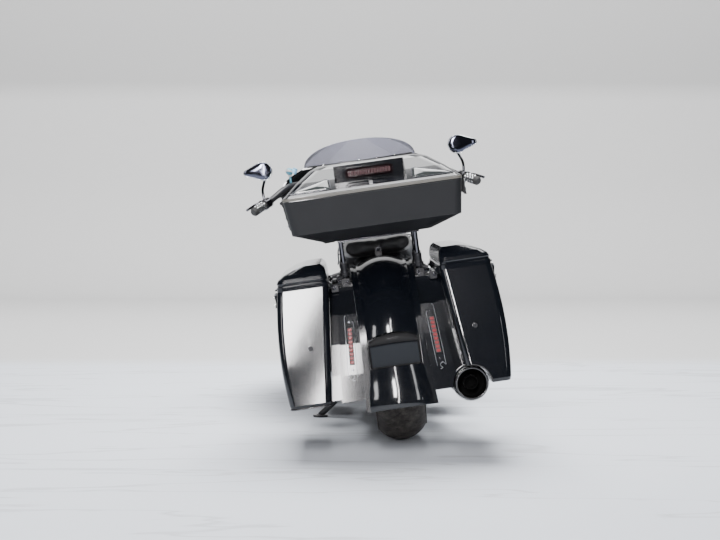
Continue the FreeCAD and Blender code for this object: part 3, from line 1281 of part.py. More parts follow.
def floorboards():
    """Rider boards and smaller passenger boards with their brackets."""
    pieces = []
    for side in (-1, 1):
        inner = side * 194
        outer = side * 300
        low, high = min(inner, outer), max(inner, outer)
        board = skin([level_wire(low, high, 650, 960, BOARD_TOP_Z - 14, 30),
                      level_wire(low, high, 650, 960, BOARD_TOP_Z, 30)], True)
        bracket = tube([V(side * CRADLE_HALF_WIDTH, 800, CRADLE_Z - 5), V(side * 226, 800, CRADLE_Z - 5),
                        V(side * 226, 800, 230)], 9)
        bracket = bracket.cut(rod(V(side * CRADLE_HALF_WIDTH, 700, CRADLE_Z), V(side * CRADLE_HALF_WIDTH, 900, CRADLE_Z),
                                  TUBE_RADIUS))
        pieces.append(fused([board, bracket]))
    for side in (-1, 1):
        low, high = min(side * 214, side * 290), max(side * 214, side * 290)
        board = skin([level_wire(low, high, 330, 480, 330, 24), level_wire(low, high, 330, 480, 342, 24)], True)
        bracket = rod(V(side * POST_HALF_WIDTH, PIVOT_Y, 474), V(side * 236, 405, 338), 9)
        bracket = bracket.cut(rod(V(side * POST_HALF_WIDTH, PIVOT_Y, 400), V(side * POST_HALF_WIDTH, PIVOT_Y, 540),
                                  TUBE_RADIUS))
        pieces.append(fused([board, bracket]))
    return Part.makeCompound(pieces)


def engine_guard():
    """The crash bar's loop on each side."""
    loops = []
    for side in (-1, 1):
        route = [V(side * 30, WHEELBASE - 315, 602), V(side * 210, WHEELBASE - 335, 612),
                 V(side * 330, WHEELBASE - 435, 520), V(side * 350, 1130, 350),
                 V(side * 250, 1100, 235), V(side * 110, 1092, 215)]
        loops.append(tube(route, 14).cut(frame()))
    return Part.makeCompound(loops)


def foot_controls():
    """Shift lever on the left and brake pedal on the right."""
    lever = tube([V(210, 905, 262), V(226, 962, 284), V(266, 990, 292)], 7)
    post = rod(V(210, 905, BOARD_TOP_Z), V(210, 905, 274), 9)
    pad = block(V(228, 968, 290), V(288, 1022, 302))
    peg = rod(V(-262, 990, 292), V(-292, 990, 292), 11)
    return Part.makeCompound([fused([mirrored(lever), mirrored(post), peg]), fused([lever, post, pad])])


def fork_legs():
    """Upper tubes and lower sliders on both sides, bored for the axle."""
    clamp_top = HEAD_HIGH + CLAMP_GAP + CLAMP_THICKNESS + 4
    legs = []
    for side in (-1, 1):
        x = side * FORK_HALF_WIDTH
        slider = Part.makeCylinder(SLIDER_RADIUS, SLIDER_TOP - AXLE_HEIGHT + SLIDER_DROP,
                                   V(x, -FORK_SETBACK, AXLE_HEIGHT - SLIDER_DROP))
        tube_part = Part.makeCylinder(FORK_TUBE_RADIUS, clamp_top - SLIDER_TOP + 10,
                                      V(x, -FORK_SETBACK, SLIDER_TOP - 10))
        collar = Part.makeCylinder(SLIDER_RADIUS + 4, 24, V(x, -FORK_SETBACK, SLIDER_TOP - 22))
        leg = fork_placed(fused([slider, tube_part, collar]))
        legs.append(leg.cut(rod(FRONT_AXLE + V(-200, 0, 0), FRONT_AXLE + V(200, 0, 0), FRONT_AXLE_RADIUS)))
    return Part.makeCompound(legs)


def clamp(low):
    """One triple clamp, drawn about a vertical steering axis."""
    reach = FORK_TUBE_RADIUS + CLAMP_RIM
    shoulder = FORK_HALF_WIDTH - reach - 14
    half = [(FORK_HALF_WIDTH - reach * 0.5, -FORK_SETBACK - reach), (FORK_HALF_WIDTH + reach * 0.5, -FORK_SETBACK - reach),
            (FORK_HALF_WIDTH + reach, -FORK_SETBACK - reach * 0.4), (FORK_HALF_WIDTH + reach, -FORK_SETBACK + reach * 0.6),
            (shoulder, STEM_RADIUS + CLAMP_RIM + 4)]
    outline = [(shoulder, -STEM_RADIUS - CLAMP_RIM - 2)] + half
    outline += [(-x, y) for x, y in half[::-1]] + [(-shoulder, -STEM_RADIUS - CLAMP_RIM - 2)]
    points = [V(x, y, low) for x, y in outline]
    solid = Part.Face(Part.makePolygon(points + points[:1])).extrude(V(0, 0, CLAMP_THICKNESS))
    for side in (-1, 1):
        hole = Part.makeCylinder(FORK_TUBE_RADIUS, CLAMP_THICKNESS + 2,
                                 V(side * FORK_HALF_WIDTH, -FORK_SETBACK, low - 1))
        solid = solid.cut(hole)
    return solid


def triple_clamps():
    """Lower and upper clamp on the stem, with the bar risers."""
    low = HEAD_LOW - CLAMP_GAP - CLAMP_THICKNESS
    high = HEAD_HIGH + CLAMP_GAP
    stem = Part.makeCylinder(STEM_RADIUS, high - low + 4, V(0, 0, low))
    turned = fork_placed(fused([clamp(low), clamp(high), stem]))
    risers = []
    for side in (-1, 1):
        foot = on_fork(side * 56, -4, high + CLAMP_THICKNESS - 2)
        riser = rod(foot, V(side * 56, BAR_ROUTE[0].y, BAR_ROUTE[0].z), 15)
        cap = rod(V(side * 56 - 18, BAR_ROUTE[0].y, BAR_ROUTE[0].z), V(side * 56 + 18, BAR_ROUTE[0].y, BAR_ROUTE[0].z),
                  24)
        risers += [riser, cap]
    nut = rod(on_fork(0, 0, high + CLAMP_THICKNESS - 2), on_fork(0, 0, high + CLAMP_THICKNESS + 10), STEM_RADIUS + 2)
    return fused([turned, nut] + risers).cut(handlebar())


def front_fender():
    """A close front fender with its stays to the sliders."""
    outer = [(-74, 288), (-74, 332), (-52, 346), (0, 352), (52, 346), (74, 332), (74, 288)]
    inner = [(70, 288), (70, 330), (50, 342), (0, 348), (-50, 342), (-70, 330), (-70, 288)]
    shell = ring(outer + inner, FRONT_AXLE, 195, -72)
    stays = []
    for side in (-1, 1):
        start = on_fork(side * (FORK_HALF_WIDTH - SLIDER_RADIUS + 2), -FORK_SETBACK, AXLE_HEIGHT + 308)
        end = V(side * 72, start.y, start.z)
        stays.append(rod(start, end, 14))
    fork = Part.makeCompound([leg for leg in fork_legs().Solids])
    return fused([shell] + stays).cut(fork)


def brake_calipers():
    """Front calipers astride the discs, behind the sliders."""
    centre_x = FRONT_DISC_X + DISC_THICKNESS / 2
    place = FRONT_AXLE + V(0, -118, 62)
    body = block(V(centre_x - 20, place.y - 34, place.z - 46), V(centre_x + 24, place.y + 34, place.z + 46))
    slot = Part.makeCylinder(DISC_RADIUS + 5, DISC_THICKNESS + CALIPER_GAP,
                             V(FRONT_DISC_X - CALIPER_GAP / 2, FRONT_AXLE.y, FRONT_AXLE.z), RIGHT)
    lug = block(V(centre_x + 10, place.y + 20, place.z - 14), V(centre_x + 24, place.y + 62, place.z + 30))
    caliper = fused([body, lug]).cut(slot).cut(fork_legs())
    return both(caliper)


def front_axle():
    """The hollow front axle with its spacers up to the hub."""
    half = FORK_HALF_WIDTH + SLIDER_RADIUS + 4
    pieces = [rod(V(-half, 0, 0), V(half, 0, 0), FRONT_AXLE_RADIUS)]
    for side in (-1, 1):
        pieces.append(rod(V(side * (FRONT_HUB_WIDTH / 2 + 1), 0, 0), V(side * (FORK_HALF_WIDTH - SLIDER_RADIUS), 0, 0),
                          19))
    axle = fused(pieces).cut(rod(V(-half - 5, 0, 0), V(half + 5, 0, 0), FRONT_AXLE_BORE))
    axle.translate(FRONT_AXLE)
    return axle.cut(fork_legs())


def bar_side(side):
    """The handlebar's route on one side."""
    return [V(side * point.x, point.y, point.z) for point in BAR_ROUTE]


def handlebar():
    """The swept handlebar."""
    left = bar_side(-1)
    right = bar_side(1)
    return tube(left[:0:-1] + right[1:], BAR_RADIUS)


def grip_axis(side):
    """The grip's two ends along the bar's last run."""
    end = V(side * BAR_ROUTE[-1].x, BAR_ROUTE[-1].y, BAR_ROUTE[-1].z)
    before = V(side * BAR_ROUTE[-2].x, BAR_ROUTE[-2].y, BAR_ROUTE[-2].z)
    return end, V(before - end).normalize()


def grips():
    """Both grips with their end caps."""
    pieces = []
    for side in (-1, 1):
        end, inward = grip_axis(side)
        outer = end - inward * 14
        grip = rod(end - inward * 4, end + inward * (GRIP_LENGTH - 52), GRIP_RADIUS)
        cap = tapered_rod(outer, end - inward * 2, GRIP_RADIUS - 6, GRIP_RADIUS + 2)
        grip = fused([grip, cap]).cut(rod(end, end + inward * GRIP_LENGTH, BAR_RADIUS))
        pieces.append(grip)
    return Part.makeCompound(pieces)


def hand_controls():
    """Lever perches, levers and switch housings."""
    pieces = []
    for side in (-1, 1):
        end, inward = grip_axis(side)
        centre = end + inward * (GRIP_LENGTH - 30)
        ahead = V(0, 0.55, 0.15) + V(side * 0.62, 0, 0)
        ahead.normalize()
        housing = rod(centre - inward * 20, centre + inward * 18, 24)
        perch = rod(centre + inward * 4, centre + inward * 4 + ahead * 40, 11)
        tip = end + ahead * 52 + inward * 4
        lever = tube([centre + inward * 4 + ahead * 36, centre - inward * 30 + ahead * 52, tip], 6)
        solid = fused([housing, perch, lever]).cut(handlebar())
        pieces.append(solid)
    return Part.makeCompound(pieces)


def mirror():
    """The right teardrop mirror on its stem."""
    centre = MIRROR_CENTRE
    big = MIRROR_HEIGHT / 2
    small = 15.0
    inner = centre - V(MIRROR_LENGTH / 2 - big, 0, 0)
    outer = centre + V(MIRROR_LENGTH / 2 - small, 0, 0)
    shell = two_circle_hull((inner.x, inner.z), big, (outer.x, outer.z), small, 0, 26)
    turn = FreeCAD.Matrix(0, 1, 0, 0, 1, 0, 0, centre.y - 10, 0, 0, 1, 0)
    shell = shell.transformGeometry(turn)
    end, inward = grip_axis(1)
    root = end + inward * (GRIP_LENGTH - 26) + V(0.4, 0.6, 0.6) * 18
    stem = tube([root, root + V(6, 10, 50), inner + V(-6, 8, -30), inner + V(0, 6, -6)], 6)
    return fused([shell, stem]).cut([hand_controls(), handlebar()])


def fairing_section(half, back, front, z):
    """A level outline of the fairing: a bowed front and a straight back."""
    depth = front - back
    points = [V(-half, back, z), V(-half * 0.9, back + depth * 0.42, z), V(-half * 0.5, back + depth * 0.84, z),
              V(0, front, z), V(half * 0.5, back + depth * 0.84, z), V(half * 0.9, back + depth * 0.42, z),
              V(half, back, z)]
    curve = Part.BSplineCurve()
    curve.interpolate(points)
    return Part.Wire([curve.toShape(), Part.LineSegment(points[-1], points[0]).toShape()])


# Height, half width, and the rear and front edges' distances behind the front axle.
FAIRING_SHAPE = [(762, 215, 280, 159), (820, 280, 310, 123), (900, 345, 337, 93), (980, 384, 353, 90),
                 (1050, 380, 357, 133), (1100, 325, 347, 191), (1128, 268, 339, 227)]
FAIRING_LEVELS = [(z, half, WHEELBASE - back, WHEELBASE - front) for z, half, back, front in FAIRING_SHAPE]


def fairing_inside():
    """The hollow of the fairing, reaching out past its rear opening."""
    levels = [(z, half - FAIRING_WALL, back - 20, front - FAIRING_WALL) for z, half, back, front in FAIRING_LEVELS]
    hollow = skin([fairing_section(half, back, front, z) for z, half, back, front in levels])
    top = FAIRING_LEVELS[-1][0]
    return hollow.cut(block(V(-500, WHEELBASE - 425, top - FAIRING_WALL), V(500, WHEELBASE, top + 40)))


def fairing():
    """The fork-mounted fairing, open to the rear and over the fork."""
    outer = skin([fairing_section(half, back, front, z) for z, half, back, front in FAIRING_LEVELS])
    throat = block(V(-168, WHEELBASE - 425, 740), V(168, WHEELBASE - 145, 792))
    lamp_hole = rod(V(0, LAMP_Y, LAMP_Z), V(0, LAMP_Y + 160, LAMP_Z), LAMP_RADIUS + 1)
    return outer.cut([fairing_inside(), throat, lamp_hole])


def headlight():
    """Round headlight in the fairing's nose, carried by the fork."""
    centre = V(0, LAMP_Y, LAMP_Z)
    bucket = [(0, 0), (0, 60), (40, LAMP_RADIUS - 5), (80, LAMP_RADIUS), (98, LAMP_RADIUS), (112, LAMP_RADIUS - 11),
              (118, 60), (120, 0)]
    points = [V(x, 0, radius) for x, radius in bucket]
    solid = Part.Face(Part.makePolygon(points + points[:1])).revolve(ORIGIN, RIGHT, 360)
    solid.Placement = FreeCAD.Placement(centre, FreeCAD.Rotation(RIGHT, FORWARD))
    bracket = front_plate([(-FORK_HALF_WIDTH + 8, LAMP_Z - 24), (FORK_HALF_WIDTH - 8, LAMP_Z - 24),
                           (FORK_HALF_WIDTH - 8, LAMP_Z + 18), (-FORK_HALF_WIDTH + 8, LAMP_Z + 18)],
                          LAMP_Y - 40, LAMP_Y + 2)
    for side in (-1, 1):
        arm = rod(V(side * (FORK_HALF_WIDTH - 14), LAMP_Y - 30, LAMP_Z - 4),
                  on_fork(side * FORK_HALF_WIDTH, -FORK_SETBACK, 990), 9)
        bracket = bracket.fuse([arm])
    return fused([solid, bracket]).cut(fork_legs())


def dash():
    """Inner fairing with gauges and speakers, ahead of the bar."""
    face = WHEELBASE - 265
    board = side_plate([(face + 16, 955), (face + 8, 1020), (face, 1090), (face - 8, 1122), (face + 16, 1122),
                        (face + 20, 1090), (face + 26, 1020), (face + 30, 955)], -400, 400)
    pieces = [board]
    for x, z, radius in ((-62, 1062, 42), (62, 1062, 42), (-205, 1040, 48), (205, 1040, 48), (-130, 1080, 20),
                         (130, 1080, 20)):
        bezel = rod(V(x, face - 12, z), V(x, face + 18, z), radius)
        pieces.append(bezel.cut(rod(V(x, face - 13, z), V(x, face - 7, z), radius - 5)))
    clearance = rod(V(-120, BAR_ROUTE[0].y, BAR_ROUTE[0].z), V(120, BAR_ROUTE[0].y, BAR_ROUTE[0].z), 30)
    return fused(pieces).common(fairing_inside()).cut([clearance, fork_legs(), triple_clamps()])


def windshield():
    """A low tinted windshield, bowed across and swept back."""
    wires = []
    top, half_top, back_top, front_top = FAIRING_LEVELS[-1]
    for z, half, back, front in ((top, half_top - 6, back_top + 4, front_top - 3),
                                 (1180, 205, WHEELBASE - 363, WHEELBASE - 263),
                                 (1228, 105, WHEELBASE - 349, WHEELBASE - 299)):
        outer = [V(-half, back, z), V(0, front, z), V(half, back, z)]
        inner = [V(half, back - 7, z), V(0, front - 4.5, z), V(-half, back - 7, z)]
        edges = [Part.Arc(outer[0], outer[1], outer[2]).toShape(), Part.LineSegment(outer[2], inner[0]).toShape(),
                 Part.Arc(inner[0], inner[1], inner[2]).toShape(), Part.LineSegment(inner[2], outer[0]).toShape()]
        wires.append(Part.Wire(edges))
    return skin(wires)


def accessory():
    """A small ball-headed accessory on the left of the bar."""
    base = V(-330, WHEELBASE - 475, 1068)
    pieces = [rod(base, base + V(0, 0, 40), 5), Part.makeSphere(17, base + V(0, 0, 52)),
              rod(base + V(16, 0, 40), base + V(30, 0, 62), 11)]
    return fused(pieces).cut(handlebar())


def stand_foot_centre():
    """The centre of the foot's sole, on the ground."""
    return upright(STAND_FOOT_X, STAND_FOOT_Y, 0)


def stand_axis():
    """The stand's hinge axis: square to the change from its lowered to its raised direction."""
    lowered = stand_foot_centre() - STAND_PIVOT
    return (lowered - STAND_RAISED).cross(FORWARD).normalize() * -1


def side_stand():
    """The side stand's leg, eye and flat foot."""
    sole = stand_foot_centre()
    normal = V(lean_sin, 0, lean_cos)
    ankle = sole + normal * (STAND_FOOT_THICKNESS - 1)
    foot = Part.makeCylinder(STAND_FOOT_RADIUS, STAND_FOOT_THICKNESS, sole, normal)
    leg = rod(STAND_PIVOT, ankle, STAND_RADIUS)
    leg = leg.cut(Part.makeCylinder(90, 60, sole - normal * 60, normal))
    axis = stand_axis()
    half = axis * (STAND_EYE_LENGTH / 2)
    eye = rod(STAND_PIVOT - half, STAND_PIVOT + half, STAND_PIN_RADIUS + 9)
    gap_low = rod(STAND_PIVOT - half * 4, STAND_PIVOT - half, 60)
    gap_high = rod(STAND_PIVOT + half, STAND_PIVOT + half * 4, 60)
    bore = rod(STAND_PIVOT - half * 2, STAND_PIVOT + half * 2, STAND_PIN_RADIUS + RUNNING_GAP)
    return fused([foot, leg.cut([gap_low, gap_high]), eye]).cut(bore)


def main():
    """Build and save every piece."""
    os.makedirs("parts", exist_ok=True)
    rear_wheel_pieces()
    front_wheel_pieces()
    save("frame", frame())
    save("swingarm", swingarm())
    save("rear_axle", rear_axle())
    save("rear_shocks", both(rear_shock()))
    save("drive_belt", belt())
    save("engine_cases", engine_cases())
    save("cylinders", cylinder_bank())
    save("top_end", top_end())
    save("engine_covers", engine_covers())
    save("air_cleaner", air_cleaner())
    save("exhaust_pipes", exhaust_pipes())
    save("muffler", muffler())
    save("fuel_tank", fuel_tank())
    save("tank_console", tank_console())
    save("seat", seat())
    save("backrest", backrest())
    save("side_covers", both(side_cover()))
    save("rear_fender", rear_fender())
    save("plate", plate())
    save("fender_fillers", fender_fillers())
    save("filler_lights", both(filler_light()))
    save("saddlebag_left", saddlebag(-1))
    save("saddlebag_right", saddlebag(1))
    save("saddlebag_lid_left", mirrored(bag_lid()))
    save("saddlebag_lid_right", bag_lid())
    save("top_case_base", top_case_base())
    save("top_case_lid", top_case_lid())
    save("top_case_lamp", top_case_lamp())
    save("top_case_mount", top_case_mount())
    save("floorboards", floorboards())
    save("engine_guard", engine_guard())
    save("foot_controls", foot_controls())
    save("fork_legs", fork_legs())
    save("triple_clamps", triple_clamps())
    save("front_fender", front_fender())
    save("brake_calipers", brake_calipers())
    save("front_axle", front_axle())
    save("handlebar", handlebar())
    save("grips", grips())
    save("hand_controls", hand_controls())
    save("mirrors", both(mirror()))
    save("fairing", fairing())
    save("headlight", headlight())
    save("dash", dash())
    save("windshield", windshield())
    save("bar_accessory", accessory())
    save("side_stand", side_stand())


main()
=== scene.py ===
import math

import bmesh
import bpy
from bpy.props import FloatProperty, FloatVectorProperty, IntProperty, PointerProperty
from mathutils import Matrix, Vector


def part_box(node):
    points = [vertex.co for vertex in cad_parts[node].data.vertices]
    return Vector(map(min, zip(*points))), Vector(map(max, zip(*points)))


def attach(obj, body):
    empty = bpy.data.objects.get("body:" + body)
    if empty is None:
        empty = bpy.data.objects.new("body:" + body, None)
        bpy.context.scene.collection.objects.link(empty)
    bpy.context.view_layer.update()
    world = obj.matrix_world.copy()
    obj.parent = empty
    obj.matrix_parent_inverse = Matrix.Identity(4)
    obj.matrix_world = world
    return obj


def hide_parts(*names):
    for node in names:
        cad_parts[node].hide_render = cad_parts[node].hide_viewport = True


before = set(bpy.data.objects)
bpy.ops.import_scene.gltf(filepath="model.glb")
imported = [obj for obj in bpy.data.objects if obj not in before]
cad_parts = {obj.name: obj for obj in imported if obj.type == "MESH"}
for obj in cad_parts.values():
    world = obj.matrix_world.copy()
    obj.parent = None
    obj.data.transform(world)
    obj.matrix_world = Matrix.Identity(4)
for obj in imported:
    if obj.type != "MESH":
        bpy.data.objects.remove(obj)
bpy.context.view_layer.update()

# Dresses the touring cruiser: finishes for its solid pieces, and the soft, bright and small pieces on them.
# Pieces are drawn on the upright machine in metres: X to its right, Y forward from the rear axle and
# Z up from the ground. MACHINE then leans them onto the side stand.

bl_info = {
    "name": "Touring cruiser dressing",
    "version": (1, 0, 0),
    "blender": (4, 5, 0),
    "location": "3D View > Sidebar > Cruiser",
    "description": "Adds the finishes, seat, lamps, tread, trim and hardware of a touring cruiser",
    "category": "Object",
}

LEAN = math.radians(8.0)
RAKE = math.radians(26)
AXLE_HEIGHT = 0.32
WHEELBASE = 1.625
FULL_TURN = 2 * math.pi
RIGHT = Vector((1, 0, 0))
LEFT = Vector((-1, 0, 0))
AHEAD = Vector((0, 1, 0))
BACK = Vector((0, -1, 0))
UP = Vector((0, 0, 1))

tyre_low, tyre_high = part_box("rear_tyre")
AXLE_PLACE = (tyre_low + tyre_high) / 2
MACHINE = Matrix.Translation(AXLE_PLACE) @ Matrix.Rotation(-LEAN, 4, "Y")
MACHINE = MACHINE @ Matrix.Translation((0, 0, -AXLE_HEIGHT))
GROUND_POINT = Vector((AXLE_PLACE.x + AXLE_HEIGHT * math.sin(LEAN), AXLE_PLACE.y, 0))


# Node groups shared by the finishes

def add(tree, kind, **values):
    """A shader node of one kind, with its own settings and socket defaults."""
    node = tree.nodes.new("ShaderNode" + kind)
    for key, value in values.items():
        if hasattr(node, key):
            setattr(node, key, value)
        else:
            node.inputs[key.replace("_", " ")].default_value = value
    return node


def wire(source, output, sink, entry):
    """Link one node's output to another node's input."""
    source.id_data.links.new(source.outputs[output], sink.inputs[entry])


def start_group(name, inputs, outputs):
    """An empty shader node group with named float or vector sockets."""
    group = bpy.data.node_groups.new(name, "ShaderNodeTree")
    for label, kind, value in inputs:
        socket = group.interface.new_socket(label, in_out="INPUT", socket_type=kind)
        if value is not None:
            socket.default_value = value
    for label, kind in outputs:
        group.interface.new_socket(label, in_out="OUTPUT", socket_type=kind)
    source = group.nodes.new("NodeGroupInput")
    sink = group.nodes.new("NodeGroupOutput")
    return group, source, sink


def rounded_edges_group():
    """Softens sharp edges for the light, and finds them as a mask for a painted edge highlight."""
    group, source, sink = start_group("rounded_edges", [("Radius", "NodeSocketFloat", 0.002)],
        [("Normal", "NodeSocketVector"), ("Edge", "NodeSocketFloat")])
    bevel = add(group, "Bevel", samples=4)
    geometry = add(group, "NewGeometry")
    dot = add(group, "VectorMath", operation="DOT_PRODUCT")
    spread = add(group, "MapRange", From_Min=0.98, From_Max=0.72)
    wire(source, "Radius", bevel, "Radius")
    wire(bevel, "Normal", dot, 0)
    wire(geometry, "Normal", dot, 1)
    wire(dot, "Value", spread, "Value")
    wire(bevel, "Normal", sink, "Normal")
    wire(spread, "Result", sink, "Edge")
    return group


def fine_grain_group():
    """Fine even texture of paint, castings and moulded plastic."""
    group, source, sink = start_group("fine_grain", [("Scale", "NodeSocketFloat", 400.0)],
        [("Height", "NodeSocketFloat"), ("Tone", "NodeSocketFloat")])
    place = add(group, "TexCoord")
    fine = add(group, "TexNoise", Detail=4.0, Roughness=0.6)
    broad = add(group, "TexNoise", Scale=9.0, Detail=3.0)
    wire(place, "Object", fine, "Vector")
    wire(place, "Object", broad, "Vector")
    wire(source, "Scale", fine, "Scale")
    wire(fine, "Fac", sink, "Height")
    wire(broad, "Fac", sink, "Tone")
    return group


def road_dust_group():
    """Thin dust that settles low down, as a mask."""
    group, source, sink = start_group("road_dust",
        [("Amount", "NodeSocketFloat", 0.2), ("Top", "NodeSocketFloat", 0.45)],
        [("Mask", "NodeSocketFloat")])
    place = add(group, "TexCoord")
    split = add(group, "SeparateXYZ")
    low = add(group, "MapRange", From_Max=0.0)
    noise = add(group, "TexNoise", Scale=35.0, Detail=6.0, Roughness=0.7)
    speckle = add(group, "MapRange", From_Min=0.42, From_Max=0.75)
    times = add(group, "Math", operation="MULTIPLY")
    amount = add(group, "Math", operation="MULTIPLY")
    wire(place, "Object", split, 0)
    wire(place, "Object", noise, "Vector")
    wire(split, "Z", low, "Value")
    wire(source, "Top", low, "From Min")
    wire(noise, "Fac", speckle, "Value")
    wire(low, "Result", times, 0)
    wire(speckle, "Result", times, 1)
    wire(times, "Value", amount, 0)
    wire(source, "Amount", amount, 1)
    wire(amount, "Value", sink, "Mask")
    return group


def leather_grain_group():
    """Pebbled grain of seat vinyl, with soft creases."""
    group, source, sink = start_group("leather_grain", [("Scale", "NodeSocketFloat", 260.0)],
        [("Height", "NodeSocketFloat"), ("Tone", "NodeSocketFloat")])
    place = add(group, "TexCoord")
    pebbles = add(group, "TexVoronoi", feature="DISTANCE_TO_EDGE")
    level = add(group, "MapRange", From_Max=0.14)
    creases = add(group, "TexNoise", Scale=22.0, Detail=5.0, Distortion=0.8)
    mix = add(group, "Math", operation="MULTIPLY_ADD")
    mix.inputs[1].default_value = 0.5
    wire(place, "Object", pebbles, "Vector")
    wire(place, "Object", creases, "Vector")
    wire(source, "Scale", pebbles, "Scale")
    wire(pebbles, "Distance", level, "Value")
    wire(level, "Result", mix, 0)
    wire(creases, "Fac", mix, 2)
    wire(mix, "Value", sink, "Height")
    wire(creases, "Fac", sink, "Tone")
    return group


def brushed_lines_group():
    """Fine lines of brushed or turned metal along one direction."""
    group, source, sink = start_group("brushed_lines",
        [("Stretch", "NodeSocketVector", (20.0, 900.0, 900.0))],
        [("Height", "NodeSocketFloat"), ("Tone", "NodeSocketFloat")])
    place = add(group, "TexCoord")
    scale = add(group, "VectorMath", operation="MULTIPLY")
    noise = add(group, "TexNoise", Scale=1.0, Detail=3.0)
    wire(place, "Object", scale, 0)
    wire(source, "Stretch", scale, 1)
    wire(scale, 0, noise, "Vector")
    wire(noise, "Fac", sink, "Height")
    wire(noise, "Fac", sink, "Tone")
    return group


GROUPS = {}


def group_node(tree, name):
    """Place one of the shared groups in a finish."""
    makers = {"rounded_edges": rounded_edges_group, "fine_grain": fine_grain_group,
        "road_dust": road_dust_group, "leather_grain": leather_grain_group,
        "brushed_lines": brushed_lines_group}
    if name not in GROUPS:
        GROUPS[name] = makers[name]()
    node = tree.nodes.new("ShaderNodeGroup")
    node.node_tree = GROUPS[name]
    return node


def blend_color(tree, factor, first, second):
    """Mix two colours, each a socket or a plain colour."""
    mix = tree.nodes.new("ShaderNodeMix")
    mix.data_type = "RGBA"
    tree.links.new(factor, mix.inputs["Factor"])
    for label, value in (("A", first), ("B", second)):
        socket = next(s for s in mix.inputs if s.name == label and s.type == "RGBA")
        if isinstance(value, (tuple, list)):
            socket.default_value = (*value[:3], 1)
        else:
            tree.links.new(value, socket)
    return next(s for s in mix.outputs if s.type == "RGBA")


def spread_value(tree, factor, low, high):
    """A number that runs from low to high with a factor from 0 to 1."""
    node = tree.nodes.new("ShaderNodeMapRange")
    node.inputs["To Min"].default_value = low
    node.inputs["To Max"].default_value = high
    tree.links.new(factor, node.inputs["Value"])
    return node.outputs["Result"]


FINISHES = {}


def finish(name, color, rough=0.4, metal=0.0, coat=0.0, coat_rough=0.08, grain=400.0, bump=0.02, edge=0.0015,
        edge_highlight_color=None, tone=0.25, dust=0.0, pattern="fine_grain", rough_spread=0.06, sheen=0.0,
        specular=0.5):
    """A hard or soft finish with its grain, colour variation, dust, softened edges and, where an edge colour
    is given, a painted highlight along its edges.
    """
    if name in FINISHES:
        return FINISHES[name]
    material = bpy.data.materials.new(name)
    material.use_nodes = True
    tree = material.node_tree
    shader = tree.nodes["Principled BSDF"]
    settings = {"Metallic": metal, "Coat Weight": coat, "Coat Roughness": coat_rough, "Sheen Weight": sheen,
        "Specular IOR Level": specular}
    for label, value in settings.items():
        shader.inputs[label].default_value = value
    texture = group_node(tree, pattern)
    if "Scale" in texture.inputs:
        texture.inputs["Scale"].default_value = grain
    shade = blend_color(tree, spread_value(tree, texture.outputs["Tone"], 0.0, tone), color,
        tuple(min(1, c * 1.9 + 0.01) for c in color))
    edges = group_node(tree, "rounded_edges")
    edges.inputs["Radius"].default_value = edge
    # Painted highlight: sharp edges are lightened towards the edge colour.
    if edge_highlight_color is not None:
        shade = blend_color(tree, edges.outputs["Edge"], shade, edge_highlight_color)
    roughness = spread_value(tree, texture.outputs["Tone"], rough - rough_spread, rough + rough_spread)
    if dust > 0:
        film = group_node(tree, "road_dust")
        film.inputs["Amount"].default_value = dust
        shade = blend_color(tree, film.outputs["Mask"], shade, (0.3, 0.28, 0.25))
        rougher = add(tree, "Math", operation="ADD", use_clamp=True)
        tree.links.new(roughness, rougher.inputs[0])
        wire(film, "Mask", rougher, 1)
        roughness = rougher.outputs[0]
    relief = add(tree, "Bump", Strength=bump, Distance=0.001)
    wire(texture, "Height", relief, "Height")
    wire(edges, "Normal", relief, "Normal")
    tree.links.new(shade, shader.inputs["Base Color"])
    tree.links.new(roughness, shader.inputs["Roughness"])
    wire(relief, "Normal", shader, "Normal")
    FINISHES[name] = material
    return material


def glowing(name, color, glow, strength):
    """A lit lens whose brightness varies over its little chambers."""
    if name in FINISHES:
        return FINISHES[name]
    material = finish(name, color, rough=0.38, coat=0.08, grain=500.0, tone=0.5, specular=0.25)
    tree = material.node_tree
    shader = tree.nodes["Principled BSDF"]
    place = add(tree, "TexCoord")
    cells = add(tree, "TexVoronoi", Scale=110.0)
    wire(place, "Object", cells, "Vector")
    level = add(tree, "MapRange", From_Max=0.7, To_Min=1.0, To_Max=0.25)
    wire(cells, "Distance", level, "Value")
    tree.links.new(blend_color(tree, level.outputs["Result"], tuple(c * 0.2 for c in glow), glow),
        shader.inputs["Emission Color"])
    shader.inputs["Emission Strength"].default_value = strength
    return material


def clear(name, color, rough=0.02, alpha=1.0, transmission=1.0):
    """Tinted or clear glass and acrylic, with faint smears in its gloss."""
    if name in FINISHES:
        return FINISHES[name]
    material = bpy.data.materials.new(name)
    material.use_nodes = True
    tree = material.node_tree
    shader = tree.nodes["Principled BSDF"]
    shader.inputs["Base Color"].default_value = (*color, 1)
    shader.inputs["Transmission Weight"].default_value = transmission
    shader.inputs["Metallic"].default_value = 0.0
    shader.inputs["IOR"].default_value = 1.45
    shader.inputs["Alpha"].default_value = alpha
    texture = group_node(tree, "fine_grain")
    texture.inputs["Scale"].default_value = 60.0
    tree.links.new(spread_value(tree, texture.outputs["Tone"], rough, rough + 0.05),
        shader.inputs["Roughness"])
    FINISHES[name] = material
    return material


def paint():
    color = tuple(bpy.context.scene.cruiser_paint.body_color)
    return finish("deep_black_paint", color, rough=0.26, coat=1.0, coat_rough=0.085, grain=1500.0,
        bump=0.004, edge=0.003, tone=0.1, dust=0.05, rough_spread=0.03, specular=0.03)


def case_plastic():
    color = tuple(bpy.context.scene.cruiser_paint.case_color)
    return finish("case_satin_grey", color, rough=0.46, grain=1100.0, bump=0.05, edge=0.004, tone=0.25,
        edge_highlight_color=(0.07, 0.07, 0.07), specular=0.2)


def chrome():
    return finish("bright_chrome", (0.72, 0.73, 0.75), rough=0.09, metal=1.0, grain=300.0, bump=0.006,
        tone=0.06, edge=0.0012, rough_spread=0.03)


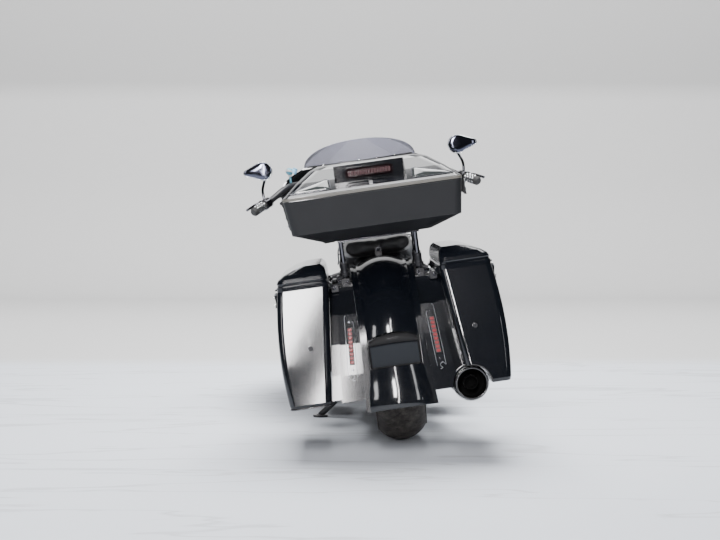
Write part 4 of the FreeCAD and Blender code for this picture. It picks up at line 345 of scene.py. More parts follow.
def black_chrome():
    return finish("black_chrome", (0.1, 0.1, 0.11), rough=0.14, metal=1.0, grain=300.0, bump=0.01, tone=0.1,
        edge=0.0012)


def black_metal():
    return finish("satin_black_metal", (0.012, 0.012, 0.014), rough=0.36, coat=0.3, coat_rough=0.2,
        grain=700.0, bump=0.03, edge=0.0015, edge_highlight_color=(0.06, 0.06, 0.065), dust=0.12, specular=0.3)


def cast_alloy():
    return finish("cast_alloy", (0.34, 0.345, 0.35), rough=0.42, metal=0.9, grain=900.0, bump=0.1,
        edge=0.0012, tone=0.25, dust=0.12)


def turned_steel():
    return finish("turned_steel", (0.5, 0.5, 0.51), rough=0.28, metal=1.0, pattern="brushed_lines",
        bump=0.04, edge=0.0008, tone=0.3)


def moulded_black():
    return finish("moulded_black", (0.02, 0.02, 0.021), rough=0.52, grain=900.0, bump=0.09, edge=0.001,
        tone=0.3, dust=0.08)


def tyre_rubber():
    return finish("tyre_rubber", (0.016, 0.0125, 0.0105), rough=0.6, grain=700.0, bump=0.12, edge=0.001,
        edge_highlight_color=(0.05, 0.048, 0.045), tone=0.45, dust=0.35, specular=0.35)


def soft_rubber():
    return finish("soft_rubber", (0.018, 0.018, 0.018), rough=0.6, grain=600.0, bump=0.08, edge=0.001,
        tone=0.3, dust=0.1)


def seat_vinyl():
    color = tuple(bpy.context.scene.cruiser_seat.vinyl_color)
    return finish("seat_vinyl", color, rough=0.44, pattern="leather_grain", grain=420.0, bump=0.22,
        edge=0.001, tone=0.35, sheen=0.12, specular=0.45)


# Near-black trim, darker than plain black plastic: partly the trim's colour, partly painted shade round the
# plate.
def black_trim_and_painted_shade():
    return finish("matt_black_trim_and_painted_shade", (0.0045, 0.0045, 0.005), rough=0.62, grain=800.0, bump=0.06, edge=0.001,
        edge_highlight_color=(0.02, 0.02, 0.021), tone=0.2, specular=0.18)


# Near-black with almost no gloss: partly soot, partly painted shade standing in for deep holes.
def dark_void():
    return finish("soot_and_painted_shade_black", (0.0015, 0.0015, 0.0015), rough=0.95, grain=300.0, bump=0.2, tone=0.5,
        specular=0.02)


def red_lens():
    return finish("dark_red_lens", (0.012, 0.003, 0.004), rough=0.12, coat=1.0, grain=240.0, bump=0.05,
        tone=0.3, edge=0.001)


def mirror_glass():
    return finish("mirror_glass", (0.085, 0.09, 0.12), rough=0.1, metal=1.0, grain=90.0, bump=0.004,
        tone=0.05, rough_spread=0.01, edge=0.0005)


def plate_plastic():
    return finish("smoked_plate", (0.0085, 0.011, 0.015), rough=0.5, coat=0.0, coat_rough=0.25, grain=700.0,
        bump=0.015, edge=0.0012, edge_highlight_color=(0.06, 0.07, 0.08), tone=0.12, specular=0.1)


def tinted_shield():
    return clear("tinted_shield", (0.42, 0.42, 0.52), rough=0.03, alpha=0.8, transmission=0.6)


def teal_plastic():
    return finish("teal_plastic", (0.06, 0.22, 0.3), rough=0.35, coat=0.4, grain=500.0, bump=0.03, tone=0.2)


def smoked_lens():
    return finish("smoked_lens", (0.03, 0.034, 0.034), rough=0.1, coat=1.0, coat_rough=0.03, grain=220.0,
        bump=0.02, tone=0.2, edge=0.0008)


def gloss_black():
    return finish("gloss_black_enamel", (0.006, 0.006, 0.007), rough=0.22, coat=0.8, coat_rough=0.12,
        grain=900.0, bump=0.015, edge=0.001, tone=0.15, dust=0.1)


def dial_white():
    return finish("dial_white", (0.42, 0.43, 0.44), rough=0.4, grain=700.0, bump=0.01, tone=0.1, edge=0.0004)


NODE_FINISHES = {
    "rear_fender": paint, "front_fender": paint, "fender_fillers": paint, "saddlebag_left": paint,
    "saddlebag_right": paint, "saddlebag_lid_left": paint, "saddlebag_lid_right": paint,
    "fuel_tank": paint, "side_covers": paint, "fairing": paint, "top_case_lid": paint,
    "top_case_base": case_plastic, "frame": black_metal, "swingarm": black_metal, "rear_axle": chrome,
    "rear_shocks": black_metal, "drive_belt": soft_rubber, "engine_cases": black_metal,
    "cylinders": black_metal, "top_end": chrome, "engine_covers": chrome, "air_cleaner": chrome,
    "exhaust_pipes": black_chrome, "muffler": black_metal, "tank_console": black_metal,
    "plate": plate_plastic, "filler_lights": moulded_black, "top_case_mount": black_chrome,
    "floorboards": black_metal, "engine_guard": black_metal, "foot_controls": chrome,
    "fork_legs": black_metal, "triple_clamps": black_metal, "brake_calipers": black_metal,
    "front_axle": chrome, "handlebar": black_metal, "grips": soft_rubber, "hand_controls": black_chrome,
    "mirrors": black_chrome, "headlight": chrome, "dash": moulded_black, "windshield": tinted_shield,
    "bar_accessory": teal_plastic, "rear_wheel": black_metal, "front_wheel": black_metal,
    "front_discs": turned_steel, "rear_disc": turned_steel, "rear_pulley": cast_alloy,
    "side_stand": black_metal, "top_case_lamp": red_lens, "seat": seat_vinyl, "backrest": seat_vinyl,
    "rear_tyre": tyre_rubber, "front_tyre": tyre_rubber,
}


# Mesh makers

def piece(name, vertices, faces, material, body, smooth=True, upright=True, sharp=35.0):
    """A mesh piece drawn on the upright machine, leaned with it and riding on one body."""
    mesh = bpy.data.meshes.new(name)
    mesh.from_pydata([tuple(v) for v in vertices], [], faces)
    if upright:
        mesh.transform(MACHINE)
    mesh.update()
    made = bmesh.new()
    made.from_mesh(mesh)
    bmesh.ops.recalc_face_normals(made, faces=made.faces)
    made.to_mesh(mesh)
    made.free()
    thing = bpy.data.objects.new(name, mesh)
    bpy.context.scene.collection.objects.link(thing)
    mesh.materials.append(material)
    if smooth:
        mesh.shade_smooth()
        mesh.set_sharp_from_angle(angle=math.radians(sharp))
    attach(thing, body)
    return thing


def spin(first, second, angle):
    """A direction between two crosswise ones, an angle on from the first."""
    return first * math.cos(angle) + second * math.sin(angle)


class Shape:
    """Vertices and faces of one piece while it grows."""

    def __init__(self):
        self.vertices = []
        self.faces = []

    def put(self, vertices, faces):
        """Join more geometry to the piece."""
        start = len(self.vertices)
        self.vertices += [Vector(v) for v in vertices]
        self.faces += [tuple(start + i for i in face) for face in faces]

    def loft(self, rings, closed=True, ends=True):
        """Skin a row of rings with equal point counts."""
        count = len(rings[0])
        points = [v for ring in rings for v in ring]
        faces = []
        for row in range(len(rings) - 1):
            for i in range(count if closed else count - 1):
                j = (i + 1) % count
                faces.append((row * count + i, row * count + j, (row + 1) * count + j,
                    (row + 1) * count + i))
        if ends:
            faces.append(tuple(range(count))[::-1])
            faces.append(tuple((len(rings) - 1) * count + i for i in range(count)))
        self.put(points, faces)

    def turn(self, profile, centre, axis, steps=24, ends=True):
        """Turn a profile of (along, radius) pairs about an axis."""
        along = Vector(axis).normalized()
        side = along.orthogonal().normalized()
        other = along.cross(side)
        rings = []
        for reach, radius in profile:
            ring = []
            for i in range(steps):
                angle = FULL_TURN * i / steps
                ring.append(Vector(centre) + along * reach + spin(side, other, angle) * max(radius, 0.0001))
            rings.append(ring)
        self.loft(rings, True, ends)

    def bolt(self, place, axis, radius=0.005, height=0.004, sides=6):
        """A bolt head on its washer."""
        self.turn([(0, radius * 1.35), (height * 0.3, radius * 1.35), (height * 0.3, radius),
            (height * 0.85, radius), (height, radius * 0.85)], place, axis, sides)

    def slab(self, outline, centre, across, up, depth, bevel=0.001):
        """A bevelled plate: an outline of (across, up) pairs, pushed out along its normal."""
        x_way = Vector(across).normalized()
        z_way = Vector(up).normalized()
        out = x_way.cross(z_way)
        middle = Vector((sum(p[0] for p in outline), sum(p[1] for p in outline))) / len(outline)
        rings = []
        for lift, inset in ((0, 0), (depth - bevel, 0), (depth, bevel)):
            ring = []
            for px, pz in outline:
                away = Vector((px, pz)) - middle
                away = away * (1 - inset / max(away.length, 0.0001))
                ring.append(Vector(centre) + x_way * (middle.x + away.x) + z_way * (middle.y + away.y) + out
                    * lift)
            rings.append(ring)
        self.loft(rings)

    def pad(self, half_across, half_up, radius, place, depth, bevel=0.001, across=RIGHT, up=UP, steps=3):
        """A flat block with rounded corners."""
        self.slab(rounded_outline(half_across, half_up, radius, steps), place, across, up, depth, bevel)

    def bar(self, points, radius, steps=10, ends=True):
        """A round bar that follows points, thick enough to stand for a lever, spring or wire."""
        rings = []
        radii = radius if isinstance(radius, (list, tuple)) else [radius] * len(points)
        points = [Vector(p) for p in points]
        side = (points[1] - points[0]).orthogonal().normalized()
        for index, point in enumerate(points):
            before = points[max(index - 1, 0)]
            after = points[min(index + 1, len(points) - 1)]
            along = (after - before).normalized()
            side = (side - along * side.dot(along)).normalized()
            other = along.cross(side)
            rings.append([point + spin(side, other, FULL_TURN * i / steps) * radii[index]
                for i in range(steps)])
        self.loft(rings, True, ends)

    def make(self, name, material, body="frame", **options):
        """Turn the gathered geometry into a piece."""
        return piece(name, self.vertices, self.faces, material, body, **options)


def rounded_outline(half_x, half_z, radius, steps=5):
    """The (across, up) pairs of a rounded rectangle."""
    outline = []
    for quadrant, (sx, sz) in enumerate(((1, 1), (-1, 1), (-1, -1), (1, -1))):
        for i in range(steps + 1):
            angle = math.pi / 2 * (quadrant + i / steps)
            outline.append((sx * (half_x - radius) + radius * math.cos(angle), sz * (half_z - radius)
                + radius * math.sin(angle)))
    return outline


def smooth_path(points, count):
    """Points of one smooth line through a row of chosen points."""
    points = [Vector(p) for p in points]
    padded = [points[0] * 2 - points[1]] + points + [points[-1] * 2 - points[-2]]
    result = []
    for i in range(count):
        place = i / (count - 1) * (len(points) - 1)
        index = min(int(place), len(points) - 2)
        t = place - index
        a, b, c, d = padded[index:index + 4]
        result.append(0.5 * ((2 * b) + (c - a) * t + (2 * a - 5 * b + 4 * c - d) * t * t
            + (3 * b - a - 3 * c + d) * t ** 3))
    return result


# Sizes and colours that a user would change

class CRUISER_PG_paint(bpy.types.PropertyGroup):
    body_color: FloatVectorProperty(name="Body colour", description="Colour of the gloss painted panels",
        default=(0.0022, 0.003, 0.0048), size=3, subtype="COLOR", min=0, max=1)
    case_color: FloatVectorProperty(name="Case colour",
        description="Colour of the top case's satin lower half", default=(0.008, 0.0083, 0.0094), size=3,
        subtype="COLOR", min=0, max=1)


class CRUISER_PG_seat(bpy.types.PropertyGroup):
    vinyl_color: FloatVectorProperty(name="Vinyl colour",
        description="Colour of the seat and backrest cover", default=(0.012, 0.012, 0.013), size=3,
        subtype="COLOR", min=0, max=1)
    swell: FloatProperty(name="Swell", description="Furthest that the padding swells from its cut shape",
        default=0.014, min=0.0, max=0.03, unit="LENGTH")


class CRUISER_PG_tyres(bpy.types.PropertyGroup):
    groove_depth: FloatProperty(name="Groove depth", description="Depth of the tread's grooves",
        default=0.0045, min=0.001, max=0.008, unit="LENGTH")
    groove_width: FloatProperty(name="Groove width", description="Width of the tread's grooves",
        default=0.0055, min=0.002, max=0.01, unit="LENGTH")
    pattern_repeats: IntProperty(name="Pattern repeats",
        description="How often the tread pattern comes round", default=26, min=12, max=48)


class CRUISER_PG_lamps(bpy.types.PropertyGroup):
    lens_color: FloatVectorProperty(name="Lens colour", description="Colour of the red rear lenses",
        default=(0.026, 0.004, 0.006), size=3, subtype="COLOR", min=0, max=1)
    glow: FloatProperty(name="Glow", description="How brightly the rear lamps are lit", default=0.15,
        min=0.0, max=10.0)


class CRUISER_PG_stage(bpy.types.PropertyGroup):
    floor_color: FloatVectorProperty(name="Floor colour", description="Colour of the studio floor",
        default=(0.58, 0.61, 0.66), size=3, subtype="COLOR", min=0, max=1)
    wall_color: FloatVectorProperty(name="Wall colour", description="Colour of the studio wall",
        default=(0.52, 0.52, 0.52), size=3, subtype="COLOR", min=0, max=1)
    light_power: FloatProperty(name="Light power", description="Power of the main light", default=260.0,
        min=0.0, max=5000.0, unit="POWER")


# Operators, one for each piece or group of like pieces

class CRUISER_OT_finishes(bpy.types.Operator):
    """Give each solid piece of the machine its own finish"""
    bl_idname = "cruiser.finishes"
    bl_label = "Finish the solid pieces"

    def execute(self, context):
        for name, maker in NODE_FINISHES.items():
            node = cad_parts[name]
            material = maker()
            node.data.materials.clear()
            node.data.materials.append(material)
        return {"FINISHED"}


class CRUISER_OT_stage(bpy.types.Operator):
    """Set up the pale studio floor and wall, the soft lights and the camera"""
    bl_idname = "cruiser.stage"
    bl_label = "Stage, lights and camera"

    def execute(self, context):
        settings = context.scene.cruiser_stage
        floor = finish("studio_floor", tuple(settings.floor_color), rough=0.7, grain=60.0, bump=0.01,
            tone=0.03, edge=0.0001, coat=0.0, specular=0.05)
        wall = finish("studio_wall", tuple(settings.wall_color), rough=0.8, grain=30.0, bump=0.01, tone=0.03,
            edge=0.0001, specular=0.1)
        near, far, half, level = -10, 8.1, 14, -0.0006
        vertices = [(-half, near, level), (half, near, level), (half, far, level), (-half, far, level)]
        veined_floor_with_painted_shadow(floor, tuple(settings.wall_color))
        ground = piece("studio_floor", vertices, [(0, 1, 2, 3)], floor, "frame", smooth=False, upright=False)
        foot_y, bend, wall_half = 8.0, 1.2, 16
        line = []
        for i in range(13):
            angle = math.pi / 2 * i / 12
            line.append((foot_y + bend * math.sin(angle), -0.001 + bend * (1 - math.cos(angle))))
        line += [(9.2, 2.0), (9.16, 2.12), (8.2, 5.2), (7.0, 9.0)]
        rings = [[Vector((x, y, z)) for y, z in line] for x in (-wall_half, wall_half)]
        shape = Shape()
        shape.loft(rings, closed=False, ends=False)
        # The wall's upper part gets a painted shade.
        shaded_wall(wall, tuple(c * 0.82 for c in settings.wall_color))
        back = shape.make("studio_wall", wall, upright=False, sharp=80)
        world = bpy.data.worlds.new("studio_air")
        world.use_nodes = True
        world.node_tree.nodes["Background"].inputs["Color"].default_value = (0.42, 0.44, 0.5, 1)
        world.node_tree.nodes["Background"].inputs["Strength"].default_value = 0.12
        context.scene.world = world
        power = settings.light_power
        softbox("main_softbox", (-1.02, -6.7, 2.9), (-0.35, -0.5, 0.45), 0.5, 2.3, power * 1.25,
            (1.0, 0.99, 1.0))
        softbox("strip_softbox", (-0.372, -6.7, 2.65), (-0.17, -0.5, 0.4), 0.085, 4.6, power * 0.6,
            (1.0, 0.97, 0.98))
        softbox("side_softbox", (-3.4, -4.6, 2.0), (0, -0.5, 0.5), 0.6, 1.8, power * 0.18, (1.0, 0.99, 1.0))
        softbox("fill_softbox", (2.6, -5.6, 1.7), (0.2, -0.5, 0.4), 0.35, 1.5, power * 0.07,
            (0.97, 0.98, 1.0))
        softbox("top_softbox", (0.1, 0.4, 4.4), (0.1, 0.4, 0.0), 3.2, 3.2, power * 1.3, (1, 1, 1))
        softbox("overhead_light", (0.0, 0.2, 4.6), (0.0, -0.4, 0.0), 2.6, 2.4, power * 1.4, (1, 1, 1),
            mirrored=False)
        softbox("wall_light", (0.0, 3.6, 5.4), (0, 9.2, 1.6), 14.0, 1.6, power * 5.3, (1, 1, 1),
            mirrored=False)
        softbox("near_light", (0.0, -7.4, 5.6), (0, -4.4, 0.0), 9.0, 1.6, power * 0.45, (1, 1, 1),
            mirrored=False)
        place_camera(context)
        return {"FINISHED"}


def veined_floor_with_painted_shadow(material, far_color):
    """Thin pale stone veins, a painted shadow that darkens the floor under the machine, and the wall's
    colour where the stone ends.
    """
    tree = material.node_tree
    shader = tree.nodes["Principled BSDF"]
    base = shader.inputs["Base Color"].links[0].from_socket
    place = add(tree, "TexCoord")
    stretch = add(tree, "Mapping", Scale=(0.42, 2.3, 1.0), Rotation=(0, 0, 0.16))
    noise = add(tree, "TexNoise", Scale=0.9, Detail=4.0, Roughness=0.55, Distortion=0.5)
    middle = add(tree, "Math", operation="SUBTRACT")
    middle.inputs[1].default_value = 0.5
    away = add(tree, "Math", operation="ABSOLUTE")
    line = add(tree, "MapRange", From_Max=0.014, To_Min=0.45, To_Max=0.0)
    split = add(tree, "SeparateXYZ")
    end = add(tree, "MapRange", From_Min=1.95, From_Max=2.45)
    wire(place, "Object", stretch, "Vector")
    wire(stretch, "Vector", noise, "Vector")
    wire(noise, "Fac", middle, 0)
    wire(middle, "Value", away, 0)
    wire(away, "Value", line, "Value")
    wire(place, "Object", split, 0)
    wire(split, "Y", end, "Value")
    veined = blend_color(tree, line.outputs["Result"], base, (0.34, 0.35, 0.37))
    # Painted shadow: the floor's colour darkens in a soft oval under the machine.
    from_shadow_middle = add(tree, "VectorMath", operation="SUBTRACT")
    from_shadow_middle.inputs[1].default_value = (-0.14, 0.45, 0.0)
    shadow_oval = add(tree, "VectorMath", operation="MULTIPLY")
    shadow_oval.inputs[1].default_value = (1.75, 0.72, 0.0)
    spread = add(tree, "VectorMath", operation="LENGTH")
    painted_shadow_mask = add(tree, "MapRange", interpolation_type="SMOOTHSTEP", From_Min=0.3, From_Max=1.05, To_Min=0.8,
        To_Max=0.0)
    wire(place, "Object", from_shadow_middle, 0)
    wire(from_shadow_middle, "Vector", shadow_oval, 0)
    wire(shadow_oval, "Vector", spread, 0)
    wire(spread, "Value", painted_shadow_mask, "Value")
    veined = blend_color(tree, painted_shadow_mask.outputs["Result"], veined, (0.085, 0.088, 0.096))
    tree.links.new(blend_color(tree, end.outputs["Result"], veined, far_color), shader.inputs["Base Color"])


def shaded_wall(material, painted_shade_color):
    """Painted shade: the wall's upper part is darker, above a soft level line."""
    tree = material.node_tree
    shader = tree.nodes["Principled BSDF"]
    base = shader.inputs["Base Color"].links[0].from_socket
    place = add(tree, "TexCoord")
    split = add(tree, "SeparateXYZ")
    rise = add(tree, "MapRange", From_Min=1.92, From_Max=2.1)
    wire(place, "Object", split, 0)
    wire(split, "Z", rise, "Value")
    tree.links.new(blend_color(tree, rise.outputs["Result"], base, painted_shade_color), shader.inputs["Base Color"])


def softbox(name, place, target, width, height, power, color, mirrored=True):
    """A large soft area light aimed at a point."""
    data = bpy.data.lights.new(name, "AREA")
    data.shape = "RECTANGLE"
    data.size = width
    data.size_y = height
    data.energy = power
    data.color = color
    light = bpy.data.objects.new(name, data)
    light.location = place
    light.visible_glossy = mirrored
    light.rotation_euler = (Vector(target) - Vector(place)).to_track_quat("-Z", "Y").to_euler()
    bpy.context.scene.collection.objects.link(light)


def place_camera(context):
    """The camera behind the machine, low and level, as the photograph was taken."""
    data = bpy.data.cameras.new("camera")
    data.lens = 79.35
    data.sensor_width = 36.0
    data.clip_end = 100.0
    camera = bpy.data.objects.new("camera", data)
    camera.location = GROUND_POINT + Vector((-0.2617, -6.198, 0.947))
    turn = math.radians(0.82)
    dip = math.radians(2.63)
    way = Vector((math.sin(turn) * math.cos(dip), math.cos(turn) * math.cos(dip), -math.sin(dip)))
    camera.rotation_euler = way.to_track_quat("-Z", "Y").to_euler()
    context.scene.collection.objects.link(camera)
    context.scene.camera = camera


# Tyres

WELD_REACH = 0.00002


def tyre_profile(radius, half_width, crown, rim_radius, count):
    """Points across a tyre from bead to bead, as (x, radius), with their share of the tread's width."""
    edge = half_width * 0.9
    edge_drop = crown - math.sqrt(crown * crown - edge * edge)
    tread = []
    for i in range(count + 1):
        x = edge * (2 * i / count - 1)
        tread.append((x, radius - crown + math.sqrt(crown * crown - x * x), x / edge))
    shoulder = radius - edge_drop
    wall = []
    for share, out in ((0.085, 0.948), (0.17, 0.978), (0.27, 0.993), (0.38, 1.0), (0.52, 0.995), (0.7, 0.96),
            (0.86, 0.88), (0.94, 0.83), (1.0, 0.76)):
        wall.append((half_width * out, shoulder + (rim_radius - shoulder) * share, 2.0))
    left = [(-x, r, -2.0) for x, r, _ in wall[::-1]]
    return left + tread + wall


def groove_share(turn, across):
    """How deep the tread is cut at a place: turn counts pattern repeats and across runs from -1 to 1."""
    side = 1 if across > 0 else -1
    reach = abs(across)
    width = bpy.context.scene.cruiser_tyres.groove_width * 7.5
    deepest = 0.0
    shift = 0.0 if side > 0 else 0.5
    for phase, start, stop, bow in ((0.0, 0.06, 0.8, 1.25), (0.5, 0.42, 0.93, 0.95)):
        if start < reach < stop:
            line = (turn + shift + phase - bow * reach ** 1.4) % 1.0
            away = min(line, 1 - line)
            ends = min(1.0, (reach - start) / 0.06, (stop - reach) / 0.06)
            deepest = max(deepest, ends * max(0.0, min(1.0, 1.5 - away / width * 2.2)))
    return deepest


STEPS_PER_REPEAT = 26


def tyre_shape(centre, radius, half_width, crown, rim_radius):
    """A tyre with its grooves cut into the tread."""
    settings = bpy.context.scene.cruiser_tyres
    profile = tyre_profile(radius, half_width, crown, rim_radius, 64)
    steps = settings.pattern_repeats * STEPS_PER_REPEAT
    shape = Shape()
    rings = []
    for i in range(steps):
        angle = FULL_TURN * i / steps
        ring = []
        for x, r, across in profile:
            if abs(across) <= 1:
                r -= settings.groove_depth * groove_share(i / STEPS_PER_REPEAT, across)
            ring.append(centre + Vector((x, r * math.cos(angle), r * math.sin(angle))))
        rings.append(ring)
    rings.append(rings[0])
    shape.loft(rings, closed=False, ends=False)
    return shape


def weld(thing):
    """Join a piece's doubled points."""
    made = bmesh.new()
    made.from_mesh(thing.data)
    bmesh.ops.remove_doubles(made, verts=made.verts, dist=WELD_REACH)
    bmesh.ops.recalc_face_normals(made, faces=made.faces)
    made.to_mesh(thing.data)
    made.free()


FRONT_AXLE = Vector((0, WHEELBASE, AXLE_HEIGHT))
REAR_AXLE = Vector((0, 0, AXLE_HEIGHT))


class CRUISER_OT_tyres(bpy.types.Operator):
    """Mould both tyres with their curved tread grooves and sidewall rings"""
    bl_idname = "cruiser.tyres"
    bl_label = "Tyres"

    def execute(self, context):
        for name, centre, half, crown, rim, body in (("rear_road_tyre", REAR_AXLE, 0.095, 0.11, 0.2035,
                "rear_wheel"), ("front_road_tyre", FRONT_AXLE, 0.065, 0.08, 0.2416, "front_wheel")):
            shape = tyre_shape(centre, AXLE_HEIGHT, half, crown, rim)
            tyre = shape.make(name, tyre_rubber(), body, sharp=40)
            weld(tyre)
            tyre.data.shade_smooth()
            tyre.data.set_sharp_from_angle(angle=math.radians(40))
            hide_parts("rear_tyre" if body == "rear_wheel" else "front_tyre")
            rings = Shape()
            for side in (-1, 1):
                for share, proud in ((0.18, 0.0012), (0.8, 0.0015)):
                    r = AXLE_HEIGHT - 0.036 + (rim - AXLE_HEIGHT + 0.036) * share
                    x = side * (half * (0.99 if share < 0.5 else 0.905))
                    rings.turn([(-0.002, r - 0.003), (proud, r - 0.0015), (proud, r + 0.0015),
                        (-0.002, r + 0.003)], centre + Vector((x, 0, 0)), (side, 0, 0), 96, ends=False)
            rings.make(name + "_wall_rings", tyre_rubber(), body)
            valve = Shape()
            place = centre + Vector((half * 0.1, 0, -(rim - 0.014)))
            valve.turn([(0, 0.004), (0.004, 0.0055), (0.012, 0.0045), (0.02, 0.003), (0.034, 0.003),
                (0.034, 0.004), (0.042, 0.004), (0.043, 0.002)], place, UP, 14)
            valve.make(name + "_valve", soft_rubber(), body)
        return {"FINISHED"}


# Seat

def section_ring(y, half, low, high, radius, steps=6):
    """A rounded section across the machine at one place along it."""
    middle = (low + high) / 2
    tall = (high - low) / 2
    outline = rounded_outline(half, tall, min(radius, tall - 0.001, half - 0.001), steps)
    return [Vector((px, y, middle + pz)) for px, pz in outline]


def smooth_stations(stations, count):
    """More stations, blended smoothly between the chosen ones."""
    places = [Vector((s[0], s[1], s[2])) for s in stations]
    others = [Vector((s[3], s[4], 0)) for s in stations]
    pairs = zip(smooth_path(places, count), smooth_path(others, count))
    return [(a.x, a.y, a.z, b.x, b.y) for a, b in pairs]


COVER_CELL = 0.006
COVER_PRESSURE = 4.0
CLOTH_FRAMES = 20


def swell_cushion(thing, cap):
    """Fill a cut cover by cloth simulation and keep the swollen form."""
    mesh = thing.data
    rest = bpy.data.objects.new(thing.name + "_cut", mesh.copy())
    bpy.context.scene.collection.objects.link(rest)
    bpy.context.view_layer.objects.active = rest
    remesh = rest.modifiers.new("cover", "REMESH")
    remesh.mode = "VOXEL"
    remesh.voxel_size = COVER_CELL
    graph = bpy.context.evaluated_depsgraph_get()
    cut = bpy.data.meshes.new_from_object(rest.evaluated_get(graph))
    bpy.data.objects.remove(rest)
    work = bpy.data.objects.new(thing.name + "_work", cut)
    bpy.context.scene.collection.objects.link(work)
    cloth = work.modifiers.new("padding", "CLOTH")
    cloth.settings.use_pressure = True
    cloth.settings.uniform_pressure_force = COVER_PRESSURE
    cloth.settings.effector_weights.gravity = 0
    cloth.settings.tension_stiffness = 25
    cloth.settings.bending_stiffness = 4
    cloth.point_cache.frame_end = CLOTH_FRAMES
    for frame_number in range(1, CLOTH_FRAMES + 1):
        bpy.context.scene.frame_set(frame_number)
    graph = bpy.context.evaluated_depsgraph_get()
    swollen = work.evaluated_get(graph).to_mesh()
    result = bpy.data.meshes.new(thing.name + "_cover")
    points = []
    for before, after in zip(cut.vertices, swollen.vertices):
        move = after.co - before.co
        if move.length > cap:
            move = move.normalized() * cap
        points.append(before.co + move)
    result.from_pydata([tuple(p) for p in points], [], [tuple(f.vertices) for f in cut.polygons])
    work.evaluated_get(graph).to_mesh_clear()
    bpy.data.objects.remove(work)
    bpy.context.scene.frame_set(1)
    result.materials.append(mesh.materials[0])
    result.shade_smooth()
    thing.data = result
    soften = thing.modifiers.new("soften", "SMOOTH")
    soften.factor = 0.5
    soften.iterations = 4
    fine = thing.modifiers.new("fine", "SUBSURF")
    fine.levels = 1
    fine.render_levels = 1


SEAT_STATIONS = [(0.634, 0.074, 0.764, 0.782, 0.01), (0.61, 0.086, 0.738, 0.782, 0.018),
    (0.56, 0.103, 0.708, 0.77, 0.026), (0.5, 0.13, 0.69, 0.748, 0.028), (0.43, 0.154, 0.67, 0.722, 0.026),
    (0.33, 0.167, 0.665, 0.71, 0.026), (0.262, 0.163, 0.668, 0.728, 0.028),
    (0.225, 0.16, 0.692, 0.765, 0.03), (0.17, 0.15, 0.734, 0.79, 0.028), (0.04, 0.142, 0.735, 0.796, 0.03),
    (-0.062, 0.127, 0.736, 0.786, 0.025)]

BACKREST_STATIONS = [(-0.0785, 0.132, 0.88, 0.954, 0.03), (-0.072, 0.142, 0.87, 0.964, 0.036),
    (-0.055, 0.15, 0.864, 0.97, 0.042), (-0.042, 0.146, 0.868, 0.966, 0.042),
    (-0.032, 0.128, 0.884, 0.95, 0.034)]


class CRUISER_OT_seat(bpy.types.Operator):
    """Upholster the rider's bucket, the passenger place and the backrest"""
    bl_idname = "cruiser.seat"
    bl_label = "Seat and backrest"

    def execute(self, context):
        settings = context.scene.cruiser_seat
        vinyl = seat_vinyl()
        shape = Shape()
        shape.loft([section_ring(*station) for station in smooth_stations(SEAT_STATIONS, 44)])
        cover = shape.make("seat_cover", vinyl, sharp=60)
        swell_cushion(cover, settings.swell * 0.55)
        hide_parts("seat")
        back = Shape()
        back.loft([section_ring(*station, 8) for station in BACKREST_STATIONS])
        pad = back.make("backrest_pad", vinyl, sharp=60)
        swell_cushion(pad, settings.swell)
        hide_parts("backrest")
        self.piping(vinyl)
        return {"FINISHED"}

    def piping(self, vinyl):
        """Welts along the seat's upper edges and across where the two places meet."""
        welts = Shape()
        stations = smooth_stations(SEAT_STATIONS, 60)
        for side in (-1, 1):
            line = [Vector((side * (half - radius * 0.16), y, high - radius * 0.42))
                for y, half, _, high, radius in stations[3:-3]]
            welts.bar(line, 0.0028, 8)
        for y, half, high, radius in ((0.245, 0.164, 0.748, 0.029), (0.1, 0.15, 0.794, 0.032)):
            line = []
            for i in range(25):
                x = (half - radius * 0.3) * (2 * i / 24 - 1)
                drop = radius * 0.35 * max(0.0, abs(x) / (half - radius) - 0.82) / 0.3
                line.append(Vector((x, y - 0.02 * (1 - (x / half) ** 2), high + 0.004 - drop)))
            welts.bar(line, 0.0026, 8)
        welts.make("seat_welts", vinyl)


# Rear lamps, plate and fender hardware

LIGHT_LOW = Vector((0.158, -0.49, 0.368))
LIGHT_HIGH = Vector((0.15, -0.46, 0.498))
LENS_DEPTH = 0.0041
LAMP_BAR_Y = -0.4372
LAMP_BAR_Z = 1.05
SIDES = ((1, "right"), (-1, "left"))


def mirror_x(point, side):
    """The same place on one side of the machine: 1 for the right, -1 for the left."""
    return Vector((point[0] * side, point[1], point[2]))


def filler_face(x, along, side, out=0.0):
    """A place on a filler's rear face: x across from the light's axis, along up from its foot."""
    z = LIGHT_LOW.z + along
    heights = (0.236, 0.33, 0.44, 0.545)
    depths = (-0.506, -0.492, -0.468, -0.424)
    y = depths[-1]
    for low, high, first, last in zip(heights, heights[1:], depths, depths[1:]):
        if z <= high:
            y = first + (last - first) * (z - low) / (high - low)
            break
    centre = LIGHT_LOW.x + (LIGHT_HIGH.x - LIGHT_LOW.x) * along / (LIGHT_HIGH.z - LIGHT_LOW.z)
    return Vector(((centre + x) * side, y - out, z))


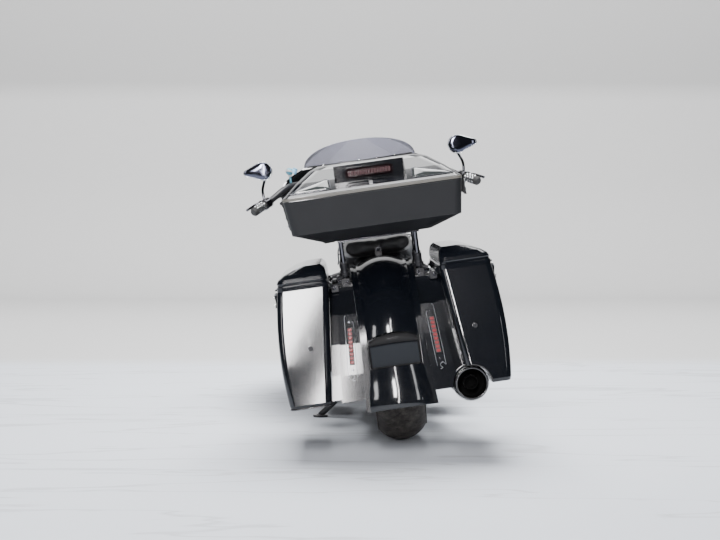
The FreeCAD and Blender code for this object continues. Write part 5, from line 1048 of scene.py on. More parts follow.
class CRUISER_OT_lamps(bpy.types.Operator):
    """Fit the filler lights' red chambers, bright outlines and screws, and the lamp bar's chambers"""
    bl_idname = "cruiser.lamps"
    bl_label = "Rear lamps"

    def execute(self, context):
        settings = context.scene.cruiser_lamps
        lit = glowing("lit_red_chamber", (0.11, 0.001, 0.004), (1.0, 0.002, 0.012), 0.02 + settings.glow)
        dim = glowing("dim_red_chamber", tuple(settings.lens_color), (0.5, 0.02, 0.02), settings.glow * 0.2)
        trim = finish("satin_silver_trim", (0.3, 0.31, 0.33), rough=0.3, metal=0.9, grain=500.0, bump=0.02,
            edge=0.0004, tone=0.1)
        for side, word in SIDES:
            self.filler_light(side, word, lit, trim)
        self.lamp_bar(dim)
        return {"FINISHED"}

    def filler_light(self, side, word, lit, trim):
        """One filler's chambers, bright outline and screws."""
        chambers = Shape()
        count = 9
        for i in range(count):
            low = mirror_x(LIGHT_LOW.lerp(LIGHT_HIGH, (i + 0.1) / count), side)
            high = mirror_x(LIGHT_LOW.lerp(LIGHT_HIGH, (i + 0.9) / count), side)
            up = (high - low).normalized()
            place = (low + high) / 2 + Vector((0, -LENS_DEPTH, 0))
            chambers.pad(0.0074, (high - low).length / 2, 0.005, place, 0.003, 0.0016, across=(side, 0, 0),
                up=up * side, steps=4)
        chambers.make("filler_light_chambers_" + word, lit)
        outline = [(-0.015, -0.048), (-0.0155, 0.04), (-0.015, 0.13), (-0.0145, 0.144), (-0.01, 0.15)]
        other = [(0.01, 0.172), (0.015, 0.17), (0.016, 0.15), (0.0165, 0.06), (0.017, -0.03),
            (0.0165, -0.046), (0.0085, -0.037), (-0.001, -0.04), (-0.0035, -0.049), (0.003, -0.056),
            (-0.006, -0.06)]
        edge = Shape()
        for pairs, count in ((outline, 40), (other, 84)):
            places = smooth_path([(a, b, 0) for a, b in pairs], count)
            edge.bar([filler_face(p.x, p.y, side, 0.0006) for p in places], 0.001, 8)
        edge.make("filler_light_outline_" + word, trim)
        screws = Shape()
        for x, along in ((0.0, 0.148), (0.0, -0.022)):
            screws.bolt(filler_face(x, along, side, -0.0006), (0, -1, 0.18), 0.0034, 0.0032)
        screws.make("filler_screws_" + word, black_chrome())

    def lamp_bar(self, dim):
        """The row of chambers on the lamp bar's lens."""
        chambers = Shape()
        for i in range(15):
            x = -0.073 + 0.146 * i / 14
            chambers.pad(0.0044, 0.0085, 0.002, (x, LAMP_BAR_Y, LAMP_BAR_Z), 0.0018, 0.0008)
        chambers.make("lamp_bar_chambers", dim, "top_case_lid")


TAIL_TOP_Y = -0.478
TAIL_TOP_Z = 0.4
TAIL_FOOT_Y = -0.513
TAIL_FOOT_Z = 0.189
CROWN_RISE = 0.027
CROWN_PROUD = 0.025
PLATE_Z = 0.392
PLATE_SINK = 0.014


def tail_face(x, z, out=0.0):
    """A place on the fender's flat tail, out from it by a distance."""
    slope = (TAIL_TOP_Y - TAIL_FOOT_Y) / (TAIL_TOP_Z - TAIL_FOOT_Z)
    y = TAIL_TOP_Y - (TAIL_TOP_Z - z) * slope
    normal = Vector((0, -1, slope)).normalized()
    return Vector((x, y, z)) + normal * out


def crown_face(x, z, out=0.0):
    """A place on the fender's crowned rear face, out from it by a distance."""
    half = 0.098 + 0.02 * (TAIL_TOP_Z - z) / (TAIL_TOP_Z - TAIL_FOOT_Z)
    radius = (half * half + CROWN_RISE ** 2) / (2 * CROWN_RISE)
    return tail_face(x, z, out + math.sqrt(radius * radius - x * x) - (radius - CROWN_PROUD))


class CRUISER_OT_plate(bpy.types.Operator):
    """Rim the blank plate and add its hooded holder, its screws and the fender's screws"""
    bl_idname = "cruiser.plate"
    bl_label = "Plate and fender hardware"

    def execute(self, context):
        rim = Shape()
        normal = tail_face(0, PLATE_Z, 1) - tail_face(0, PLATE_Z)
        up = (tail_face(0, 0.5) - tail_face(0, 0.3)).normalized()
        centre = tail_face(0, PLATE_Z, -PLATE_SINK)
        outline = rounded_outline(0.0885, 0.0505, 0.006, 4)
        line = [centre + RIGHT * a + up * b for a, b in outline]
        rim.bar(line + line[:2], 0.0016, 8, ends=False)
        rim.make("plate_rim", black_chrome())
        self.holder(centre, up, normal)
        screws = Shape()
        for side in (-1, 1):
            screws.bolt(centre + Vector((side * 0.073, 0, 0)) + up * 0.039, normal, 0.0052, 0.0036)
        screws.make("plate_screws", chrome())
        low = Shape()
        for x in (0.012, 0.074):
            low.bolt(crown_face(x, 0.214, 0.0002), normal, 0.0042, 0.003)
        low.make("fender_screws", chrome())
        return {"FINISHED"}

    def holder(self, centre, up, normal):
        """The plate's hooded holder: a deep arched top, slim sides and floor, and two corner tabs, in a
        near-black that is partly black trim and partly painted shade in the plate's recess.
        """
        def place(a, b, out):
            return centre + RIGHT * a + up * b + normal * out

        hood = Shape()
        top = [(-0.091, 0.044), (-0.062, 0.058), (-0.03, 0.066), (0.0, 0.069), (0.03, 0.066), (0.062, 0.058),
            (0.091, 0.044)]
        top = [(p.x, p.y) for p in smooth_path([(a, b, 0) for a, b in top], 33)]
        rows = []
        for a, b in top:
            foot = 0.0285 + 0.003 * (1 - (a / 0.091) ** 2)
            rows.append([place(a, b, 0.001), place(a, b - 0.001, 0.0105), place(a, (b + foot) / 2, 0.015),
                place(a, foot + 0.002, 0.015), place(a, foot, 0.0135), place(a, foot, 0.001)])
        hood.loft(rows)
        hood.make("plate_hood", black_trim_and_painted_shade(), sharp=50)
        edges = Shape()
        ring = [(-0.0905, 0.034), (-0.0905, -0.047), (-0.086, -0.052), (0.086, -0.052), (0.0905, -0.047),
            (0.0905, 0.034)]
        for (a, b), (c, d) in zip(ring, ring[1:]):
            edges.bar([place(a, b, 0.004), place(c, d, 0.004)], 0.0034, 8)
        for side in (-1, 1):
            edges.pad(0.0075, 0.006, 0.002, place(side * 0.078, -0.054, 0.002), 0.006, 0.001, up=up)
        edges.pad(0.006, 0.004, 0.002, place(0, -0.052, 0.0035), 0.005, 0.001, up=up)
        edges.make("plate_holder_edges", black_trim_and_painted_shade())
        lamp = Shape()
        lamp.pad(0.022, 0.0035, 0.0015, place(0, 0.049, 0.0146), 0.002, 0.0008, up=up)
        lamp.make("plate_lamp", clear("plate_lamp_glass", (0.85, 0.87, 0.9), rough=0.1))


# Top case

def level_ring(low_x, high_x, low_y, high_y, z, radius, steps=6):
    """A level rounded ring, as round the case or a bag."""
    middle_x = (low_x + high_x) / 2
    middle_y = (low_y + high_y) / 2
    outline = rounded_outline((high_x - low_x) / 2, (high_y - low_y) / 2, radius, steps)
    return [Vector((middle_x + a, middle_y + b, z)) for a, b in outline]


def band(levels):
    """A closed band from rings given as (low_x, high_x, low_y, high_y, z, radius)."""
    shape = Shape()
    rings = [level_ring(*level, steps=8) for level in levels]
    rings.append(rings[0])
    shape.loft(rings, ends=False)
    return shape


CASE_HALF = 0.322
CASE_REAR = -0.542
CASE_FRONT = -0.08
CASE_RADIUS = 0.024
CASE_RIM_Z = 0.978
SHOULDER_LINE = ((-0.53, 1.0), (-0.492, 1.0384), (-0.438, 1.078))
SHOULDER_OUT = Vector((0, -0.707, 0.707))


def case_level(grow, z):
    """The case's outline at one height, grown all round by a distance."""
    return -CASE_HALF - grow, CASE_HALF + grow, CASE_REAR - grow, CASE_FRONT + grow, z, CASE_RADIUS


def lid_slope(x, z, out=0.0):
    """A place on the rear slope of the case lid's shoulders, out from it by a distance."""
    foot, bend, top = SHOULDER_LINE
    low, high = (foot, bend) if z < bend[1] else (bend, top)
    y = low[0] + (z - low[1]) * (high[0] - low[0]) / (high[1] - low[1])
    return Vector((x, y, z)) + SHOULDER_OUT * out


class CRUISER_OT_case_trim(bpy.types.Operator):
    """Add the case's seam strip, shoulder inlays with double borders, latch catches and hinge screws"""
    bl_idname = "cruiser.case_trim"
    bl_label = "Top case trim"

    def execute(self, context):
        strip = finish("stone_grey_strip", (0.085, 0.08, 0.068), rough=0.5, grain=900.0, bump=0.05,
            edge=0.0006, tone=0.2, edge_highlight_color=(0.22, 0.21, 0.19))
        low_z, high_z = 0.98, 0.9905
        steps = ((0.0002, low_z), (0.0018, low_z + 0.0015), (0.0018, high_z - 0.0015), (0.0002, high_z),
            (-0.0014, high_z), (-0.0014, low_z))
        levels = [case_level(grow, z) for grow, z in steps]
        band(levels).make("case_seam_strip", strip, "top_case_lid", sharp=25)
        self.inlays()
        self.hardware()
        return {"FINISHED"}

    def inlays(self):
        """The long lens in each shoulder, domed a little, with two bright lines round it."""
        outline = [(0.1475, 1.0045), (0.151, 1.0355), (0.158, 1.0395), (0.17, 1.0385), (0.22, 1.0265),
            (0.27, 1.0135), (0.287, 1.0075), (0.291, 1.0045), (0.284, 1.0038), (0.2, 1.0038)]
        ring = [(p.x, p.y) for p in smooth_path([(a, b, 0) for a, b in outline + outline[:1]], 56)][:-1]
        middle = Vector((0.198, 1.016))

        def lens_line(share, out, side):
            places = [middle + (Vector(p) - middle) * share for p in ring]
            return [lid_slope(side * p.x, p.y, out) for p in places]

        for side, word in SIDES:
            lens = Shape()
            rows = []
            for share, out in ((0.985, -0.0028), (0.95, 0.001), (0.8, 0.0034), (0.5, 0.0056),
                    (0.03, 0.0066)):
                rows.append(lens_line(share, out, side))
            lens.loft(rows, ends=False)
            lens.make("shoulder_lens_" + word, smoked_lens(), "top_case_lid", sharp=60)
            lines = Shape()
            for share, radius in ((1.04, 0.0011), (0.985, 0.0007)):
                line = lens_line(share, 0.0002, side)
                lines.bar(line + line[:2], radius, 6, ends=False)
            lines.make("shoulder_lens_lines_" + word, black_chrome(), "top_case_lid")

    def hardware(self):
        """Catches and rivets on the latches, and screws on the hinge straps."""
        catches = Shape()
        rivets = Shape()
        for y in (-0.455, -0.175):
            catches.pad(0.01, 0.005, 0.002, (0.3345, y, 0.97), 0.004, across=AHEAD)
            catches.pad(0.007, 0.01, 0.003, (0.3352, y, 0.937), 0.0025, across=AHEAD)
            for step in (-0.011, 0.011):
                rivets.bolt((0.33, y + step, 0.962), RIGHT, 0.0026, 0.0022, 12)
        catches.make("case_latch_catches", chrome())
        for y in (-0.44, -0.19):
            for drop in (0.03, 0.058, 0.086):
                for step in (-0.018, 0.018):
                    x = -0.328 + 0.123 * drop
                    rivets.bolt((x, y + step, CASE_RIM_Z - drop), (-1, 0, -0.12), 0.0032, 0.0024)
        rivets.make("case_hardware_rivets", chrome())


class CRUISER_OT_docking(bpy.types.Operator):
    """Build the docking clamps, their knobs and levers, the bag mounts and the seat's rear tab"""
    bl_idname = "cruiser.docking"
    bl_label = "Docking clamps and mounts"

    def execute(self, context):
        blocks = Shape()
        bright = Shape()
        for side, _ in SIDES:
            for foot in (-0.262, -0.1):
                top = Vector((side * 0.14, foot - 0.04, 0.811))
                low = Vector((side * 0.14, foot, 0.652))
                along = (top - low).normalized()
                blocks.turn([(0.026, 0.0155), (0.029, 0.0185), (0.04, 0.0185), (0.043, 0.0145),
                    (0.056, 0.0135), (0.058, 0.0142), (0.074, 0.0142), (0.077, 0.012)], low, along, 20)
                blocks.pad(0.017, 0.021, 0.005, low + Vector((0, -0.0155, -0.004)), 0.012, 0.002)
                blocks.pad(0.012, 0.016, 0.004, low + Vector((0.0, -0.013, 0.068)), 0.012, 0.002)
                lever = ((0.004, -0.024, 0.03), (0.011, -0.034, 0.022), (0.03, -0.036, 0.016))
                blocks.bar([low + mirror_x(p, side) for p in lever], [0.004, 0.0045, 0.006], 10)
                screws = ((-0.007, -0.0275, 0.004, 0.0045), (0.008, -0.0275, -0.012, 0.0036),
                    (0.002, -0.025, 0.072, 0.004))
                for x, y, z, radius in screws:
                    bright.bolt(low + Vector((x * side, y, z)), BACK, radius, 0.004)
                knob = low + Vector((side * 0.0165, 0.0, 0.011))
                rings = []
                for reach, radius in ((0, 0.008), (0.002, 0.0115), (0.014, 0.0115), (0.017, 0.009),
                        (0.017, 0.004)):
                    ring = []
                    for i in range(32):
                        knurled = radius if i % 2 else radius * 0.92
                        out = spin(AHEAD, UP, FULL_TURN * i / 32) * knurled
                        ring.append(knob + RIGHT * side * reach + out)
                    rings.append(ring)
                bright.loft(rings)
            for y in (-0.22, 0.12):
                mount = Vector((side * 0.196, y, 0.612))
                blocks.pad(0.018, 0.013, 0.004, mount + Vector((0, -0.01, 0)), 0.01, 0.002)
                bright.bolt(mount + Vector((side * -0.004, -0.02, 0)), BACK, 0.0055, 0.005)
            mount = Vector((side * 0.183, -0.3395, 0.64))
            blocks.pad(0.014, 0.014, 0.004, mount, 0.016, 0.002)
            bright.bolt(mount + Vector((side * 0.003, -0.016, 0.002)), BACK, 0.006, 0.006)
        blocks.pad(0.013, 0.02, 0.006, (0, -0.0685, 0.746), 0.003, 0.001, steps=4)
        bright.bolt((0, -0.0715, 0.752), BACK, 0.0065, 0.0045)
        blocks.make("docking_clamps", black_metal())
        bright.make("docking_knobs_and_bolts", black_chrome())
        return {"FINISHED"}


# Exhaust

MUFFLER_TIP = Vector((0.26, -0.516, 0.242))
MUFFLER_FRONT = Vector((0.243, 0.06, 0.232))


class CRUISER_OT_exhaust(bpy.types.Operator):
    """Line the muffler's mouth and add its core, shell and clamps, and the header's heat shield"""
    bl_idname = "cruiser.exhaust"
    bl_label = "Exhaust details"

    def execute(self, context):
        inward = (MUFFLER_FRONT - MUFFLER_TIP).normalized()
        length = (MUFFLER_FRONT - MUFFLER_TIP).length
        # The mouth's lining and core close the bore with a near-black that is partly soot and partly painted
        # shade.
        soot_and_shade_lining = Shape()
        soot_and_shade_lining.turn([(0.003, 0.0525), (0.03, 0.0522), (0.075, 0.0522), (0.08, 0.044), (0.08, 0.001)],
            MUFFLER_TIP, inward, 64, ends=False)
        core = Shape()
        core.turn([(0.09, 0.0265), (0.045, 0.0265), (0.045, 0.0225), (0.085, 0.0225), (0.085, 0.001)],
            MUFFLER_TIP, inward, 40, ends=False)
        for row in range(3):
            for i in range(14):
                angle = FULL_TURN * (i + 0.5 * (row % 2)) / 14
                across = inward.orthogonal().normalized()
                out = spin(across, inward.cross(across), angle)
                core.turn([(0, 0.0026), (0.0006, 0.0026), (0.0006, 0.0014), (0.0, 0.0014)],
                    MUFFLER_TIP + inward * (0.05 + 0.01 * row) + out * 0.0264, out, 8)
        soot_and_shade_lining.make("muffler_mouth_lining", dark_void())
        core.make("muffler_core", dark_void())
        lip = Shape()
        lip.turn([(-0.0015, 0.0535), (-0.0022, 0.056), (-0.0015, 0.059), (0.004, 0.0612), (0.006, 0.0612),
            (0.006, 0.053), (-0.0005, 0.0528)], MUFFLER_TIP, inward, 72, ends=False)
        lip.make("muffler_mouth_ring", gloss_black())
        shell = Shape()
        shell.turn([(0.052, 0.061), (0.06, 0.0648), (0.3, 0.065), (0.48, 0.065), (length - 0.07, 0.0635),
            (length - 0.05, 0.046), (length - 0.048, 0.03)], MUFFLER_TIP, inward, 72, ends=False)
        shell.make("muffler_shell", gloss_black())
        clamps = Shape()
        bolts = Shape()
        for reach in (0.052, length - 0.03):
            radius = 0.0655 if reach < 0.1 else 0.0295
            clamps.turn([(reach - 0.006, radius), (reach - 0.006, radius + 0.002),
                (reach + 0.006, radius + 0.002), (reach + 0.006, radius)], MUFFLER_TIP, inward, 64,
                ends=False)
        for y in (0.495, 0.6):
            centre = Vector((0.165, y, 0.187))
            clamps.turn([(-0.012, 0.0235), (-0.012, 0.03), (0.012, 0.03), (0.012, 0.0235)], centre, AHEAD,
                40)
            clamps.pad(0.007, 0.011, 0.002, centre + Vector((0, 0.007, -0.038)), 0.01, across=AHEAD, steps=2)
            bolts.bolt(centre + Vector((0.01, 0, -0.04)), RIGHT, 0.005, 0.006)
        clamps.make("exhaust_clamps", turned_steel())
        shield = Shape()
        route = [Vector((0.1645, 0.8, 0.187)), Vector((0.1645, 0.7, 0.187)), Vector((0.1645, 0.63, 0.187))]
        rings = []
        for i, place in enumerate(smooth_path(route, 16)):
            radius = 0.0275 if 0 < i < 15 else 0.0245
            ring = []
            for k in range(19):
                angle = math.radians(-100 + 200 * k / 18)
                ring.append(place + Vector((math.cos(angle) * radius, 0, math.sin(angle) * radius)))
            for k in range(19):
                angle = math.radians(100 - 200 * k / 18)
                ring.append(place
                    + Vector((math.cos(angle) * (radius - 0.0012), 0, math.sin(angle) * (radius - 0.0012))))
            rings.append(ring)
        shield.loft(rings)
        for step in range(5):
            bolts.pad(0.0018, 0.01, 0.0015, (0.1925, 0.665 + step * 0.024, 0.187), 0.0008, 0.0003,
                across=AHEAD, steps=2)
        shield.make("header_heat_shield", black_chrome())
        bolts.make("exhaust_bolts", chrome())
        return {"FINISHED"}


# Saddlebags

LATCH_Y = -0.392


class CRUISER_OT_bags(bpy.types.Operator):
    """Add the saddlebags' locks, latch pins, floor flanges and the arch's rubber edge"""
    bl_idname = "cruiser.bags"
    bl_label = "Saddlebag details"

    def execute(self, context):
        locks = Shape()
        slots = Shape()
        pins = Shape()
        flanges = Shape()
        for side, _ in SIDES:
            face = mirror_x((0.298, -0.5307, 0.45), side)
            locks.turn([(0, 0.0088), (0.0015, 0.0088), (0.0022, 0.007), (0.0012, 0.006), (0.0012, 0.0001)],
                face, BACK, 28)
            # The key slot is a near-black mark: painted shade.
            slots.pad(0.0008, 0.0032, 0.0006, face + Vector((0, -0.0012, 0)), 0.0004, 0.0001, steps=2)
            pins.turn([(0, 0.004), (0.036, 0.004)], mirror_x((0.4005, LATCH_Y - 0.018, 0.652), side), AHEAD,
                12)
            pins.bolt(mirror_x((0.4062, LATCH_Y, 0.64), side), (side, 0, 0.1), 0.0036, 0.003)
            pins.pad(0.012, 0.0035, 0.0015, mirror_x((0.4078, LATCH_Y, 0.612), side), 0.0018, 0.0006,
                across=(0, side, 0), steps=2)
            line = [mirror_x(p, side) for p in level_ring(0.254, 0.4, -0.5505, 0.032, 0.2402, 0.022)]
            whole = side < 0
            flanges.bar(line + line[:2] if whole else line[:14], 0.003, 8, ends=not whole)
        locks.make("bag_locks", black_metal())
        slots.make("bag_lock_slots", dark_void())
        pins.make("bag_latch_pins", chrome())
        flanges.make("bag_floor_flanges", gloss_black())
        arch = Shape()
        line = []
        arch_x, arch_z, arch_radius = 0.2605, 0.2425, 0.0705
        round_off = 0.022
        for i in range(29):
            angle = math.radians(2 + 108 * i / 28)
            x = arch_x + arch_radius * math.cos(angle)
            z = arch_z + arch_radius * math.sin(angle)
            y = -0.552 + (z - 0.2526) * 0.03 / 0.197
            corner = 0.254 + round_off - 0.12 * (z - 0.24)
            if x <= corner:
                y += round_off - math.sqrt(max(round_off ** 2 - (corner - x) ** 2, 0))
            line.append(Vector((x, y, z)))
        arch.bar(line, 0.0028, 8)
        arch.make("bag_arch_edge", soft_rubber())
        return {"FINISHED"}


# Engine

CRANK = Vector((0, 0.74, 0.33))
CYLINDER_TILT = 22.5
FIN_START = 0.12
FIN_PITCH = 0.012
FIN_HALF = 0.00225
CLUTCH_FACE = Vector((-0.1865, 0.52, 0.324))


def vee_point(x, along, up, tilt):
    """A place on a cylinder: along is fore and aft of its axis and up is the height above the crank."""
    reach = math.radians(tilt)
    return CRANK + Vector((x, up * math.sin(reach) + along * math.cos(reach), up * math.cos(reach) - along
        * math.sin(reach)))


class CRUISER_OT_engine(bpy.types.Operator):
    """Brighten the fin edges and add the engine's bolts, plug leads, cover rings and air cleaner insert"""
    bl_idname = "cruiser.engine"
    bl_label = "Engine details"

    def execute(self, context):
        fins = Shape()
        bolts = Shape()
        leads = Shape()
        for tilt in (CYLINDER_TILT, -CYLINDER_TILT):
            for index in range(10):
                up = FIN_START + (index + 0.5) * FIN_PITCH + FIN_HALF
                for x_side in (-1, 1):
                    x = x_side * 0.0742
                    fins.bar([vee_point(x, -0.043, up, tilt), vee_point(x, 0.043, up, tilt)], 0.0021, 6)
                    for end in (-1, 1):
                        fins.bar([vee_point(x, end * 0.043, up, tilt),
                            vee_point(x_side * 0.0522, end * 0.0655, up, tilt)], 0.0021, 6)
                for end in (-1, 1):
                    fins.bar([vee_point(-0.051, end * 0.0662, up, tilt),
                        vee_point(0.051, end * 0.0662, up, tilt)], 0.0021, 6)
            for x in (-0.052, 0.052):
                for along in (-0.044, 0.044):
                    bolts.bolt(vee_point(x, along, 0.3405, tilt), vee_point(0, 0, 1, tilt) - CRANK, 0.006,
                        0.01)
            plug = vee_point(-0.07, 0.012, 0.268, tilt)
            bolts.turn([(0, 0.008), (0.01, 0.008), (0.01, 0.005), (0.022, 0.005)], plug, (-1, 0, 0.15), 14)
            leads.bar(smooth_path([plug + Vector((-0.02, 0, 0.003)), plug + Vector((-0.036, 0, 0.012)),
                plug + Vector((-0.042, -0.01, 0.06)), Vector((-0.03, 0.745, 0.7))], 26),
                [0.0055] * 5 + [0.0035] * 21, 10)
        fins.make("fin_edges", turned_steel(), sharp=60)
        leads.make("plug_leads", soft_rubber())
        ring = Shape()
        ring.turn([(0, 0.046), (0.0015, 0.048), (0.0015, 0.051), (0, 0.052)], CLUTCH_FACE, LEFT, 64,
            ends=False)
        for i in range(6):
            angle = FULL_TURN * i / 6 + 0.3
            bolts.bolt(CLUTCH_FACE + spin(AHEAD, UP, angle) * 0.042, LEFT, 0.0036, 0.003)
        for y, z in ((0.822, 0.372), (0.828, 0.3), (0.78, 0.252), (0.64, 0.236), (0.56, 0.222),
                (0.46, 0.236), (0.423, 0.3), (0.43, 0.37), (0.48, 0.42), (0.57, 0.424), (0.66, 0.412),
                (0.76, 0.412)):
            bolts.bolt((-0.1665, y, z), LEFT, 0.0042, 0.004)
        for y, z in ((0.815, 0.385), (0.82, 0.33), (0.79, 0.285), (0.69, 0.285), (0.66, 0.33), (0.672, 0.4),
                (0.7, 0.445), (0.78, 0.44)):
            bolts.bolt((0.1035, y, z), RIGHT, 0.0042, 0.004)
        ring.make("cover_ring", black_metal())
        self.air_cleaner(bolts)
        bolts.make("engine_bolts", chrome())
        return {"FINISHED"}

    def air_cleaner(self, bolts):
        """The air cleaner's ribbed filter edge, black insert ring and screws."""
        centre = Vector((0, 0.744, 0.56))
        insert = Shape()
        insert.turn([(0.154, 0.054), (0.1556, 0.052), (0.1556, 0.046), (0.1542, 0.044)], centre, RIGHT, 64,
            ends=False)
        insert.turn([(0.1542, 0.026), (0.155, 0.024), (0.155, 0.002)], centre, RIGHT, 48, ends=False)
        insert.make("air_cleaner_insert", black_metal())
        ribs = Shape()
        for i in range(60):
            angle = FULL_TURN * i / 60
            out = spin(AHEAD, UP, angle)
            ribs.bar([centre + Vector((0.109, 0, 0)) + out * 0.0822, centre + Vector((0.135, 0, 0)) + out
                * 0.0822], 0.0016, 5)
        ribs.make("air_cleaner_ribs", black_metal())
        for i in range(5):
            angle = FULL_TURN * i / 5
            bolts.bolt(centre + Vector((0.1546, 0.035 * math.cos(angle), 0.035 * math.sin(angle))), RIGHT,
                0.0036, 0.0025)


# Bar, grips and mirrors

BAR_ROUTE = [Vector((0, WHEELBASE - 0.307, 1.012)), Vector((0.115, WHEELBASE - 0.307, 1.012)),
    Vector((0.225, WHEELBASE - 0.335, 1.058)), Vector((0.35, WHEELBASE - 0.505, 1.052)),
    Vector((0.425, WHEELBASE - 0.615, 1.0)), Vector((0.5, WHEELBASE - 0.735, 0.96))]


def grip_axis(side):
    """The grip's outer end and the direction from there along the bar."""
    end = mirror_x(BAR_ROUTE[-1], side)
    return end, (mirror_x(BAR_ROUTE[-2], side) - end).normalized()


class CRUISER_OT_bar(bpy.types.Operator):
    """Sleeve the grips with their diamond pattern and fit the mirrors' glasses and rims"""
    bl_idname = "cruiser.bar"
    bl_label = "Grips and mirrors"

    def execute(self, context):
        sleeve = soft_rubber()
        bright = chrome()
        for side, word in SIDES:
            end, inward = grip_axis(side)
            sidewise = inward.orthogonal().normalized()
            other = inward.cross(sidewise)
            grip = Shape()
            steps, rows = 40, 44
            rings = []
            for row in range(rows + 1):
                reach = 0.004 + 0.07 * row / rows
                ring = []
                for i in range(steps):
                    angle = FULL_TURN * i / steps
                    radius = 0.0188
                    raised = (i + row) % 4 in (0, 1) and (i - row) % 4 in (0, 1)
                    if raised and 0 < row < rows:
                        radius += 0.0016
                    ring.append(end + inward * reach + spin(sidewise, other, angle) * radius)
                rings.append(ring)
            grip.loft(rings)
            grip.make("grip_sleeve_" + word, sleeve, "steering", sharp=20)
            studs = Shape()
            for row in range(7):
                for i in range(7):
                    angle = FULL_TURN * (i + 0.5 * (row % 2)) / 7
                    out = spin(sidewise, other, angle)
                    place = end + inward * (0.012 + 0.054 * row / 6) + out * 0.0192
                    tip = out * 0.0026
                    a, b = inward * 0.0058, inward.cross(out) * 0.0056
                    studs.put([place - a, place - b, place + a, place + b, place + tip],
                        [(0, 1, 4), (1, 2, 4), (2, 3, 4), (3, 0, 4), (3, 2, 1, 0)])
            studs.make("grip_diamonds_" + word, bright, "steering", smooth=False)
        self.glasses()
        return {"FINISHED"}

    def glasses(self):
        """Both mirror glasses, a little domed, in their bright rims."""
        for side, word in SIDES:
            centre = Vector((0.468, WHEELBASE - 0.607, 1.136))
            big, small, length = 0.043, 0.015, 0.132
            inner = Vector((centre.x - (length / 2 - big), centre.z))
            outer = Vector((centre.x + (length / 2 - small), centre.z))
            gap = outer.x - inner.x
            turn = math.acos((big - small) / gap)
            glass = Shape()
            rim = Shape()
            outline = []
            for i in range(33):
                angle = turn + (FULL_TURN - 2 * turn) * i / 32
                outline.append((inner.x + big * math.cos(angle), inner.y + big * math.sin(angle)))
            for i in range(13):
                angle = -turn + 2 * turn * i / 12
                outline.append((outer.x + small * math.cos(angle), outer.y + small * math.sin(angle)))
            face_y = centre.y - 0.01
            middle = Vector((centre.x - 0.01, centre.z))
            rings = []
            for share, out in ((0.93, 0.0004), (0.9, 0.0012), (0.6, 0.0026), (0.3, 0.0032), (0.02, 0.0034)):
                shrunk = [middle + (Vector(p) - middle) * share for p in outline]
                rings.append([Vector((side * p.x, face_y - out, p.y)) for p in shrunk])
            glass.loft(rings, ends=False)
            glass.make("mirror_glass_" + word, mirror_glass(), "steering", sharp=50)
            shrunk = [middle + (Vector(p) - middle) * 0.955 for p in outline]
            line = [Vector((side * p.x, face_y - 0.0005, p.y)) for p in shrunk]
            rim.bar(line + line[:2], 0.0022, 8, ends=False)
            rim.make("mirror_rim_" + word, chrome(), "steering")


# Wheels, brakes and suspension

FORK_LINE = Vector((0, -math.sin(RAKE), math.cos(RAKE)))
FORK_GROUND = Vector((0, WHEELBASE + 0.17, 0))
FORK_AHEAD = Vector((0, math.cos(RAKE), math.sin(RAKE)))


def on_fork(x, ahead, height):
    """A place by the fork: ahead of the steering axis and up along it."""
    return FORK_GROUND + Vector((x, 0, 0)) + FORK_AHEAD * ahead + FORK_LINE * height


class CRUISER_OT_wheels(bpy.types.Operator):
    """Add machined rim edges, disc and pulley bolts, valves and balance weights"""
    bl_idname = "cruiser.wheels"
    bl_label = "Wheel details"

    def execute(self, context):
        for centre, rim, half, body, word in ((FRONT_AXLE, 0.2413, 0.05, "front_wheel", "front"),
                (REAR_AXLE, 0.2032, 0.074, "rear_wheel", "rear")):
            edges = Shape()
            for side in (-1, 1):
                edges.turn([(half, rim + 0.0035), (half + 0.0022, rim + 0.0015),
                    (half + 0.0022, rim - 0.0015), (half, rim - 0.003)], centre, (side, 0, 0), 96,
                    ends=False)
            edges.make(word + "_rim_edges", turned_steel(), body, sharp=25)
            valve = Shape()
            place = centre + Vector((0.0, 0.0, -(rim - 0.014)))
            valve.turn([(0, 0.005), (0.012, 0.0048), (0.014, 0.0032), (0.03, 0.0032), (0.031, 0.0042),
                (0.038, 0.0042), (0.04, 0.003)], place, (0.2, 0, 1), 14)
            valve.pad(0.014, 0.0045, 0.002, centre + Vector((0.02, -rim + 0.0155, 0.0)), 0.003, 0.001,
                across=UP, up=RIGHT, steps=2)
            valve.make(word + "_valve_and_weight", turned_steel(), body)
        self.bolts()
        return {"FINISHED"}

    def bolts(self):
        """Bolts that hold the discs and the pulley to their hubs."""
        front = Shape()
        rear = Shape()
        for i in range(5):
            angle = FULL_TURN * (i + 0.5) / 5
            out = spin(AHEAD, UP, angle)
            for side in (-1, 1):
                front.bolt(FRONT_AXLE + Vector((side * 0.0672, 0, 0)) + out * 0.0475, (side, 0, 0), 0.0052,
                    0.0048)
            rear.bolt(REAR_AXLE + Vector((0.1062, 0, 0)) + out * 0.0475, RIGHT, 0.0052, 0.0048)
            rear.bolt(REAR_AXLE + Vector((-0.1255, 0, 0)) + out * 0.062, LEFT, 0.0055, 0.0045)
            rear.turn([(0, 0.0125), (0.001, 0.0125), (0.0014, 0.011)], REAR_AXLE + Vector((-0.1253, 0, 0))
                + spin(AHEAD, UP, angle + 0.62) * 0.098, LEFT, 20)
        front.make("front_disc_bolts", chrome(), "front_wheel")
        rear.make("rear_disc_and_pulley_bolts", chrome(), "rear_wheel")


SHOCK_LOW = Vector((0.182, 0.105, 0.36))
SHOCK_HIGH = Vector((0.182, 0.15, 0.64))


def coil(start, along, across, length, turns, radius, steps):
    """Points along the wire of a coil spring."""
    other = along.cross(across)
    line = []
    for i in range(steps + 1):
        angle = FULL_TURN * turns * i / steps
        line.append(start + along * (length * i / steps) + spin(across, other, angle) * radius)
    return line


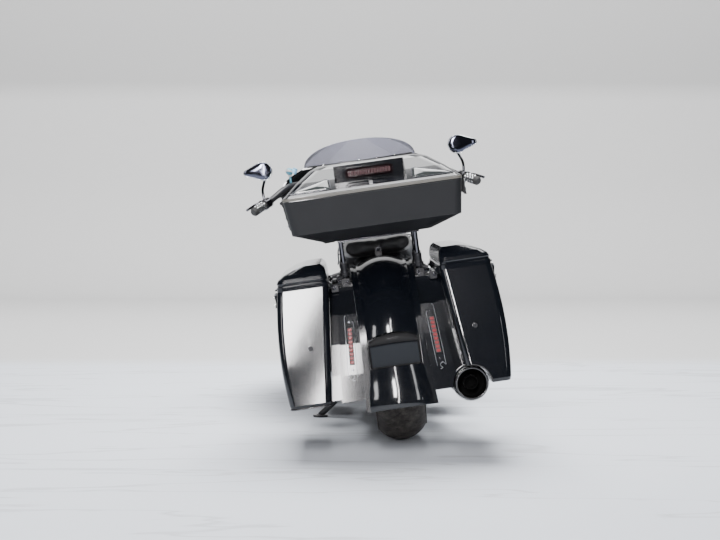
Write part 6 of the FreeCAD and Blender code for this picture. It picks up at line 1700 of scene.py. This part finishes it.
class CRUISER_OT_suspension(bpy.types.Operator):
    """Wind the shock springs, collar and bolt the shocks, and fit the fork seals and brake hoses"""
    bl_idname = "cruiser.suspension"
    bl_label = "Suspension and brakes"

    def execute(self, context):
        springs = Shape()
        caps = Shape()
        for side, _ in SIDES:
            low = mirror_x(SHOCK_LOW, side)
            high = mirror_x(SHOCK_HIGH, side)
            along = (high - low).normalized()
            across = along.orthogonal().normalized()
            springs.bar(coil(low + along * 0.04, along, across, 0.18, 12, 0.0205, 240), 0.0034, 7)
            for reach in (0.03, 0.224):
                caps.turn([(reach, 0.018), (reach, 0.0235), (reach + 0.008, 0.0235), (reach + 0.008, 0.018)],
                    low, along, 28)
            for end in (SHOCK_LOW, SHOCK_HIGH):
                caps.bolt(mirror_x((0.1965, end.y, end.z), side), (side, 0, 0), 0.0075, 0.006)
        springs.make("shock_springs", black_chrome())
        caps.make("shock_collars_and_bolts", chrome())
        self.fork_and_hoses()
        return {"FINISHED"}

    def fork_and_hoses(self):
        """Seals and rings on the fork, caliper bolts and the hoses down to the calipers."""
        seals = Shape()
        bright = Shape()
        hoses = Shape()
        for side, _ in SIDES:
            foot = on_fork(side * 0.115, -0.02, 0.0)
            seals.turn([(0.694, 0.0245), (0.694, 0.031), (0.7, 0.031), (0.704, 0.0275), (0.708, 0.0275),
                (0.71, 0.0247)], foot, FORK_LINE, 32)
            bright.turn([(0.66, 0.0345), (0.661, 0.0352), (0.665, 0.0352), (0.666, 0.0345)], foot, FORK_LINE,
                40, ends=False)
            for lift in (-0.026, 0.026):
                bright.bolt(Vector((side * 0.0895, FRONT_AXLE.y - 0.1, 0.382 + lift)), (side, 0, 0), 0.0062,
                    0.006)
            bright.bolt(Vector((side * 0.0895, FRONT_AXLE.y - 0.142, 0.382)), (side, 0, 0), 0.0048, 0.006)
            start = Vector((side * 0.082, FRONT_AXLE.y - 0.14, 0.428))
            path = smooth_path([start, start + Vector((side * 0.012, -0.006, 0.03)),
                on_fork(side * 0.152, -0.026, 0.56), on_fork(side * 0.151, -0.012, 0.68),
                on_fork(side * 0.14, 0.018, 0.76), on_fork(side * 0.09, 0.036, 0.825)], 46)
            hoses.bar(path, 0.0038, 10)
            bright.turn([(0, 0.0058), (0.014, 0.0058), (0.016, 0.0042)], start - Vector((0, 0, 0.003)),
                (0.2 * side, -0.1, 1), 12)
            bright.bar([on_fork(side * 0.146, -0.018, 0.62), on_fork(side * 0.156, -0.03, 0.62)], 0.003, 8)
        seals.make("fork_seals", soft_rubber(), "steering")
        hoses.make("brake_hoses", soft_rubber(), "steering")
        bright.make("fork_and_caliper_bolts", chrome(), "steering")


# Cockpit

DASH_FACE = WHEELBASE - 0.265


class CRUISER_OT_cockpit(bpy.types.Operator):
    """Add gauge dials and glasses, speaker grilles, switches, cables and the shield's trim"""
    bl_idname = "cruiser.cockpit"
    bl_label = "Cockpit details"

    def execute(self, context):
        marks = Shape()
        faces = Shape()
        rims = Shape()
        lenses = Shape()
        for x, z, radius, ticks in ((-0.062, 1.062, 0.042, 24), (0.062, 1.062, 0.042, 24),
                (-0.13, 1.08, 0.02, 12), (0.13, 1.08, 0.02, 12)):
            centre = Vector((x, DASH_FACE - 0.007, z))
            inner = radius - 0.0054
            faces.turn([(0, inner), (0.0006, inner), (0.0006, inner * 0.5), (0.0006, 0.0001)], centre, BACK,
                48, ends=False)
            for i in range(ticks + 1):
                angle = math.radians(-130 + 260 * i / ticks) + math.pi / 2
                out = spin(RIGHT, UP, angle)
                start = centre + Vector((0, -0.0009, 0)) + out * inner * 0.92
                length = inner * (0.18 if i % 4 == 0 else 0.1)
                marks.bar([start, start - out * length], 0.00055, 5)
            marks.bar([centre + Vector((0, -0.0018, 0)) - Vector((0.004, 0, 0.004)),
                centre + Vector((0, -0.0018, 0)) + Vector((inner * 0.55, 0, inner * 0.42))],
                [0.0016, 0.0004], 6)
            marks.turn([(0.001, 0.0034), (0.0034, 0.003)], centre, BACK, 16)
            rims.turn([(0.0035, inner + 0.0004), (0.005, radius - 0.0028), (0.0066, radius - 0.001),
                (0.0066, radius + 0.0012), (0.0044, radius + 0.002), (-0.006, radius + 0.0018)], centre,
                BACK, 56, ends=False)
            lenses.turn([(0.0034, inner), (0.0042, inner * 0.6), (0.0045, 0.0005)], centre, BACK, 40)
        faces.make("gauge_faces", moulded_black(), "steering")
        marks.make("gauge_marks", dial_white(), "steering")
        rims.make("gauge_rims", chrome(), "steering", sharp=50)
        lenses.make("gauge_glasses", clear("gauge_glass", (0.9, 0.92, 0.94), rough=0.02), "steering")
        self.speakers()
        self.switches_and_cables()
        self.shield_trim()
        return {"FINISHED"}

    def speakers(self):
        """Round grilles with ribs and bright rings."""
        grilles = Shape()
        rings = Shape()
        for side, _ in SIDES:
            centre = Vector((side * 0.205, DASH_FACE - 0.007, 1.04))
            grilles.turn([(0.0008, 0.043), (0.0022, 0.0415), (0.0036, 0.026), (0.0044, 0.0001)], centre,
                BACK, 48, ends=False)
            for row in range(1, 6):
                radius = 0.0072 * row
                dome = AHEAD * (-0.0044 + 0.003 * (radius / 0.043) ** 2)
                line = [centre + dome + spin(RIGHT, UP, FULL_TURN * i / 40) * radius for i in range(42)]
                grilles.bar(line, 0.0011, 6, ends=False)
            for i in range(18):
                angle = FULL_TURN * i / 18
                out = spin(RIGHT, UP, angle)
                grilles.bar([centre + out * 0.008 + Vector((0, -0.0047, 0)), centre + out * 0.041
                    + Vector((0, -0.0027, 0))], 0.0008, 5)
            rings.turn([(0.004, 0.0425), (0.0062, 0.045), (0.0062, 0.0475), (0.003, 0.0492),
                (-0.006, 0.049)], centre, BACK, 60, ends=False)
        grilles.make("speaker_grilles", moulded_black(), "steering", sharp=60)
        rings.make("speaker_rings", chrome(), "steering")

    def switches_and_cables(self):
        """Switch buttons on the housings, reservoir caps and the cables that run in to the head."""
        buttons = Shape()
        caps = Shape()
        cables = Shape()
        for side, _ in SIDES:
            end, inward = grip_axis(side)
            centre = end + inward * 0.106
            back = Vector((0, -1, 0.25)).normalized()
            for step, lift in ((-0.008, 0.006), (0.004, 0.006), (0.01, -0.006), (-0.004, -0.009)):
                place = centre + inward * step + back * 0.0232 + Vector((0, 0, lift))
                buttons.pad(0.0046, 0.0036, 0.0014, place, 0.0036, 0.001, across=(side, 0, 0),
                    up=(0, 0, side), steps=2)
            for reach in (-0.019, 0.017):
                caps.turn([(reach - 0.002, 0.0243), (reach, 0.0252), (reach + 0.002, 0.0243)], centre,
                    inward, 32, ends=False)
            start = centre + inward * 0.01 + Vector((0, 0.02, -0.004))
            route = [start, start + inward * 0.06 + Vector((0, 0.02, 0.012)),
                Vector((side * 0.3, WHEELBASE - 0.44, 1.028)), Vector((side * 0.2, WHEELBASE - 0.33, 1.02)),
                Vector((side * 0.11, WHEELBASE - 0.325, 0.985)),
                Vector((side * 0.07, WHEELBASE - 0.35, 0.93))]
            cables.bar(smooth_path(route, 48), 0.004, 9)
            lower = [p + Vector((0, -0.01, -0.012)) for p in route]
            cables.bar(smooth_path(lower, 48), 0.003, 9)
        buttons.make("switch_buttons", moulded_black(), "steering")
        caps.make("switch_housing_seams", black_chrome(), "steering")
        cables.make("bar_cables", soft_rubber(), "steering")

    def shield_trim(self):
        """The rubber bead along the windshield's foot and its screws."""
        bead = Shape()
        screws = Shape()
        line = []
        for i in range(41):
            share = 2 * i / 40 - 1
            line.append(Vector((0.246 * share, WHEELBASE - 0.386 + 0.147
                * math.cos(share * math.pi / 2) ** 0.9, 1.1305)))
        bead.bar(line, 0.0036, 8)
        for share in (-0.7, -0.35, 0.0, 0.35, 0.7):
            i = int(round((share + 1) * 20))
            screws.bolt(line[i] + Vector((0, -0.003, 0.006)), (0, -1, 0.3), 0.004, 0.003)
        bead.make("shield_foot_bead", soft_rubber(), "steering")
        screws.make("shield_screws", chrome(), "steering")


SHIELD_LEVELS = ((1.128, 0.262, WHEELBASE - 0.335, WHEELBASE - 0.23),
    (1.18, 0.205, WHEELBASE - 0.363, WHEELBASE - 0.263),
    (1.228, 0.105, WHEELBASE - 0.349, WHEELBASE - 0.299))


def shield_level(share):
    """Height, half width, side place and middle place of the shield, a share of the way up."""
    (z0, *low), (z1, *mid), (z2, *top) = SHIELD_LEVELS
    z = z0 + (z2 - z0) * share
    weights = ((z - z1) * (z - z2) / ((z0 - z1) * (z0 - z2)), (z - z0) * (z - z2) / ((z1 - z0) * (z1 - z2)),
        (z - z0) * (z - z1) / ((z2 - z0) * (z2 - z1)))
    return [z] + [sum(w * level[i] for w, level in zip(weights, (low, mid, top))) for i in range(3)]


SHIELD_RISE = 0.1035
SHIELD_POINTS = 49


def shield_arc(turn, shrink):
    """Points of one bowed level of the shield's dome, from 0 at its foot to a quarter turn at its top."""
    rise = SHIELD_RISE * math.sin(turn)
    _, half, side_y, front_y = shield_level(min(1.0, rise / 0.1))
    front_y -= shrink * 1.6
    depth = front_y - side_y
    radius = (half * half + depth * depth) / (2 * depth)
    reach = (SHIELD_LEVELS[0][1] - shrink) * math.cos(turn)
    sweep = math.asin(min(1.0, reach / radius))
    points = []
    for i in range(SHIELD_POINTS):
        angle = sweep * (2 * i / (SHIELD_POINTS - 1) - 1)
        across, back = radius * math.sin(angle), radius * math.cos(angle)
        points.append(Vector((across, front_y - radius + back, SHIELD_LEVELS[0][0] + rise)))
    return points


class CRUISER_OT_shield(bpy.types.Operator):
    """Replace the windshield by a finely curved one with a rolled upper edge"""
    bl_idname = "cruiser.shield"
    bl_label = "Windshield"

    def execute(self, context):
        shield = Shape()
        rings = []
        turns = [1.5 * row / 24 for row in range(25)]
        for turn in turns:
            rings.append(shield_arc(turn, 0.0) + shield_arc(turn, 0.003)[::-1])
        shield.loft(rings)
        glass = shield.make("windshield_bubble", tinted_shield(), "steering", sharp=50)
        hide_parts("windshield")
        edge = Shape()
        left = [shield_arc(turn, 0.0012)[0] for turn in turns]
        right = [shield_arc(turn, 0.0012)[-1] for turn in turns[::-1]]
        edge.bar(left + right, 0.0022, 8)
        edge.make("windshield_edge", clear("shield_edge", (0.55, 0.55, 0.62), rough=0.08, alpha=0.9),
            "steering")
        return {"FINISHED"}


class CRUISER_OT_headlight(bpy.types.Operator):
    """Fit the headlight's bright ring, lens, reflector and inner lamps"""
    bl_idname = "cruiser.headlight"
    bl_label = "Headlight"

    def execute(self, context):
        centre = Vector((0, WHEELBASE - 0.185, 0.93))
        ring = Shape()
        ring.turn([(0.096, 0.0952), (0.104, 0.0985), (0.114, 0.0975), (0.1205, 0.0915), (0.1215, 0.086),
            (0.119, 0.08), (0.1185, 0.062)], centre, AHEAD, 72, ends=False)
        ring.make("headlight_ring", chrome(), "steering", sharp=60)
        bowls = Shape()
        for x, z in ((-0.034, 0.014), (0.034, 0.014), (0.0, -0.034)):
            bowls.turn([(0.1214, 0.0265), (0.122, 0.024), (0.1214, 0.018), (0.1212, 0.008),
                (0.1225, 0.0001)], centre + Vector((x, 0, z)), AHEAD, 36, ends=False)
        bowls.make("headlight_lamps", chrome(), "steering")
        glass = Shape()
        for back in (0.0, 0.0015):
            profile = [(0.1205 - back, 0.0845), (0.127 - back, 0.07), (0.131 - back, 0.045),
                (0.133 - back, 0.0001)]
            glass.turn(profile, centre, AHEAD, 64, ends=False)
        glass.make("headlight_glass", clear("headlight_glass", (0.93, 0.95, 0.96), rough=0.02), "steering")
        return {"FINISHED"}


class CRUISER_OT_accessory(bpy.types.Operator):
    """Finish the small ball-headed accessory with its collar, ring and pale blue cylinder, and a painted
    highlight spot on its ball
    """
    bl_idname = "cruiser.accessory"
    bl_label = "Bar accessory"

    def execute(self, context):
        base = Vector((-0.33, WHEELBASE - 0.475, 1.068))
        pale = finish("pale_blue_plastic", (0.24, 0.5, 0.78), rough=0.3, coat=0.5, grain=500.0, bump=0.02,
            tone=0.1)
        rod = Shape()
        start = base + Vector((0.016, 0, 0.04))
        along = Vector((0.014, 0, 0.022)).normalized()
        rod.turn([(0.002, 0.0112), (0.003, 0.0122), (0.02, 0.0122), (0.021, 0.0112), (0.023, 0.0108),
            (0.026, 0.0112), (0.028, 0.007)], start, along, 28)
        rod.make("accessory_cylinder", pale, "steering")
        trims_and_highlight = Shape()
        trims_and_highlight.turn([(0.028, 0.007), (0.036, 0.0085), (0.038, 0.006)], base, UP, 20)
        trims_and_highlight.turn([(-0.004, 0.0175), (0.0, 0.0182), (0.004, 0.0175)], base + Vector((0, 0, 0.052)),
            (0.3, 0.2, 1), 40, ends=False)
        # A small pale disc on the ball, facing the main light: a painted highlight.
        trims_and_highlight.turn([(0, 0.006), (0.0016, 0.005), (0.002, 0.0001)], base + Vector((-0.005, -0.0165, 0.058)),
            (-0.3, -1, 0.35), 16, ends=False)
        trims_and_highlight.make("accessory_trims_and_painted_highlight", dial_white(), "steering")
        return {"FINISHED"}


# Feet, tank, stand and guards

class CRUISER_OT_boards(bpy.types.Operator):
    """Lay ribbed pads on the floorboards, wrap the pegs and pedal, and dress the guard's clamps"""
    bl_idname = "cruiser.boards"
    bl_label = "Boards and controls"

    def execute(self, context):
        pads = Shape()
        edges = Shape()
        for side, _ in SIDES:
            middle = Vector((side * 0.247, 0.805, 0.24))
            pads.pad(0.046, 0.148, 0.022, middle, 0.003, 0.0012, up=AHEAD, steps=5)
            for i in range(11):
                y = 0.68 + 0.25 * i / 10
                pads.pad(0.038, 0.0055, 0.003, (middle.x, y, 0.243), 0.003, 0.0012, up=AHEAD)
            ring = [Vector((middle.x + a, middle.y + b, 0.2335)) for a, b in rounded_outline(0.0535, 0.1555,
                0.03, 8)]
            edges.bar(ring + ring[:2], 0.0022, 8, ends=False)
            small = Vector((side * 0.252, 0.405, 0.342))
            pads.pad(0.032, 0.068, 0.018, small, 0.003, 0.0012, up=AHEAD, steps=5)
            for i in range(6):
                pads.pad(0.026, 0.005, 0.003, (small.x, 0.355 + 0.1 * i / 5, 0.345), 0.0026, 0.001, up=AHEAD)
            ring = [Vector((small.x + a, small.y + b, 0.336)) for a, b in rounded_outline(0.0385, 0.0755,
                0.024, 8)]
            edges.bar(ring + ring[:2], 0.002, 8, ends=False)
            guard = [Vector((side * 0.3405, 1.1515, 0.425)), Vector((side * 0.35, 1.13, 0.35))]
            along = (guard[1] - guard[0]).normalized()
            edges.turn([(0.01, 0.014), (0.011, 0.0165), (0.022, 0.0165), (0.023, 0.014)], guard[0], along,
                28)
            edges.bolt(guard[0] + along * 0.0165 + Vector((side * 0.016, 0, 0)), (side, 0, 0), 0.0045, 0.004)
        pads.make("floorboard_pads", soft_rubber())
        edges.make("floorboard_edges", chrome())
        sleeve = Shape()
        sleeve.turn([(0, 0.0112), (0.001, 0.0128), (0.006, 0.0128), (0.007, 0.0118), (0.01, 0.0128),
            (0.015, 0.0128), (0.016, 0.0118), (0.019, 0.0128), (0.024, 0.0128), (0.025, 0.0112)],
            Vector((-0.264, 0.99, 0.292)), LEFT, 24)
        for i in range(4):
            sleeve.pad(0.026, 0.004, 0.002, (0.258, 0.976 + 0.0125 * i, 0.302), 0.003, 0.001, up=AHEAD,
                steps=2)
        sleeve.make("pedal_rubbers", soft_rubber())
        return {"FINISHED"}


def tank_place(share):
    return 0.65 + share * (WHEELBASE - 0.363 - 0.65)


class CRUISER_OT_tank(bpy.types.Operator):
    """Fit the tank's filler cap, the console screws, and the stand's spring and foot ribs"""
    bl_idname = "cruiser.tank"
    bl_label = "Tank and stand details"

    def execute(self, context):
        cap = Shape()
        y = tank_place(0.6)
        cap.turn([(0, 0.0285), (0.004, 0.029), (0.007, 0.0265), (0.0085, 0.022), (0.0075, 0.02),
            (0.0085, 0.0001)], (0, y, 0.9268), UP, 48, ends=False)
        for i in range(20):
            angle = FULL_TURN * i / 20
            out = Vector((math.cos(angle), math.sin(angle), 0))
            cap.bar([Vector((0, y, 0.9285)) + out * 0.029, Vector((0, y, 0.933)) + out * 0.0272], 0.0016, 6)
        cap.make("filler_cap", chrome())
        screws = Shape()
        for share, z in ((0.3, 0.9015), (0.46, 0.9205), (0.76, 0.926)):
            screws.bolt((0, tank_place(share), z), UP, 0.0045, 0.003)
        screws.make("console_screws", chrome())
        self.stand()
        return {"FINISHED"}

    def stand(self):
        """The stand's return spring with its collars, and the foot's ribs."""
        pivot = Vector((-0.178, 0.585, 0.165))
        lean_normal = Vector((math.sin(LEAN), 0, math.cos(LEAN)))
        sole = Vector((-0.335 * math.cos(LEAN), 0.625, 0.335 * math.sin(LEAN) - 0.00107))
        leg = (sole - pivot).normalized()
        start = pivot + leg * 0.04
        across = leg.cross(AHEAD).normalized()
        spring = Shape()
        spring.bar(coil(start, leg, across, 0.05, 14, 0.0155, 200), 0.0013, 6)
        for reach in (0.036, 0.092):
            spring.turn([(reach, 0.013), (reach, 0.016), (reach + 0.003, 0.016), (reach + 0.003, 0.013)],
                pivot, leg, 24)
        spring.make("stand_spring", turned_steel(), "side_stand")
        tread = Shape()
        place = sole + lean_normal * 0.009
        for i in range(5):
            tread.pad(0.018 - 0.003 * abs(i - 2), 0.0016, 0.001, place + Vector((0, 0.01 * (i - 2), 0)),
                0.0014, 0.0005, across=(math.cos(LEAN), 0, -math.sin(LEAN)), up=AHEAD, steps=2)
        tread.make("stand_foot_ribs", black_metal(), "side_stand")


SETTINGS = (("cruiser_paint", CRUISER_PG_paint), ("cruiser_seat", CRUISER_PG_seat),
    ("cruiser_tyres", CRUISER_PG_tyres), ("cruiser_lamps", CRUISER_PG_lamps),
    ("cruiser_stage", CRUISER_PG_stage))
OPERATORS = [CRUISER_OT_stage, CRUISER_OT_finishes, CRUISER_OT_tyres, CRUISER_OT_seat, CRUISER_OT_lamps,
    CRUISER_OT_plate, CRUISER_OT_case_trim, CRUISER_OT_docking, CRUISER_OT_exhaust, CRUISER_OT_bags,
    CRUISER_OT_engine, CRUISER_OT_bar, CRUISER_OT_wheels, CRUISER_OT_suspension, CRUISER_OT_cockpit,
    CRUISER_OT_shield, CRUISER_OT_headlight, CRUISER_OT_accessory, CRUISER_OT_boards, CRUISER_OT_tank]


class CRUISER_PT_panel(bpy.types.Panel):
    """Lists the pieces that can be added to the machine"""
    bl_label = "Cruiser"
    bl_idname = "CRUISER_PT_panel"
    bl_space_type = "VIEW_3D"
    bl_region_type = "UI"
    bl_category = "Cruiser"

    def draw(self, context):
        for name, group in SETTINGS:
            settings = getattr(context.scene, name)
            for label in group.__annotations__:
                self.layout.prop(settings, label)
        for operator in OPERATORS:
            self.layout.operator(operator.bl_idname)


def register():
    for name, group in SETTINGS:
        bpy.utils.register_class(group)
        setattr(bpy.types.Scene, name, PointerProperty(type=group))
    for operator in OPERATORS:
        bpy.utils.register_class(operator)
    bpy.utils.register_class(CRUISER_PT_panel)


def unregister():
    bpy.utils.unregister_class(CRUISER_PT_panel)
    for operator in reversed(OPERATORS):
        bpy.utils.unregister_class(operator)
    for name, group in reversed(SETTINGS):
        delattr(bpy.types.Scene, name)
        bpy.utils.unregister_class(group)


def main():
    register()
    for operator in OPERATORS:
        group, call = operator.bl_idname.split(".")
        getattr(getattr(bpy.ops, group), call)()


if __name__ == "__main__":
    main()
